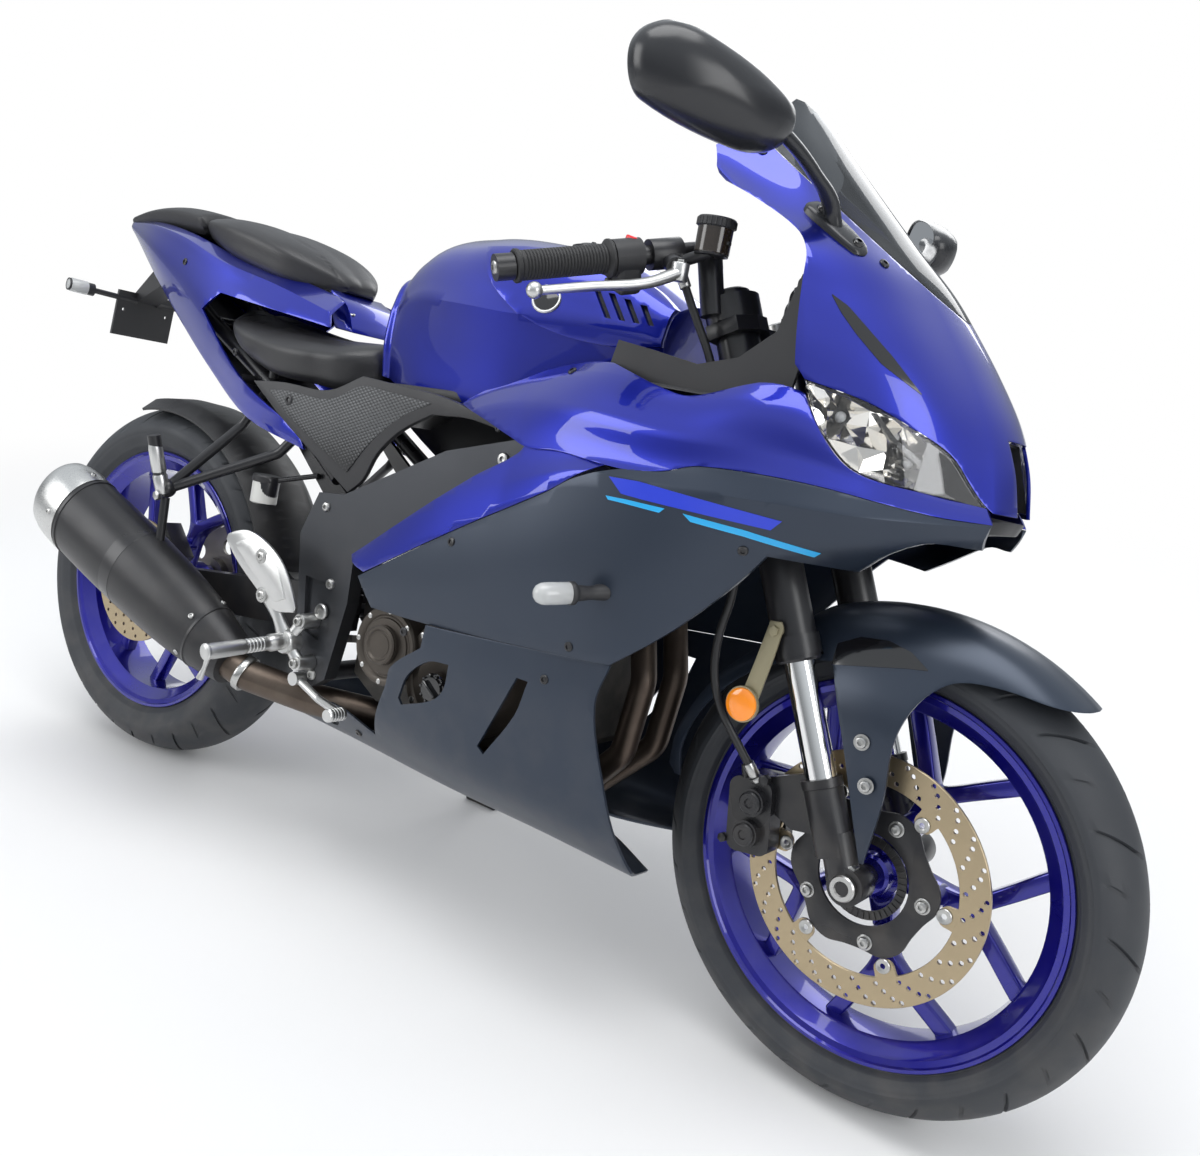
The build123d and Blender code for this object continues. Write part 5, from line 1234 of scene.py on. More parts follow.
# front mudguard: an arch over the tyre that falls into a blade beside each fork leg
def archTop(x):
    return 293 + math.sqrt(319 ** 2 - (x - 690) ** 2)


# x, then how far out the fall stands at the blade's top and foot
mudguardFall = [(414, 76, 78), (480, 78, 80), (560, 84, 88), (610, 92, 96), (680, 97, 99), (730, 94, 98),
                (790, 80, 84), (840, 72, 76), (890, 66, 70)]
skirtOutline = [(425, 330), (410, 345), (420, 400), (455, 470), (510, 530), (560, 580), (600, 640), (760, 640),
                (900, 600), (900, 556), (886, 549), (850, 549), (800, 554), (752, 549), (727, 530), (711, 500),
                (703, 460), (706, 400), (700, 322), (695, 322), (664, 400), (640, 462), (620, 506), (606, 532),
                (560, 520), (500, 486), (450, 430), (428, 372), (432, 330)]
guardSteps = 56

# dark inlay beside each fork leg: its upper and its lower edge
guardInsert = [[(604, 552), (628, 566), (662, 571), (692, 566), (716, 553)],
               [(606, 528), (632, 534), (662, 541), (692, 548), (716, 552)]]


def buildMudguard():
    rows = []
    back, front = mudguardFall[0][0], mudguardFall[-1][0]
    for i in range(guardSteps + 1):
        x = back + (front - back) * i / guardSteps
        top = archTop(x)
        high, low = blendOf(mudguardFall, x, 1), blendOf(mudguardFall, x, 2)
        drop = min(top - 60, 505)
        points = [Vector((x, 0, top)), Vector((x, 26, top - 3.5)), Vector((x, 50, top - 15)),
                  Vector((x, 67, top - 35)), Vector((x, (67 + high) / 2 + 2, (top - 35 + drop) / 2)),
                  Vector((x, high, drop)), Vector((x, (high + low) / 2, drop - 90)), Vector((x, low, drop - 200))]
        rows.append(wholeRow(curveThrough(points, 5)))
    guard = sheetFrom("mudguard", rows, 4, (0, 0, 1))
    surface = surfaceOf(guard, False)
    inserts = besideBoth(lambda side: wrapped("insert", surface, *guardInsert, side, 0.7, 30, 6, 1.4))
    finishPiece(joined("guardInserts", inserts), "steering", finish["glossBlack"])
    cutWith(guard, prism("cutter", softLine(skirtOutline, 4, 42), -160, 160), "INTERSECT")
    for side in (-1, 1):
        low = forkPoint(27, side * 95, 262)
        cutWith(guard, disc("cutter", low + forkUp * 150, forkUp, 29.5, 300, 40))
        cutWith(guard, disc("cutter", forkPoint(27, side * 95, 130), forkUp, 20.5, 290, 32))
    fixNormals(guard, 0.02)
    pick(guard)
    bpy.ops.object.mode_set(mode="EDIT")
    bpy.ops.mesh.select_all(action="SELECT")
    bpy.ops.mesh.separate(type="LOOSE")
    bpy.ops.object.mode_set(mode="OBJECT")
    parts = sorted(bpy.context.selected_objects, key=lambda o: -len(o.data.vertices))
    for spare in parts[1:]:
        bpy.data.objects.remove(spare)
    guard = parts[0]
    guard.name = "frontMudguard"
    rounded(guard, 1.0, 2, 45)
    finishPiece(guard, "steering", finish["satinSlate"], ("front_mudguard",), 34)
    print("mudguard made")


buildMudguard()


# tank, its covers and the cap
# x, crown, shoulder, hip, knee and foot as (half width, z)
tankStations = [
    (-190, 838, (44, 828), (56, 815), (62, 795), (60, 762)),
    (-182, 884, (70, 868), (86, 836), (90, 800), (84, 754)),
    (-160, 922, (80, 896), (98, 850), (100, 806), (92, 748)),
    (-120, 957, (90, 926), (114, 866), (112, 812), (106, 738)),
    (-30, 979, (108, 944), (142, 866), (130, 804), (122, 730)),
    (90, 978, (114, 944), (150, 862), (138, 802), (128, 732)),
    (200, 962, (96, 930), (118, 866), (110, 814), (104, 750)),
    (292, 918, (76, 892), (88, 858), (80, 828), (72, 796)),
]


def tankRows(grow=0):
    knots = [station[0] for station in tankStations]
    rows = []
    for i in range(len(knots) - 1):
        steps = 10 if i < len(knots) - 2 else 11
        for step in range(steps):
            x = knots[i] + (knots[i + 1] - knots[i]) * step / 10
            top = blendOf(tankStations, x, 1) + grow
            shoulder, *lower = (Vector((x, blendOf(tankStations, x, part, 0) + grow, blendOf(tankStations, x, part, 1)))
                                for part in (2, 3, 4, 5))
            shoulder.z += grow * 0.5
            crown = [Vector((x, 0, top)), Vector((x, shoulder.y * 0.55, top - (top - shoulder.z) * 0.3)), shoulder]
            rows.append(wholeRow(curveThrough(crown + lower[:1], 6) + curveThrough(lower, 6)[1:]))
    return rows


coverOutline = [(8, 948), (36, 908), (88, 872), (150, 848), (230, 842), (292, 852), (296, 900), (250, 928),
                (190, 944), (100, 956)]
# the dark backs of the slots: upper and lower edge
slotBackLines = [[(184, 918), (262, 902), (292, 890)], [(184, 868), (250, 864), (292, 862)]]
badgeFace = [(0.02, 2.4), (13, 2.2), (17, 1.4), (17, -2), (0.02, -2)]
badgeRim = [(16.4, -2), (20, -2), (20.4, 1), (19.2, 2.8), (17.2, 2.8), (16.4, 1.6)]


def buildTank():
    tank = closedLoft("fuelTank", tankRows())
    well = disc("cutter", (118, 0, 992), (0, 0, 1), 43.5, 48, 64)
    cutWith(tank, well)
    rounded(tank, 1.2, 2, 50)
    finishPiece(tank, "chassis", finish["cobaltPaint"], ("fuel_tank",), 30)
    shell = closedLoft("tankCover", tankRows(7))
    cutWith(shell, closedLoft("cutter", tankRows(0.4)))
    cutWith(shell, prism("cutter", softLine(coverOutline, 5, 60), 60, 260), "INTERSECT")
    slots = []
    for number in range(4):
        x = 190 + 21 * number
        slope = 26 - 3 * number
        high = 912 - 4 * number
        slots.append(prism("slot", [(x, high), (x + 8, high), (x + slope + 8, 876), (x + slope, 876)], 60, 260))
    cutWith(shell, joined("slots", slots))
    rounded(fixNormals(shell, 0.02), 1.6, 3, 42)
    both = joined("tankCovers", leftToo(shell))
    finishPiece(both, "chassis", finish["cobaltPaint"], ("tank_covers",), 30)
    surface = surfaceOf(closedLoft("guide", tankRows(0.4)))
    backs = besideBoth(lambda side: wrapped("slotBack", surface, *slotBackLines, side, 0.3, 24, 10, 0.8))
    finishPiece(joined("slotBacks", backs), "chassis", finish["mouldedBlack"])
    badge, rims = [], []
    for side in (-1, 1):
        normal = Vector((0.25, 0.91 * side, 0.34)).normalized()
        spot = Vector((136, 138.5 * side, 887))
        badge.append(lathe("badge", badgeFace, 48, spot, normal, closed=False))
        rims.append(lathe("rim", badgeRim, 48, spot, normal))
    finishPiece(joined("plainBadges", badge), "chassis", finish["glossBlack"])
    finishPiece(joined("badgeRims", rims), "chassis", finish["satinAlloy"])
    print("tank made")


def buildCap():
    centre = Vector((118, 0, 968.5))
    line = [(0.02, 12.5), (12, 12.5), (14, 11), (26, 11), (28, 12.5), (38, 12.5), (41, 10.5), (42, 7), (42, 0.5),
            (0.02, 0.5)]
    lid = lathe("capLid", line, 64, centre, (0, 0, 1))
    flap = rounded(block("keyFlap", (110, 0, 983), (30, 15, 5)), 2, 3, 30)
    parts = [lid, flap]
    for number in range(6):
        a = math.radians(30 + number * 60)
        spot = centre + Vector((34 * math.cos(a), 34 * math.sin(a), 12.4))
        parts.append(roundBolt("bolt", spot, (0, 0, 1), 3.4, 2))
    finishPiece(joined("fillerCap", parts), "filler_cap", finish["satinBlack"], ("fuel_cap",))
    ring = lathe("capRing", [(42.8, 2), (48.5, 1), (48.5, 3.4), (46, 4.4), (43, 4)], 64,
                 centre + Vector((0, 0, 5)), (0, 0, 1))
    finishPiece(ring, "chassis", finish["satinBlack"])


buildTank()
buildCap()


# seats: stretched covers over firm foam, with sewn seams
# x, half width, underside, top, edge drop
riderStations = [(-548, 50, 802, 822, 10), (-500, 112, 768, 812, 20), (-400, 142, 728, 800, 28),
                 (-280, 140, 718, 796, 28), (-190, 96, 726, 800, 22), (-180, 80, 732, 800, 20)]
pillionStations = [(-342, 34, 866, 890, 6), (-400, 84, 866, 922, 16), (-500, 104, 882, 952, 20),
                   (-600, 96, 908, 962, 16), (-650, 80, 926, 960, 12)]
humpStations = [(-650.5, 86, 924, 966, 12), (-740, 75, 931, 974, 12), (-853, 52, 936, 966, 8),
                (-936, 30, 932, 950, 4)]
trayLine = [(-262, 690), (-180, 738), (-100, 744), (204, 758), (204, 744), (-100, 728), (-180, 722), (-262, 676)]


def cushionRows(stations, along, hollow):
    ordered = sorted(stations)
    back, front = ordered[0][0], ordered[-1][0]
    rows = []
    total = along * (len(ordered) - 1)
    for i in range(total + 1):
        x = back + (front - back) * i / total
        half, low, high, drop = (blendOf(ordered, x, k) for k in (1, 2, 3, 4))
        ends = min(1, (x - back) / 16, (front - x) / 16)
        swell = math.sqrt(max(0, 1 - (1 - ends) ** 2))
        middle = (low + high) / 2
        low = middle + (low - middle) * (0.45 + 0.55 * swell)
        high = middle + (high - middle) * (0.45 + 0.55 * swell)
        half = half * (0.86 + 0.14 * swell)
        points = [Vector((x, 0, high - hollow)), Vector((x, half * 0.4, high - hollow * 0.4)),
                  Vector((x, half * 0.74, high - drop * 0.34)), Vector((x, half * 0.93, high - drop * 0.8)),
                  Vector((x, half, high - drop * 1.15)), Vector((x, half * 0.985, (high - drop + low) / 2)),
                  Vector((x, half * 0.93, low + 5)), Vector((x, half * 0.88, low))]
        rows.append(wholeRow(curveThrough(points, 5)))
    return rows


def groove(piece, test, depth):
    # presses a sewn seam into the cover where the test gives a share
    for corner in piece.data.vertices:
        share = test(corner.co)
        if share > 0:
            corner.co -= corner.normal * depth * share


def buildSeats():
    rider = closedLoft("riderSeat", cushionRows(riderStations, 26, 5))

    def riderSeam(p):
        if p.z <= 770:
            return 0
        side = abs(abs(p.y) - (60 - 0.16 * (p.x + 180)))
        cross = abs(p.x + 505 - abs(p.y) * 0.1)
        return max(0, 1 - min(side, cross) / 2.6)

    groove(rider, riderSeam, 2.2)
    finishPiece(rider, "chassis", finish["seatVinyl"], ("rider_seat",), 40)
    pillion = closedLoft("pillionSeat", cushionRows(pillionStations, 30, 3))

    def pillionSeam(p):
        if p.z < 880 + (p.x + 342) * -0.18:
            return 0
        side = abs(abs(p.y) - (44 + (p.x + 360) * -0.12)) if p.x > -600 else 99
        return max(0, 1 - side / 2.4)

    groove(pillion, pillionSeam, 1.8)
    finishPiece(pillion, "chassis", finish["seatVinyl"], ("pillion_seat",), 40)
    bumpers = besideBoth(lambda side: lathe("bumper", [(0.02, 0), (8, 0), (8, 34), (0.02, 34)], 20,
                                            (-400, side * 101, 705), (0, 0, 1)))
    finishPiece(joined("seatBumpers", bumpers), "chassis", finish["hoseRubber"])
    top = closedLoft("tailHump", cushionRows(humpStations, 16, 0))
    finishPiece(top, "chassis", finish["mouldedBlack"], ("tail_top",), 40)
    tray = rounded(prism("airboxTray", trayLine, -128, 128), 2, 2, 30)
    finishPiece(tray, "chassis", finish["mouldedBlack"])
    print("seats made")


buildSeats()


# nose trim: slits, screws, the lip, the air duct and the reflectors behind the lenses
noseTrim = {"slitTop": [(545, 926), (562, 917), (584, 899), (615, 873), (648, 841)],
            "slitLow": [(545, 925), (558, 909), (578, 889), (608, 863), (648, 840)],
            "screws": [(567, 975), (404, 1083)], "facets": (10, 4), "maskFrom": 664,
            "bowls": [((588, 803), (46, 27), 24), ((660, 770), (44, 24), 22)],
            "dividerTop": [(618, 812), (640, 790), (668, 772), (690, 758)],
            "dividerLow": [(613, 812), (635, 788), (662, 769), (686, 755)],
            "lip": [(600, -200, 690), (655, -150, 706), (712, -84, 719), (742, -44, 724), (750, 0, 725)],
            "shade": [(3, -14), (9.5, -14), (9.5, 5), (8.4, 6), (7.6, 5), (7.6, -8), (3, -8)]}


def facetGrid(surface, side, topLine, lowLine):
    # uneven facets behind a lens, pressed deeper where the bowls are
    wide, high = noseTrim["facets"]
    grid = []
    for i in range(wide + 1):
        for j in range(high + 1):
            share = 0.03 + 0.94 * i / wide + (0.26 / wide * math.sin(5.1 * i + 2.3 * j) if 0 < i < wide else 0)
            t = (j + (0.25 * math.cos(3.7 * i + 1.9 * j) if 0 < j < high else 0)) / high
            a, b = alongLine(topLine, share), alongLine(lowLine, share)
            x, z = a[0] * (1 - t) + b[0] * t, a[1] * (1 - t) + b[1] * t
            place, normal = spotOn(surface, x, z, side)
            deep = 10 + 4.5 * math.sin(2.9 * i + 4.3 * j)
            for (cx, cz), (rx, rz), depth in noseTrim["bowls"]:
                deep += depth * max(0, 1 - ((x - cx) / rx) ** 2 - ((z - cz) / rz) ** 2)
            grid.append(place - normal * deep)
    faces = []
    for i in range(wide):
        for j in range(high):
            a = i * (high + 1) + j
            b, c, d = a + 1, a + high + 2, a + high + 1
            faces += [(a, b, c), (a, c, d)] if (i + j) % 2 else [(a, b, d), (b, c, d)]
    return faceTowards(fromFaces("reflector", grid, faces), (0, side, 0))


def buildLamps(surface):
    lines = seam(lampTopSeam, -2), seam(lampLowSeam, 2)
    reflect, frames, bulbs = [], [], []
    for side in (-1, 1):
        reflect.append(apply(facetGrid(surface, side, *lines), "SOLIDIFY", thickness=1.5, offset=-1))
        tips = [[p for p in (alongLine(line, k / 60) for k in range(1, 60)) if p[0] > noseTrim["maskFrom"]]
                for line in lines]
        frames.append(wrapped("mask", surface, *tips, side, -4.5, 24, 8, 2))
        frames.append(wrapped("divider", surface, noseTrim["dividerTop"], noseTrim["dividerLow"], side, -5.5, 30,
                              2, 7))
        for (x, z), _, _ in noseTrim["bowls"]:
            place, normal = spotOn(surface, x, z, side)
            frames.append(lathe("shade", noseTrim["shade"], 28, place - normal * 22, normal))
            bulbs.append(ball("bulb", place - normal * 20, 6.4))
    finishPiece(joined("lampReflectors", reflect), "chassis", finish["lampChrome"], ("lamp_units",), 4)
    finishPiece(joined("lampFrames", frames), "chassis", finish["glossBlack"])
    finishPiece(joined("lampBulbs", bulbs), "chassis", finish["lensFrost"])


def buildNoseTrim():
    surface = surfaceOf(sheetFrom("noseGuide", noseRows(), noseDetail["wall"], (1, 0, 0)))
    slits = besideBoth(lambda side: wrapped("slit", surface, noseTrim["slitTop"], noseTrim["slitLow"], side, 0.5,
                                            30, 4, 1))
    finishPiece(joined("noseSlits", slits), "chassis", finish["glossBlack"])
    screws = [screwOn(surface, x, z, side, 6.2, 2.6) for x, z in noseTrim["screws"] for side in (-1, 1)]
    finishPiece(joined("noseScrews", screws), "chassis", finish["satinBlack"])
    front = curveThrough([Vector(p) for p in noseTrim["lip"]], 6)
    front += [Vector((p.x, -p.y, p.z)) for p in reversed(front[:-1])]
    rows = [[p, p + Vector((-6, 0, -15)), p + Vector((-64, -p.y * 0.16, -24)), p + Vector((-70, -p.y * 0.16, 2))]
            for p in front]
    finishPiece(rounded(closedLoft("noseLip", rows), 1.5, 2, 40), "chassis", finish["mouldedBlack"])
    buildLamps(surface)
    wallLine = [(640, 738), (640, 808), (716, 812), (742, 738)]
    duct = besideBoth(lambda side: prism("ductWall", wallLine, side * 39, side * 41.5))
    duct.append(prism("ductBack", [(640, 738), (640, 808), (646, 808), (646, 738)], -40, 40))
    duct.append(prism("ductRoof", [(640, 806), (714, 812), (714, 809), (640, 803)], -39, 39))
    finishPiece(joined("noseDuct", duct), "chassis", finish["mouldedBlack"])
    print("nose trim made")


buildNoseTrim()


# mirrors: swept shells on curved arms
mirrorOutline = [(88, 20), (60, 42), (0, 40), (-70, 22), (-98, 2), (-84, -32), (-40, -44), (66, -34), (86, -12)]
mirrorShape = [(-2, 0.965), (0, 0.99), (5, 1.0), (16, 0.985), (28, 0.9), (38, 0.74), (44, 0.52), (47.5, 0.28),
               (49, 0.08)]
mirrorFoot = Vector((512, -139, 1000))


def mirrorPoint(u, v, depth):
    across = Vector((-100, -150, 13)).normalized()
    rearward = Vector((-0.83, 0.553, 0)).normalized()
    up = rearward.cross(across).normalized()
    return Vector((432, -332, 1086)) + across * u + up * v - rearward * depth


def mirrorRing(scale, depth, line):
    return [mirrorPoint(u * scale - (1 - scale) * 8, v * scale, depth) for u, v in line]


def buildMirrors():
    line = softLine(mirrorOutline, 7, 170)
    rows = [mirrorRing(0.93, 3, line), mirrorRing(0.94, -1.5, line)]
    rows += [mirrorRing(scale, depth, line) for depth, scale in mirrorShape]
    shell = closedLoft("shell", rows)
    arm = limb("arm", [(506, -138, 1004), (507, -150, 1022), (500, -196, 1047), (482, -252, 1071), (462, -292, 1082)],
               [(15, 11), (11, 9), (9.5, 7), (10, 7.5), (13, 11)], 24, 8, (0.3, 0, 1))
    base = softLine([(-44, -8), (-36, -15), (0, -17), (36, -13), (44, -5), (44, 5), (36, 13), (0, 17), (-36, 15),
                     (-44, 8)], 4, 170)
    way = Vector((0.80, 0.11, -0.55))
    out = Vector((0.55, -0.42, 0.73)).normalized()
    way = (way - out * way.dot(out)).normalized()
    wide = out.cross(way)
    rings = []
    for lift, scale in ((-12, 1.0), (5, 1.0), (8, 0.93), (9.4, 0.8)):
        rings.append([mirrorFoot + out * lift + way * a * scale + wide * b * scale for a, b in base])
    pad = closedLoft("pad", rings)
    bolts = [roundBolt("bolt", mirrorFoot + out * 8.6 + way * reach, out, 6.5, 4.5) for reach in (-28, 30)]
    glass = closedLoft("glass", [mirrorRing(0.925, 0.4, line), mirrorRing(0.925, 2.4, line)])
    whole = joined("mirrorShell", [shell, arm, pad])
    finishPiece(joined("mirrors", leftToo(whole)), "chassis", finish["mirrorShell"], ("mirrors",), 38)
    finishPiece(joined("mirrorGlasses", leftToo(glass)), "chassis", finish["mirrorGlass"])
    finishPiece(joined("mirrorBolts", leftToo(joined("bolts", bolts))), "chassis", finish["glossBlack"])
    print("mirrors made")


buildMirrors()


# front turn lamps and side reflectors
turnPlace = ((349, 270, 551), (-24, 44, -6))
turnLens = [(0.02, -2), (12.4, -2), (13, 0), (13, 34), (12.2, 39), (9.5, 44), (5, 47), (0.02, 48)]
turnBand = [(13.2, -3), (13.8, -2), (13.8, 3), (13.2, 4), (12, 4), (12, -3)]
turnBulb = [(0.02, 4), (5, 4), (6, 14), (5, 26), (0.02, 28)]
reflectorPlace = ((530, 131.8, 462), (0, 1, 0))
reflectorArm = [(518, 452), (542, 452), (548, 480), (560, 560), (556, 568), (542, 566), (528, 490)]
reflectorCup = [(0.02, 0), (20.4, 0), (21.4, 1.2), (21.4, 4.6), (19.6, 5), (0.02, 5)]
reflectorFace = [(0.02, 10), (10, 9.8), (17, 8.9), (19.4, 7.6), (20, 5), (19.6, 4), (0.02, 4)]


def buildIndicators():
    stalk = limb("stalk", [(368, 232, 556.5), (360, 250, 553.6), (352, 264, 551.6), (348, 272, 550.8)],
                 [(13, 10), (9.5, 8), (10.5, 9.5), (13.2, 13.2)], 24, 6)
    lens = lathe("lens", turnLens, 32, *turnPlace, closed=False)
    band = lathe("band", turnBand, 32, *turnPlace)
    core = lathe("core", turnBulb, 20, *turnPlace, closed=False)
    stalks = joined("turnStalks", leftToo(joined("stalkPair", [stalk, band])))
    finishPiece(stalks, "chassis", finish["mouldedBlack"], ("front_indicators",))
    finishPiece(joined("turnLenses", leftToo(lens)), "chassis", finish["lensFrost"])
    finishPiece(joined("turnBulbs", leftToo(core)), "chassis", finish["satinBlack"])
    arm = rounded(prism("arm", softLine(reflectorArm, 3, 50), 128, 131.7), 0.8, 2, 40)
    foot = rod("foot", (550, 118.5, 556), (550, 130, 556), 7)
    nut = hexBolt("nut", (550, 131.6, 556), (0, 1, 0), 6.5, 4.5)
    cup = lathe("cup", reflectorCup, 48, *reflectorPlace, closed=False)
    face = lathe("face", reflectorFace, 48, *reflectorPlace, closed=False)
    arms = joined("reflectorArms", leftToo(joined("armSet", [arm, foot, nut, cup])))
    finishPiece(arms, "steering", finish["bracketOlive"], ("front_reflectors",))
    finishPiece(joined("sideReflectors", leftToo(face)), "steering", finish["orangeLens"])


buildIndicators()


# handlebar controls
controlDetail = {"ribs": 26, "ribsTo": 118, "gripRadius": 16.9, "gripFrom": 128,
                 "leverSizes": [(10, 7.5), (9.5, 6.5), (7.5, 5.6), (6.5, 5.2)], "cupFoot": Vector((386, -158, 962))}


def buildControls():
    line = [(11.2, 0), (21, 0), (22, 1.2), (22, 4), (20.5, 5.4), (17.6, 7)]
    radius = controlDetail["gripRadius"]
    pitch = (controlDetail["ribsTo"] - 17) / controlDetail["ribs"]
    for number in range(controlDetail["ribs"]):
        at = 8 + number * pitch
        line += [(16.0, at), (radius, at + pitch * 0.3), (radius, at + pitch * 0.75)]
    line += [(16.4, 110), (18.6, 112), (19, 114), (19, 116.6), (17.5, 118), (11.2, 118)]
    grip = lathe("grip", line, 44, barPoint(controlDetail["gripFrom"]), barOut)
    finishPiece(joined("handGrips", leftToo(grip)), "steering", finish["gripRubber"], ("grips",), 30)
    lever = limb("lever", [(366, 186, 936), (352, 222, 917), (318, 282, 899), (290, 331, 883.4)],
                 controlDetail["leverSizes"], 20, 10)
    knob = ball("knob", (286, 337, 882), 9.5)
    hub = rod("hub", Vector((366, 186, 926)), Vector((366, 186, 947)), 10.6)
    levers = joined("handLevers", leftToo(joined("leverSet", [lever, knob, hub])))
    finishPiece(levers, "steering", finish["satinAlloy"], ("hand_levers",), 45)
    pins = []
    for side in (-1, 1):
        pins.append(hexBolt("pin", (366, side * 186, 946.5), (0, 0, 1), 6.5, 4))
        pins.append(roundBolt("pin", mirroredTo(barPoint(266.5), side), mirroredTo(barOut, side), 8, 4))
    finishPiece(joined("controlPins", pins), "steering", finish["plainSteel"])
    for name, side, look in (("stopSwitch", -1, "switchRed"), ("beamSwitch", 1, "mouldedBlack")):
        top = mirroredTo(barPoint(104), side) + Vector((0, 0, 19))
        finishPiece(rounded(block(name, top, (15, 12, 8), 12), 2, 3, 30), "steering", finish[look])
    buttons = []
    for side in (-1, 1):
        for reach, drop in ((100, -12), (114, -18), (107, -30)):
            spot = mirroredTo(barPoint(reach), side) + Vector((-20, 0, drop))
            buttons.append(rounded(block("button", spot, (9, 10, 8)), 2, 2, 30))
    finishPiece(joined("switchButtons", buttons), "steering", finish["satinBlack"])
    base = controlDetail["cupFoot"]
    cup = lathe("fluidCup", [(0.02, 1), (19, 1), (20.6, 3), (20.8, 31), (0.02, 31)], 48, base, (0, 0, 1), closed=False)
    finishPiece(cup, "steering", finish["smokedCup"])
    edge = [(0.02, 31), (21, 31), (22.8, 32.5), (22.8, 41), (21.5, 42.6), (12, 42.6), (11, 41.6), (0.02, 41.6)]
    lid = lathe("lid", edge, 48, base, (0, 0, 1), closed=False)
    ribs = []
    for number in range(24):
        a = math.radians(number * 15)
        ribs.append(block("rib", base + Vector((22.6 * math.cos(a), 22.6 * math.sin(a), 36.5)), (1.6, 1.6, 8)))
    clasp = rounded(block("clasp", base + Vector((0, 0, 15)), (46, 7, 4)), 1, 2, 30)
    finishPiece(joined("fluidLid", [lid, clasp] + ribs), "steering", finish["mouldedBlack"])
    print("controls made")


buildControls()

# front brake hose
hoseRoute = [(350, -158, 938), (372, -152, 898), (402, -144, 850), (428, -140, 790), (462, -138, 700),
             (494, -136, 600), (478, -136, 520), (492, -132, 455), (524, -116, 410), (545, -98, 374)]
hoseRadius = 0.005


def buildHose():
    place = toMetres @ placeOf["steering"]
    points = [place @ Vector(p) for p in hoseRoute]
    hose = curvePiece("brakeHose", points, hoseRadius, 5, 10)
    hose.data.materials.append(finish["hoseRubber"])
    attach(hose, "steering")
    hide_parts("brake_hose")
    ends = []
    for near, far in ((0, 1), (-1, -2)):
        a, b = Vector(hoseRoute[near]), Vector(hoseRoute[far])
        way = (b - a).normalized()
        ends.append(rod("ferrule", a - way * 2, a + way * 17, 7))
        ends.append(hexBolt("union", a - way * 3, -way, 8, 6))
    finishPiece(joined("hoseEnds", ends), "steering", finish["plainSteel"])


buildHose()

# fork, caliper and mudguard fittings
forkTrim = {"half": 95, "topCap": [(0.02, 0), (24, 0), (24, 4), (22, 6), (14, 6), (13, 9), (0.02, 9)],
            "seal": [(19, -7), (24, -7), (26.5, -4), (26.5, 0), (19, 0)],
            "foot": [(18.8, 0), (21, 0), (24.4, 2), (24.4, 12), (18.8, 12)],
            "axleNut": [(6, 0), (15.5, 0), (15.5, 5), (14, 7), (9, 7), (7, 3), (6, 3)],
            "washer": [(4, 0), (9.4, 0), (9.4, 1.4), (4, 1.4)],
            "piston": [(0.02, 0), (14, 0), (14, 2.5), (12, 4), (6, 4), (5, 2), (0.02, 2)]}


def buildForkTrim():
    steel = []
    dark = []
    for side in (-1, 1):
        left = side * forkTrim["half"]
        dark.append(lathe("topCap", forkTrim["topCap"], 32, forkPoint(27, left, 702), forkUp, closed=False))
        dark.append(lathe("dustSeal", forkTrim["seal"], 40, forkPoint(27, left, 265), forkUp))
        dark.append(lathe("footRing", forkTrim["foot"], 40, forkPoint(27, left, 110), forkUp))
        steel.append(hexBolt("pinch", forkPoint(48, left, 18), (0, side, 0), 5.5, 14))
        steel.append(lathe("axleNut", forkTrim["axleNut"], 32, frontAxle + Vector((0, side * 113, 0)), (0, side, 0)))
        for x, z, y in ((669, 457, 101.5), (685, 411, 102.5)):
            steel.append(lathe("guardWasher", forkTrim["washer"], 24, (x, side * y, z), (0.1, side, 0)))
            steel.append(roundBolt("guardBolt", (x, side * (y + 1), z), (0.1, side, 0), 7, 5))
    finishPiece(joined("forkDark", dark), "steering", finish["satinBlack"])
    finishPiece(joined("forkBolts", steel), "steering", finish["plainSteel"])
    pistons = [lathe("pistonCap", forkTrim["piston"], 28, (552, -106.4, z), (0, -1, 0), closed=False)
               for z in (302, 342)]
    pistons.append(hexBolt("slidePin", (560, -92, 372), (0, -1, 0), 7, 9))
    pistons.append(hexBolt("slidePin", (520, -92, 284), (0, -1, 0), 6, 8))
    pistons.append(rod("bleed", (534, -96, 366), (530, -99, 382), 3.5))
    finishPiece(joined("caliperCaps", pistons), "steering", finish["satinBlack"])
    print("fork trim made")


buildForkTrim()

# dash, ignition lock and stem nut
dashPlace = Matrix.Translation((490, 0, 992)) @ Matrix.Rotation(math.radians(-38), 4, "Y")


def buildDash():
    bezel = rounded(block("dashBezel", (0, 0, 14), (72, 138, 4)), 1.8, 3, 30)
    cutWith(bezel, block("cutter", (0, 0, 16), (54, 112, 2.4)))
    glass = block("dashGlass", (0, 0, 14.9), (53.6, 111.6, 0.8))
    keys = joined("dashKeys", [rounded(block("key", (0, y, 16.4), (18, 8, 2)), 0.8, 2, 30) for y in (-62, 62)])
    for piece, look in ((bezel, "mouldedBlack"), (glass, "glossBlack"), (keys, "satinBlack")):
        piece.data.transform(dashPlace)
        finishPiece(piece, "chassis", finish[look])
    switch = lathe("ignition", [(0.02, 0), (15, 0), (15, 10), (13.5, 12), (8, 12), (7, 10.5), (0.02, 10.5)], 32,
                   forkPoint(34, 0, 668), forkUp, closed=False)
    finishPiece(switch, "steering", finish["plainSteel"])
    nut = hexBolt("stemNut", forkPoint(0, 0, 676), forkUp, 14, 9)
    finishPiece(nut, "steering", finish["plainSteel"])


buildDash()


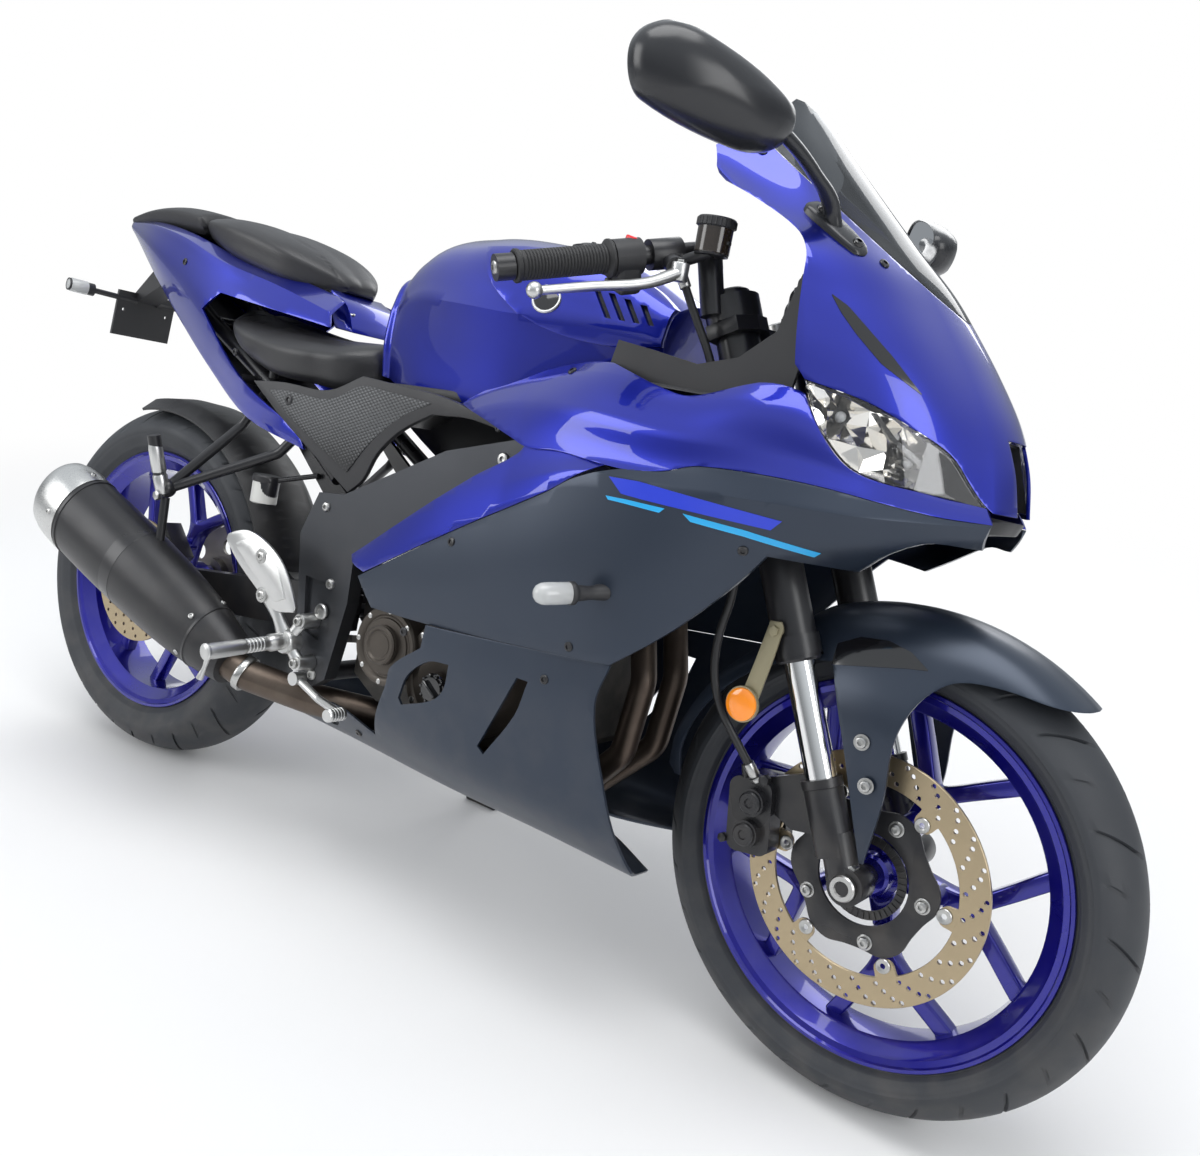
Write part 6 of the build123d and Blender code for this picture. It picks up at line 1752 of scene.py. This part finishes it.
# graphics and screws on the side panels
sideTrim = {"blueBar": ([(352, 688), (392, 690), (560, 681)], [(372, 672), (400, 671), (548, 669)]),
            "cyanBar": ([(452, 666), (520, 663), (596, 655)], [(462, 659), (520, 656), (588, 649)]),
            "cyanDash": ([(352, 666), (380, 667), (430, 667)], [(356, 662), (380, 662), (424, 661)]),
            "screws": [(-644, 872, "tail"), (-440, 742, "tail"), (118, 560, "side"), (330, 480, "side"),
                       (232, 800, "side"), (520, 640, "side"), (300, 430, "belly"), (60, 425, "belly"),
                       (-60, 236, "belly")]}


def guideSurface(stations, creases):
    right = sheetFrom("guide", panelRows(stations, creases), 2)
    return surfaceOf(joined("guides", leftToo(right)))


def buildSideTrim():
    surfaces = {"side": guideSurface(sideStations, [2, 4]), "belly": guideSurface(bellyStations, []),
                "tail": guideSurface(tailStations, [1])}
    for key, colour in (("blueBar", "stripeBlue"), ("cyanBar", "stripeCyan"), ("cyanDash", "stripeCyan")):
        high, low = sideTrim[key]
        bars = [wrapped(key, surfaces["side"], high, low, side, 0.45, 44, 4, 0.6) for side in (-1, 1)]
        finishPiece(joined(key, bars), "chassis", finish[colour])
    screws = [screwOn(surfaces[where], x, z, side, 6, 2.4) for x, z, where in sideTrim["screws"] for side in (-1, 1)]
    finishPiece(joined("panelScrews", screws), "chassis", finish["satinBlack"])


buildSideTrim()


# side covers over the frame
coverLine = [(-379, 705), (-310, 712), (-215, 714), (-150, 744), (-96, 742), (22, 736), (172, 700), (63, 716),
             (-8, 711), (-60, 680), (-98, 641), (-118, 600), (-143, 576), (-297, 655)]
reliefLine = [(-340, 696), (-302, 701), (-208, 702), (-148, 730), (-96, 730), (-10, 726), (-60, 700), (-112, 655),
              (-150, 604), (-288, 664)]


def sideBolts(name, rows):
    # a domed bolt on both sides for each x, distance out, z, radius and height
    return [roundBolt(name, (x, side * out, z), (0, side, 0), radius, height)
            for x, out, z, radius, height in rows for side in (-1, 1)]


def buildSideCovers():
    base = prism("base", softLine(coverLine, 4, 26), 147, 155)
    for corner in base.data.vertices:
        if corner.co.y > 150:
            corner.co.y += 2.2 * max(0, 1 - abs(corner.co.z - 690) / 90)
    rounded(base, 2.2, 3, 40)
    relief = prism("relief", softLine(reliefLine, 4, 26), 150, 157.6)
    rounded(relief, 1.4, 2, 40)
    whole = joined("sideCovers", leftToo(base))
    finishPiece(whole, "chassis", finish["mouldedBlack"], ("side_covers",))
    finishPiece(joined("coverReliefs", leftToo(relief)), "chassis", finish["textureBlack"])
    caps = sideBolts("cap", [(-292, 156.5, 688, 8.5, 3), (110, 156, 712, 5, 2)])
    finishPiece(joined("coverCaps", caps), "chassis", finish["satinBlack"])


buildSideCovers()


# footrests with their heel plates
heelLine = [(-313, 468), (-309, 478), (-268, 491), (-215, 478), (-178, 452), (-146, 405), (-148, 397), (-190, 391),
            (-235, 414), (-285, 444)]
heelInner = [(-292, 466), (-266, 478), (-222, 467), (-190, 446), (-168, 412), (-192, 404), (-232, 426)]
restArms = [([(-178, 188, 346), (-170, 186, 362), (-161, 182, 380)], [(11, 9), (9, 8), (11, 9)]),
            ([(-178, 188, 346), (-168, 186, 333), (-156, 182, 318)], [(11, 9), (9, 8), (11, 9)]),
            ([(-182, 192, 352), (-196, 198, 378), (-214, 207, 406)], [(13, 10), (10, 8), (14, 7)])]
restBosses = [(-161, 380), (-156, 318)]
heelScrews = [(-230, 461), (-217, 406)]
pillionPeg = [(0.02, 0), (9.4, 0), (10.8, 4), (11.2, 30), (10, 32), (10, 36), (11.2, 38), (10.8, 72), (9, 84),
              (6, 90), (0.02, 91)]


def buildFootrests():
    plate = rounded(prism("plate", softLine(heelLine, 5, 60), 211, 216), 1.3, 2, 40)
    raised = rounded(prism("raised", softLine(heelInner, 5, 60), 214, 217.4), 0.9, 2, 40)
    hub = lathe("hub", [(8, 178), (19, 178), (19, 196), (17, 200), (8, 200)], 36, (-178, 0, 346), (0, 1, 0))
    pieces = [plate, raised, hub]
    pieces += [limb("arm", points, sizes, 20, 5, (0, 1, 0)) for points, sizes in restArms]
    pieces += [rod("boss", (x, 158.3, z), (x, 190, z), 12, 11) for x, z in restBosses]
    peg = [(0.02, 0), (12, 0), (13, 3), (13, 24), (10.5, 28), (10.5, 34)]
    for at in range(40, 70, 6):
        peg += [(10.5, at), (9.6, at + 1), (9.6, at + 3), (10.5, at + 4)]
    peg += [(11, 72), (11.4, 120), (10.6, 128), (12, 129.5), (12, 132), (9, 134), (0.02, 134)]
    pieces.append(lathe("peg", peg, 28, (-180, 196, 346), (-4, 134, -10), closed=False))
    pieces.append(limb("feeler", [(-183.6, 322, 330), (-186, 323, 314), (-192, 324, 296)],
                       [(4.2, 4.2), (3, 3), (5, 5)], 14, 4))
    whole = joined("riderFootrests", leftToo(joined("footrestSet", pieces)))
    finishPiece(whole, "chassis", finish["satinAlloy"], ("rider_footrests",), 38)
    bolts = sideBolts("bolt", [(x, 217, z, 7, 4) for x, z in heelScrews] + [(x, 190, z, 8, 6) for x, z in restBosses])
    for side in (-1, 1):
        bolts += [lathe("ring", [(5, 0), (11, 0), (11, 2), (9.6, 3), (5, 3)], 28, (x, side * 216, z), (0, side, 0))
                  for x, z in heelScrews]
        bolts.append(hexBolt("bolt", (-178, side * 199, 346), (0, side, 0), 10, 6))
    finishPiece(joined("footrestBolts", bolts), "chassis", finish["plainSteel"])
    pegs = besideBoth(lambda side: lathe("peg", pillionPeg, 24, (-486, side * 208, 502), (-10, side * 24, 88),
                                         closed=False))
    finishPiece(joined("pillionPegs", pegs), "chassis", finish["satinAlloy"])
    line = [(6, 0), (9.6, 0)]
    for number in range(5):
        line += [(radius, at + number * 5.4) for radius, at in ((9.6, 1), (9.6, 4), (8.6, 4.6), (8.6, 5.6))]
    line += [(9.6, 28), (8.4, 30), (6, 30)]
    pads = [lathe("pad", line, 24, (x, y, z), (0, y, 0)) for x, y, z in ((-50, -186, 274), (-54, 186, 300))]
    finishPiece(joined("pedalPads", pads), "chassis", finish["satinAlloy"])
    print("footrests made")


buildFootrests()


# engine details: cover rims, bolts and the oil filler
# covers: x, y, z of the rim's foot and its radius, then the bolts' circle, count and size, and how deep they sit
engineCovers = [(120, -168, 372, 84, 77, 10, 4.6, -167), (0, -176, 386, 56, 50, 8, 4.2, -175),
                (70, 162, 372, 82, 75, 9, 4.6, 161)]
frameBolts = [(-148, 161.5, 397, 12, 5), (-142, 157, 440, 8, 6), (130, 157.5, 674, 9, 5), (-150, 157.5, 300, 8, 5),
              (-176, 157.5, 548, 7, 5)]


def buildEngineTrim():
    rims, bolts = [], []
    for x, y, z, radius, circle, count, size, boltY in engineCovers:
        line = [(radius - 13, 0), (radius - 1.5, 0), (radius - 0.5, 1), (radius - 3, 3.2), (radius - 9, 3.2),
                (radius - 12, 1.4)]
        rims.append(lathe("rim", line, 72, (x, y, z), (0, y, 0)))
        line = [(0.02, 0), (radius * 0.72, 0), (radius * 0.7, 1.8), (radius * 0.4, 3), (0.02, 3.4)]
        rims.append(lathe("dome", line, 64, (x, y, z), (0, y, 0), closed=False))
        bolts += [hexBolt("bolt", Vector((x, boltY, z)) + ringSpot(circle, math.tau * number / count), (0, y, 0),
                          size, 4.5) for number in range(count)]
    bolts += sideBolts("frameBolt", frameBolts)
    line = [(14, 0), (27.5, 0), (27.5, 3), (25, 5), (22, 5), (20, 2.6), (14, 2)]
    rims.append(lathe("capRing", line, 48, (-2, -184, 388), (0, -1, 0)))
    line = [(0.02, 0), (18, 0), (17, 2.8), (0.02, 3.4)]
    rims.append(lathe("capFace", line, 40, (-2, -184, 388), (0, -1, 0), closed=False))
    finishPiece(joined("engineRims", rims), "chassis", finish["bronzeCast"])
    finishPiece(joined("engineBolts", bolts), "chassis", finish["plainSteel"])
    line = [(0.02, 0), (21, 0), (21.5, 1.5), (20, 4), (17, 4), (16, 7), (0.02, 7)]
    cap = [lathe("oilCap", line, 40, (103, -182, 356), (0, -1, 0), closed=False)]
    for number in range(10):
        spot = Vector((103, -187, 356)) + ringSpot(18.5, math.tau * number / 10)
        cap.append(rounded(block("lug", spot, (4, 6, 4), 36 * number), 0.8, 1, 30))
    cap.append(rounded(block("grip", (103, -191, 356), (28, 7, 6), 35), 1.5, 2, 30))
    finishPiece(joined("oilFiller", cap), "chassis", finish["glossBlack"])
    print("engine trim made")


buildEngineTrim()


# silencer trim and its end cap
silencerFront = Vector((-286, -190, 284))
silencerRise = Vector((-455, -26, 166)).normalized()
silencerCap = [(414, 57, 72), (420, 57.6, 72.6), (440, 57.4, 72.4), (462, 55.4, 70.2), (478, 52, 66), (484, 48.5, 62),
               (483, 44, 57), (474, 40, 52), (446, 38, 50)]
silencerPipe = [(441, 19, 19), (472, 19, 19), (474, 18, 18), (473, 16.4, 16.4), (446, 16, 16)]
# bands: place along, half width, half height, width and how proud they stand
silencerBands = [(62, 44.6, 54.6, 5, 1.3), (404, 56.4, 71.6, 5, 1.3), (250, 55.2, 70, 26, 0.9)]
pipeClamps = [((60, -40, 246), (40, -42, 246), 27.5), ((-262, -178, 268), (-276, -183, 273), 27),
              ((-296, -190, 279), (-306, -193, 282), 30)]


def silencerRing(along, wide, tall, count=64):
    across = (Vector((0, 1, 0)) - silencerRise * silencerRise.y).normalized()
    up = silencerRise.cross(across)
    centre = silencerFront + silencerRise * along
    return [centre + across * wide * math.cos(math.tau * k / count) + up * tall * math.sin(math.tau * k / count)
            for k in range(count)]


def buildSilencer():
    cap = closedLoft("silencerTip", [silencerRing(*row) for row in silencerCap])
    finishPiece(cap, "chassis", finish["brushedSteel"], ("silencer_cap",), 40)
    core = closedLoft("outlet", [silencerRing(*row) for row in ((440, 37.6, 49.6), (441, 37.6, 49.6))])
    pipe = closedLoft("outletPipe", [silencerRing(*row) for row in silencerPipe])
    finishPiece(joined("silencerMouth", [core, pipe]), "chassis", finish["satinBlack"])
    bands = []
    for along, wide, tall, width, grow in silencerBands:
        bands.append(closedLoft("band", [silencerRing(along + step, wide + proud, tall + proud) for step, proud in
                                         ((0, 0), (1, grow), (width, grow), (width + 1, 0))]))
    finishPiece(joined("silencerBands", bands), "chassis", finish["satinBlack"], (), 40)
    rivets = []
    for along, wide, tall, count in ((430, 57.4, 72.4, 4), (78, 46.4, 56.9, 5)):
        ring = silencerRing(along, wide, tall, count)
        centre = silencerFront + silencerRise * along
        rivets += [roundBolt("rivet", p, p - centre, 4.6, 2.4) for p in ring]
    rivets.append(hexBolt("strapBolt", (-484, -216, 500), (0, -1, 0), 8, 7))
    finishPiece(joined("silencerRivets", rivets), "chassis", finish["plainSteel"])
    clamps = []
    for start, end, radius in pipeClamps:
        line = [(radius - 3, 0), (radius, 0), (radius + 1, 1.5), (radius + 1, 10), (radius, 11.5), (radius - 3, 11.5)]
        clamps.append(lathe("clamp", line, 40, start, Vector(end) - Vector(start)))
    finishPiece(joined("pipeClamps", clamps), "chassis", finish["plainSteel"])
    print("silencer made")


buildSilencer()


# chain and the rear sprocket
driveDetail = {"line": 86, "links": 102, "front": ((-95, 385), 34), "rear": ((-690, 314), 104), "rearTeeth": 41,
               "plate": 6.2, "roller": 4.4}
toothLine = [(0.0, 97), (0.22, 98.5), (0.4, 103.5), (0.6, 103.5), (0.78, 98.5)]


def chainLine():
    # closed line round both sprockets
    (ax, az), ar = driveDetail["front"]
    (bx, bz), br = driveDetail["rear"]
    gap = math.hypot(bx - ax, bz - az)
    base = math.atan2(bz - az, bx - ax)
    swing = math.acos((ar - br) / gap)
    line = []
    for k in range(61):
        a = base + swing - (2 * swing) * k / 60
        line.append((bx + br * math.cos(a), bz + br * math.sin(a)))
    for k in range(41):
        a = base - swing - (math.tau - 2 * swing) * k / 40
        line.append((ax + ar * math.cos(a), az + ar * math.sin(a)))
    return line + line[:1]


def buildChain():
    line = chainLine()
    count = driveDetail["links"]
    pins = [alongLine(line, k / count) for k in range(count)]
    points, faces = [], []

    def addSlab(outline, middle, half):
        corners, sides = prismParts(outline, middle - half, middle + half, len(points))
        points.extend(corners)
        faces.extend(sides)

    half, roller = driveDetail["plate"], driveDetail["roller"]
    for k in range(count):
        (px, pz), (qx, qz) = pins[k], pins[(k + 1) % count]
        a = math.atan2(qz - pz, qx - px)
        outline = []
        for cx, cz, turn in ((qx, qz, a - math.pi / 2), (px, pz, a + math.pi / 2)):
            angles = [turn + math.pi * s / 4 for s in range(5)]
            outline += [(cx + half * math.cos(angle), cz + half * math.sin(angle)) for angle in angles]
        for side in (-1, 1):
            addSlab(outline, driveDetail["line"] + side * (3.6 if k % 2 else 5.4), 0.8)
        angles = [math.tau * s / 8 for s in range(8)]
        addSlab([(px + roller * math.cos(angle), pz + roller * math.sin(angle)) for angle in angles],
                driveDetail["line"], 6.8)
    chain = fixNormals(fromFaces("driveChain", points, faces))
    finishPiece(chain, "chassis", finish["chainSteel"], ("chain",), 30)


def buildSprocket():
    star = []
    for number in range(driveDetail["rearTeeth"]):
        for share, reach in toothLine:
            a = math.tau * (number + share) / driveDetail["rearTeeth"]
            star.append((reach * math.cos(a), reach * math.sin(a)))
    middle = driveDetail["line"]
    plate = prism("plate", star, middle - 2.8, middle + 2.8)
    cutWith(plate, disc("bore", (0, middle, 0), (0, 1, 0), 36, 30, 40))
    holes = [disc("hole", ringSpot(70, math.tau * number / 5, middle), (0, 1, 0), 15, 30, 24) for number in range(5)]
    cutWith(plate, joined("holes", holes))
    hub = lathe("hub", [(10, 68), (39, 68), (39, 88.5), (30, 91), (18, 92), (10, 92)], 48, (0, 0, 0), (0, 1, 0))
    nuts = [hexBolt("nut", ringSpot(54, math.tau * (number + 0.5) / 5, 88), (0, 1, 0), 7.5, 6)
            for number in range(5)]
    whole = joined("rearSprocket", [rounded(plate, 0.5, 1, 40), hub] + nuts)
    whole.data.transform(Matrix.Translation(rearAxle))
    finishPiece(whole, "rear_wheel", finish["chainSteel"], ("rear_sprocket",), 30)
    print("drive made")


buildChain()
buildSprocket()

# tail end, lamps and small fittings
tailTrim = {"bottleFoot": (-352, -124, 519), "bottle": [(0.02, 0), (18, 0), (20.6, 2), (20.6, 34), (0.02, 34)],
            "bottleLid": [(0.02, 34), (21, 34), (21.6, 35.5), (21.6, 43), (20, 45), (0.02, 45)],
            "turnLens": [(0.02, 0), (11.8, 0), (12, 2), (12, 28), (9, 32.5), (0.02, 34)],
            "spool": [(0.02, 0), (7, 0), (7, 2), (4.6, 2), (4.6, 0.5), (0.02, 0.5)],
            "springFrom": (-183, 0, 545), "springTo": (-268, 0, 428), "springTurns": 8, "springRadius": 29}


def buildSpring():
    start, end = Vector(tailTrim["springFrom"]), Vector(tailTrim["springTo"])
    across = Vector((0, 1, 0))
    up = (end - start).normalized().cross(across)
    radius, steps = tailTrim["springRadius"], tailTrim["springTurns"] * 16
    points = []
    for k in range(steps + 1):
        a = math.tau * k / 16
        points.append(start + (end - start) * (k / steps) + (across * math.cos(a) + up * math.sin(a)) * radius)
    spring = tube("shockSpring", points, 5.2, 4)
    finishPiece(spring, "chassis", finish["wheelPaint"], (), 60)


def buildTailTrim():
    lens = rounded(block("tailLens", (-931.5, 0, 935), (13, 36, 21)), 4, 4, 30)
    finishPiece(lens, "chassis", finish["redLens"], ("tail_lamp",))
    rim = rounded(block("tailLensRim", (-925, 0, 935), (8, 40, 25)), 3, 3, 30)
    finishPiece(rim, "chassis", finish["mouldedBlack"])
    lenses = besideBoth(lambda side: lathe("lens", tailTrim["turnLens"], 28, (-904, side * 120, 800.6),
                                           (-6.4, side * 33, 1.4), closed=False))
    finishPiece(joined("rearTurnLenses", lenses), "chassis", finish["lensFrost"])
    for name, line, look in (("rearBottle", "bottle", "paleBottle"), ("rearBottleLid", "bottleLid", "mouldedBlack")):
        part = lathe(name, tailTrim[line], 40, tailTrim["bottleFoot"], (0, 0, 1), closed=False)
        finishPiece(part, "chassis", finish[look])
    bolts = sideBolts("hangBolt", [(-400, 105.6, 700, 6, 4)])
    for side in (-1, 1):
        out = (0, side, 0)
        bolts.append(hexBolt("axleNut", (-690, side * 143.5, 314), out, 14, 9))
        bolts.append(lathe("axleWasher", [(10, 0), (21, 0), (21, 2), (10, 2)], 32, (-690, side * 130, 314), out))
        bolts.append(hexBolt("adjuster", (-747, side * 116, 320), (-1, 0, 0), 6, 12))
        bolts.append(lathe("spool", tailTrim["spool"], 20, (-640, side * 130, 326), out, closed=False))
        bolts.append(roundBolt("humpScrew", (-303, side * 50, 834), (0.2, side * 0.2, 1), 5, 2))
    finishPiece(joined("tailBolts", bolts), "chassis", finish["plainSteel"])
    print("tail trim made")


buildTailTrim()
buildSpring()

# softer edges on the parts that keep their own shape
edgeWidths = {"main_frame": 1.6, "subframe": 1.0, "swingarm": 1.8, "yokes": 1.6, "front_caliper": 1.2,
              "rear_brake": 1.2, "engine": 1.8, "engine_covers": 1.6, "undertail": 0.8, "cockpit": 1.0,
              "fork_feet": 0.8, "brake_master": 0.8,
              "side_stand": 1.0, "radiator": 1.0, "hugger": 0.8}


def softenEdges(node, width):
    piece = nodes[node]
    weld = piece.modifiers.new("weld", "WELD")
    weld.merge_threshold = 0.00002
    flat = piece.modifiers.new("flat", "DECIMATE")
    flat.decimate_type = "DISSOLVE"
    flat.angle_limit = math.radians(0.6)
    edge = piece.modifiers.new("edge", "BEVEL")
    edge.width = width / 1000
    edge.segments = 2
    edge.limit_method = "ANGLE"
    edge.angle_limit = math.radians(38)
    edge.use_clamp_overlap = True


for nodeName, edgeWidth in edgeWidths.items():
    softenEdges(nodeName, edgeWidth)
print("edges softened")


# room, light and camera
studio = {"worldLight": 0.62, "shineRange": (0.32, 0.95), "floorFade": (1.5, 3.6),
          "softBoxes": [("overhead", (0.4, -0.6, 4.2), (3.4, 2.2), 95),
                        ("viewerLeft", (-3.0, -3.2, 2.2), (2.0, 2.4), 60),
                        ("noseSide", (4.2, -1.2, 2.0), (1.6, 2.4), 45),
                        ("farSide", (-0.5, 3.8, 2.4), (3.0, 1.6), 40)]}
white = (1, 1, 1, 1)


def makeFloor():
    bpy.ops.mesh.primitive_plane_add(size=60, location=(0, 0, -0.0004))
    floor = newPiece("studioFloor")
    pale = bpy.data.materials.new("paleFloor")
    pale.use_nodes = True
    tree = pale.node_tree
    shader = tree.nodes["Principled BSDF"]
    shader.inputs["Base Color"].default_value = (0.86, 0.86, 0.86, 1)
    shader.inputs["Roughness"].default_value = 0.9
    # far from the machine the floor goes over into the white room
    near, far = studio["floorFade"]
    place = addNode(tree, "TexCoord")
    reach = addNode(tree, "VectorMath", operation="LENGTH")
    fade = addNode(tree, "MapRange", {"From Min": near, "From Max": far}, interpolation_type="SMOOTHSTEP")
    seenWhite = addNode(tree, "Emission", {"Color": white})
    path = addNode(tree, "LightPath")
    only = addNode(tree, "Math", operation="MULTIPLY")
    mixed = addNode(tree, "MixShader")
    wire(tree, (place, "Object", reach, 0), (reach, "Value", fade, "Value"), (fade, "Result", only, 0),
         (path, "Is Camera Ray", only, 1), (only, 0, mixed, 0), (shader, 0, mixed, 1), (seenWhite, 0, mixed, 2),
         (mixed, 0, tree.nodes["Material Output"], "Surface"))
    floor.data.materials.append(pale)


def makeWorld():
    world = bpy.data.worlds.new("paleRoom")
    bpy.context.scene.world = world
    world.use_nodes = True
    tree = world.node_tree
    tree.nodes.clear()
    seen = addNode(tree, "Background", {"Color": white, "Strength": 1.0})
    lit = addNode(tree, "Background", {"Color": (0.93, 0.96, 1, 1), "Strength": studio["worldLight"]})
    shine = addNode(tree, "Background", {"Color": (0.9, 0.95, 1, 1)})
    # what gloss shows: a darker horizon under a bright ceiling
    dark, bright = studio["shineRange"]
    way = addNode(tree, "TexCoord")
    parts = addNode(tree, "SeparateXYZ")
    level = addNode(tree, "MapRange", {"From Min": 0.02, "From Max": 0.62, "To Min": dark, "To Max": bright},
                    interpolation_type="SMOOTHSTEP")
    path = addNode(tree, "LightPath")
    clear = addNode(tree, "Math", operation="MAXIMUM")
    first = addNode(tree, "MixShader")
    second = addNode(tree, "MixShader")
    output = addNode(tree, "OutputWorld")
    wire(tree, (way, "Generated", parts, 0), (parts, "Z", level, "Value"), (level, "Result", shine, "Strength"),
         (path, "Is Glossy Ray", first, 0), (lit, 0, first, 1), (shine, 0, first, 2),
         (path, "Is Camera Ray", clear, 0), (path, "Is Transmission Ray", clear, 1), (clear, 0, second, 0),
         (first, 0, second, 1), (seen, 0, second, 2), (second, 0, output, "Surface"))


def addLights():
    for name, place, size, power in studio["softBoxes"]:
        bpy.ops.object.light_add(type="AREA", location=place)
        lamp = bpy.context.object
        lamp.name = name
        lamp.data.shape = "RECTANGLE"
        lamp.data.size, lamp.data.size_y = size
        lamp.data.energy = power
        lamp.rotation_euler = (Vector((0, 0, 0.5)) - Vector(place)).to_track_quat("-Z", "Y").to_euler()


makeFloor()
makeWorld()
addLights()


def setCamera():
    camera = bpy.data.cameras.new("standingViewer")
    camera.sensor_width = 36
    camera.lens = 34.23
    viewer = bpy.data.objects.new("standingViewer", camera)
    bpy.context.scene.collection.objects.link(viewer)
    forward = Vector((-0.530, 0.7945, -0.2984)).normalized()
    up = Vector((-0.235, 0.1997, 0.9513))
    right = forward.cross(up).normalized()
    up = right.cross(forward).normalized()
    viewer.matrix_world = Matrix(((right.x, up.x, -forward.x, 1.068), (right.y, up.y, -forward.y, -1.346),
                                  (right.z, up.z, -forward.z, 1.001), (0, 0, 0, 1)))
    bpy.context.scene.camera = viewer


setCamera()
bpy.context.scene.view_settings.view_transform = "Standard"
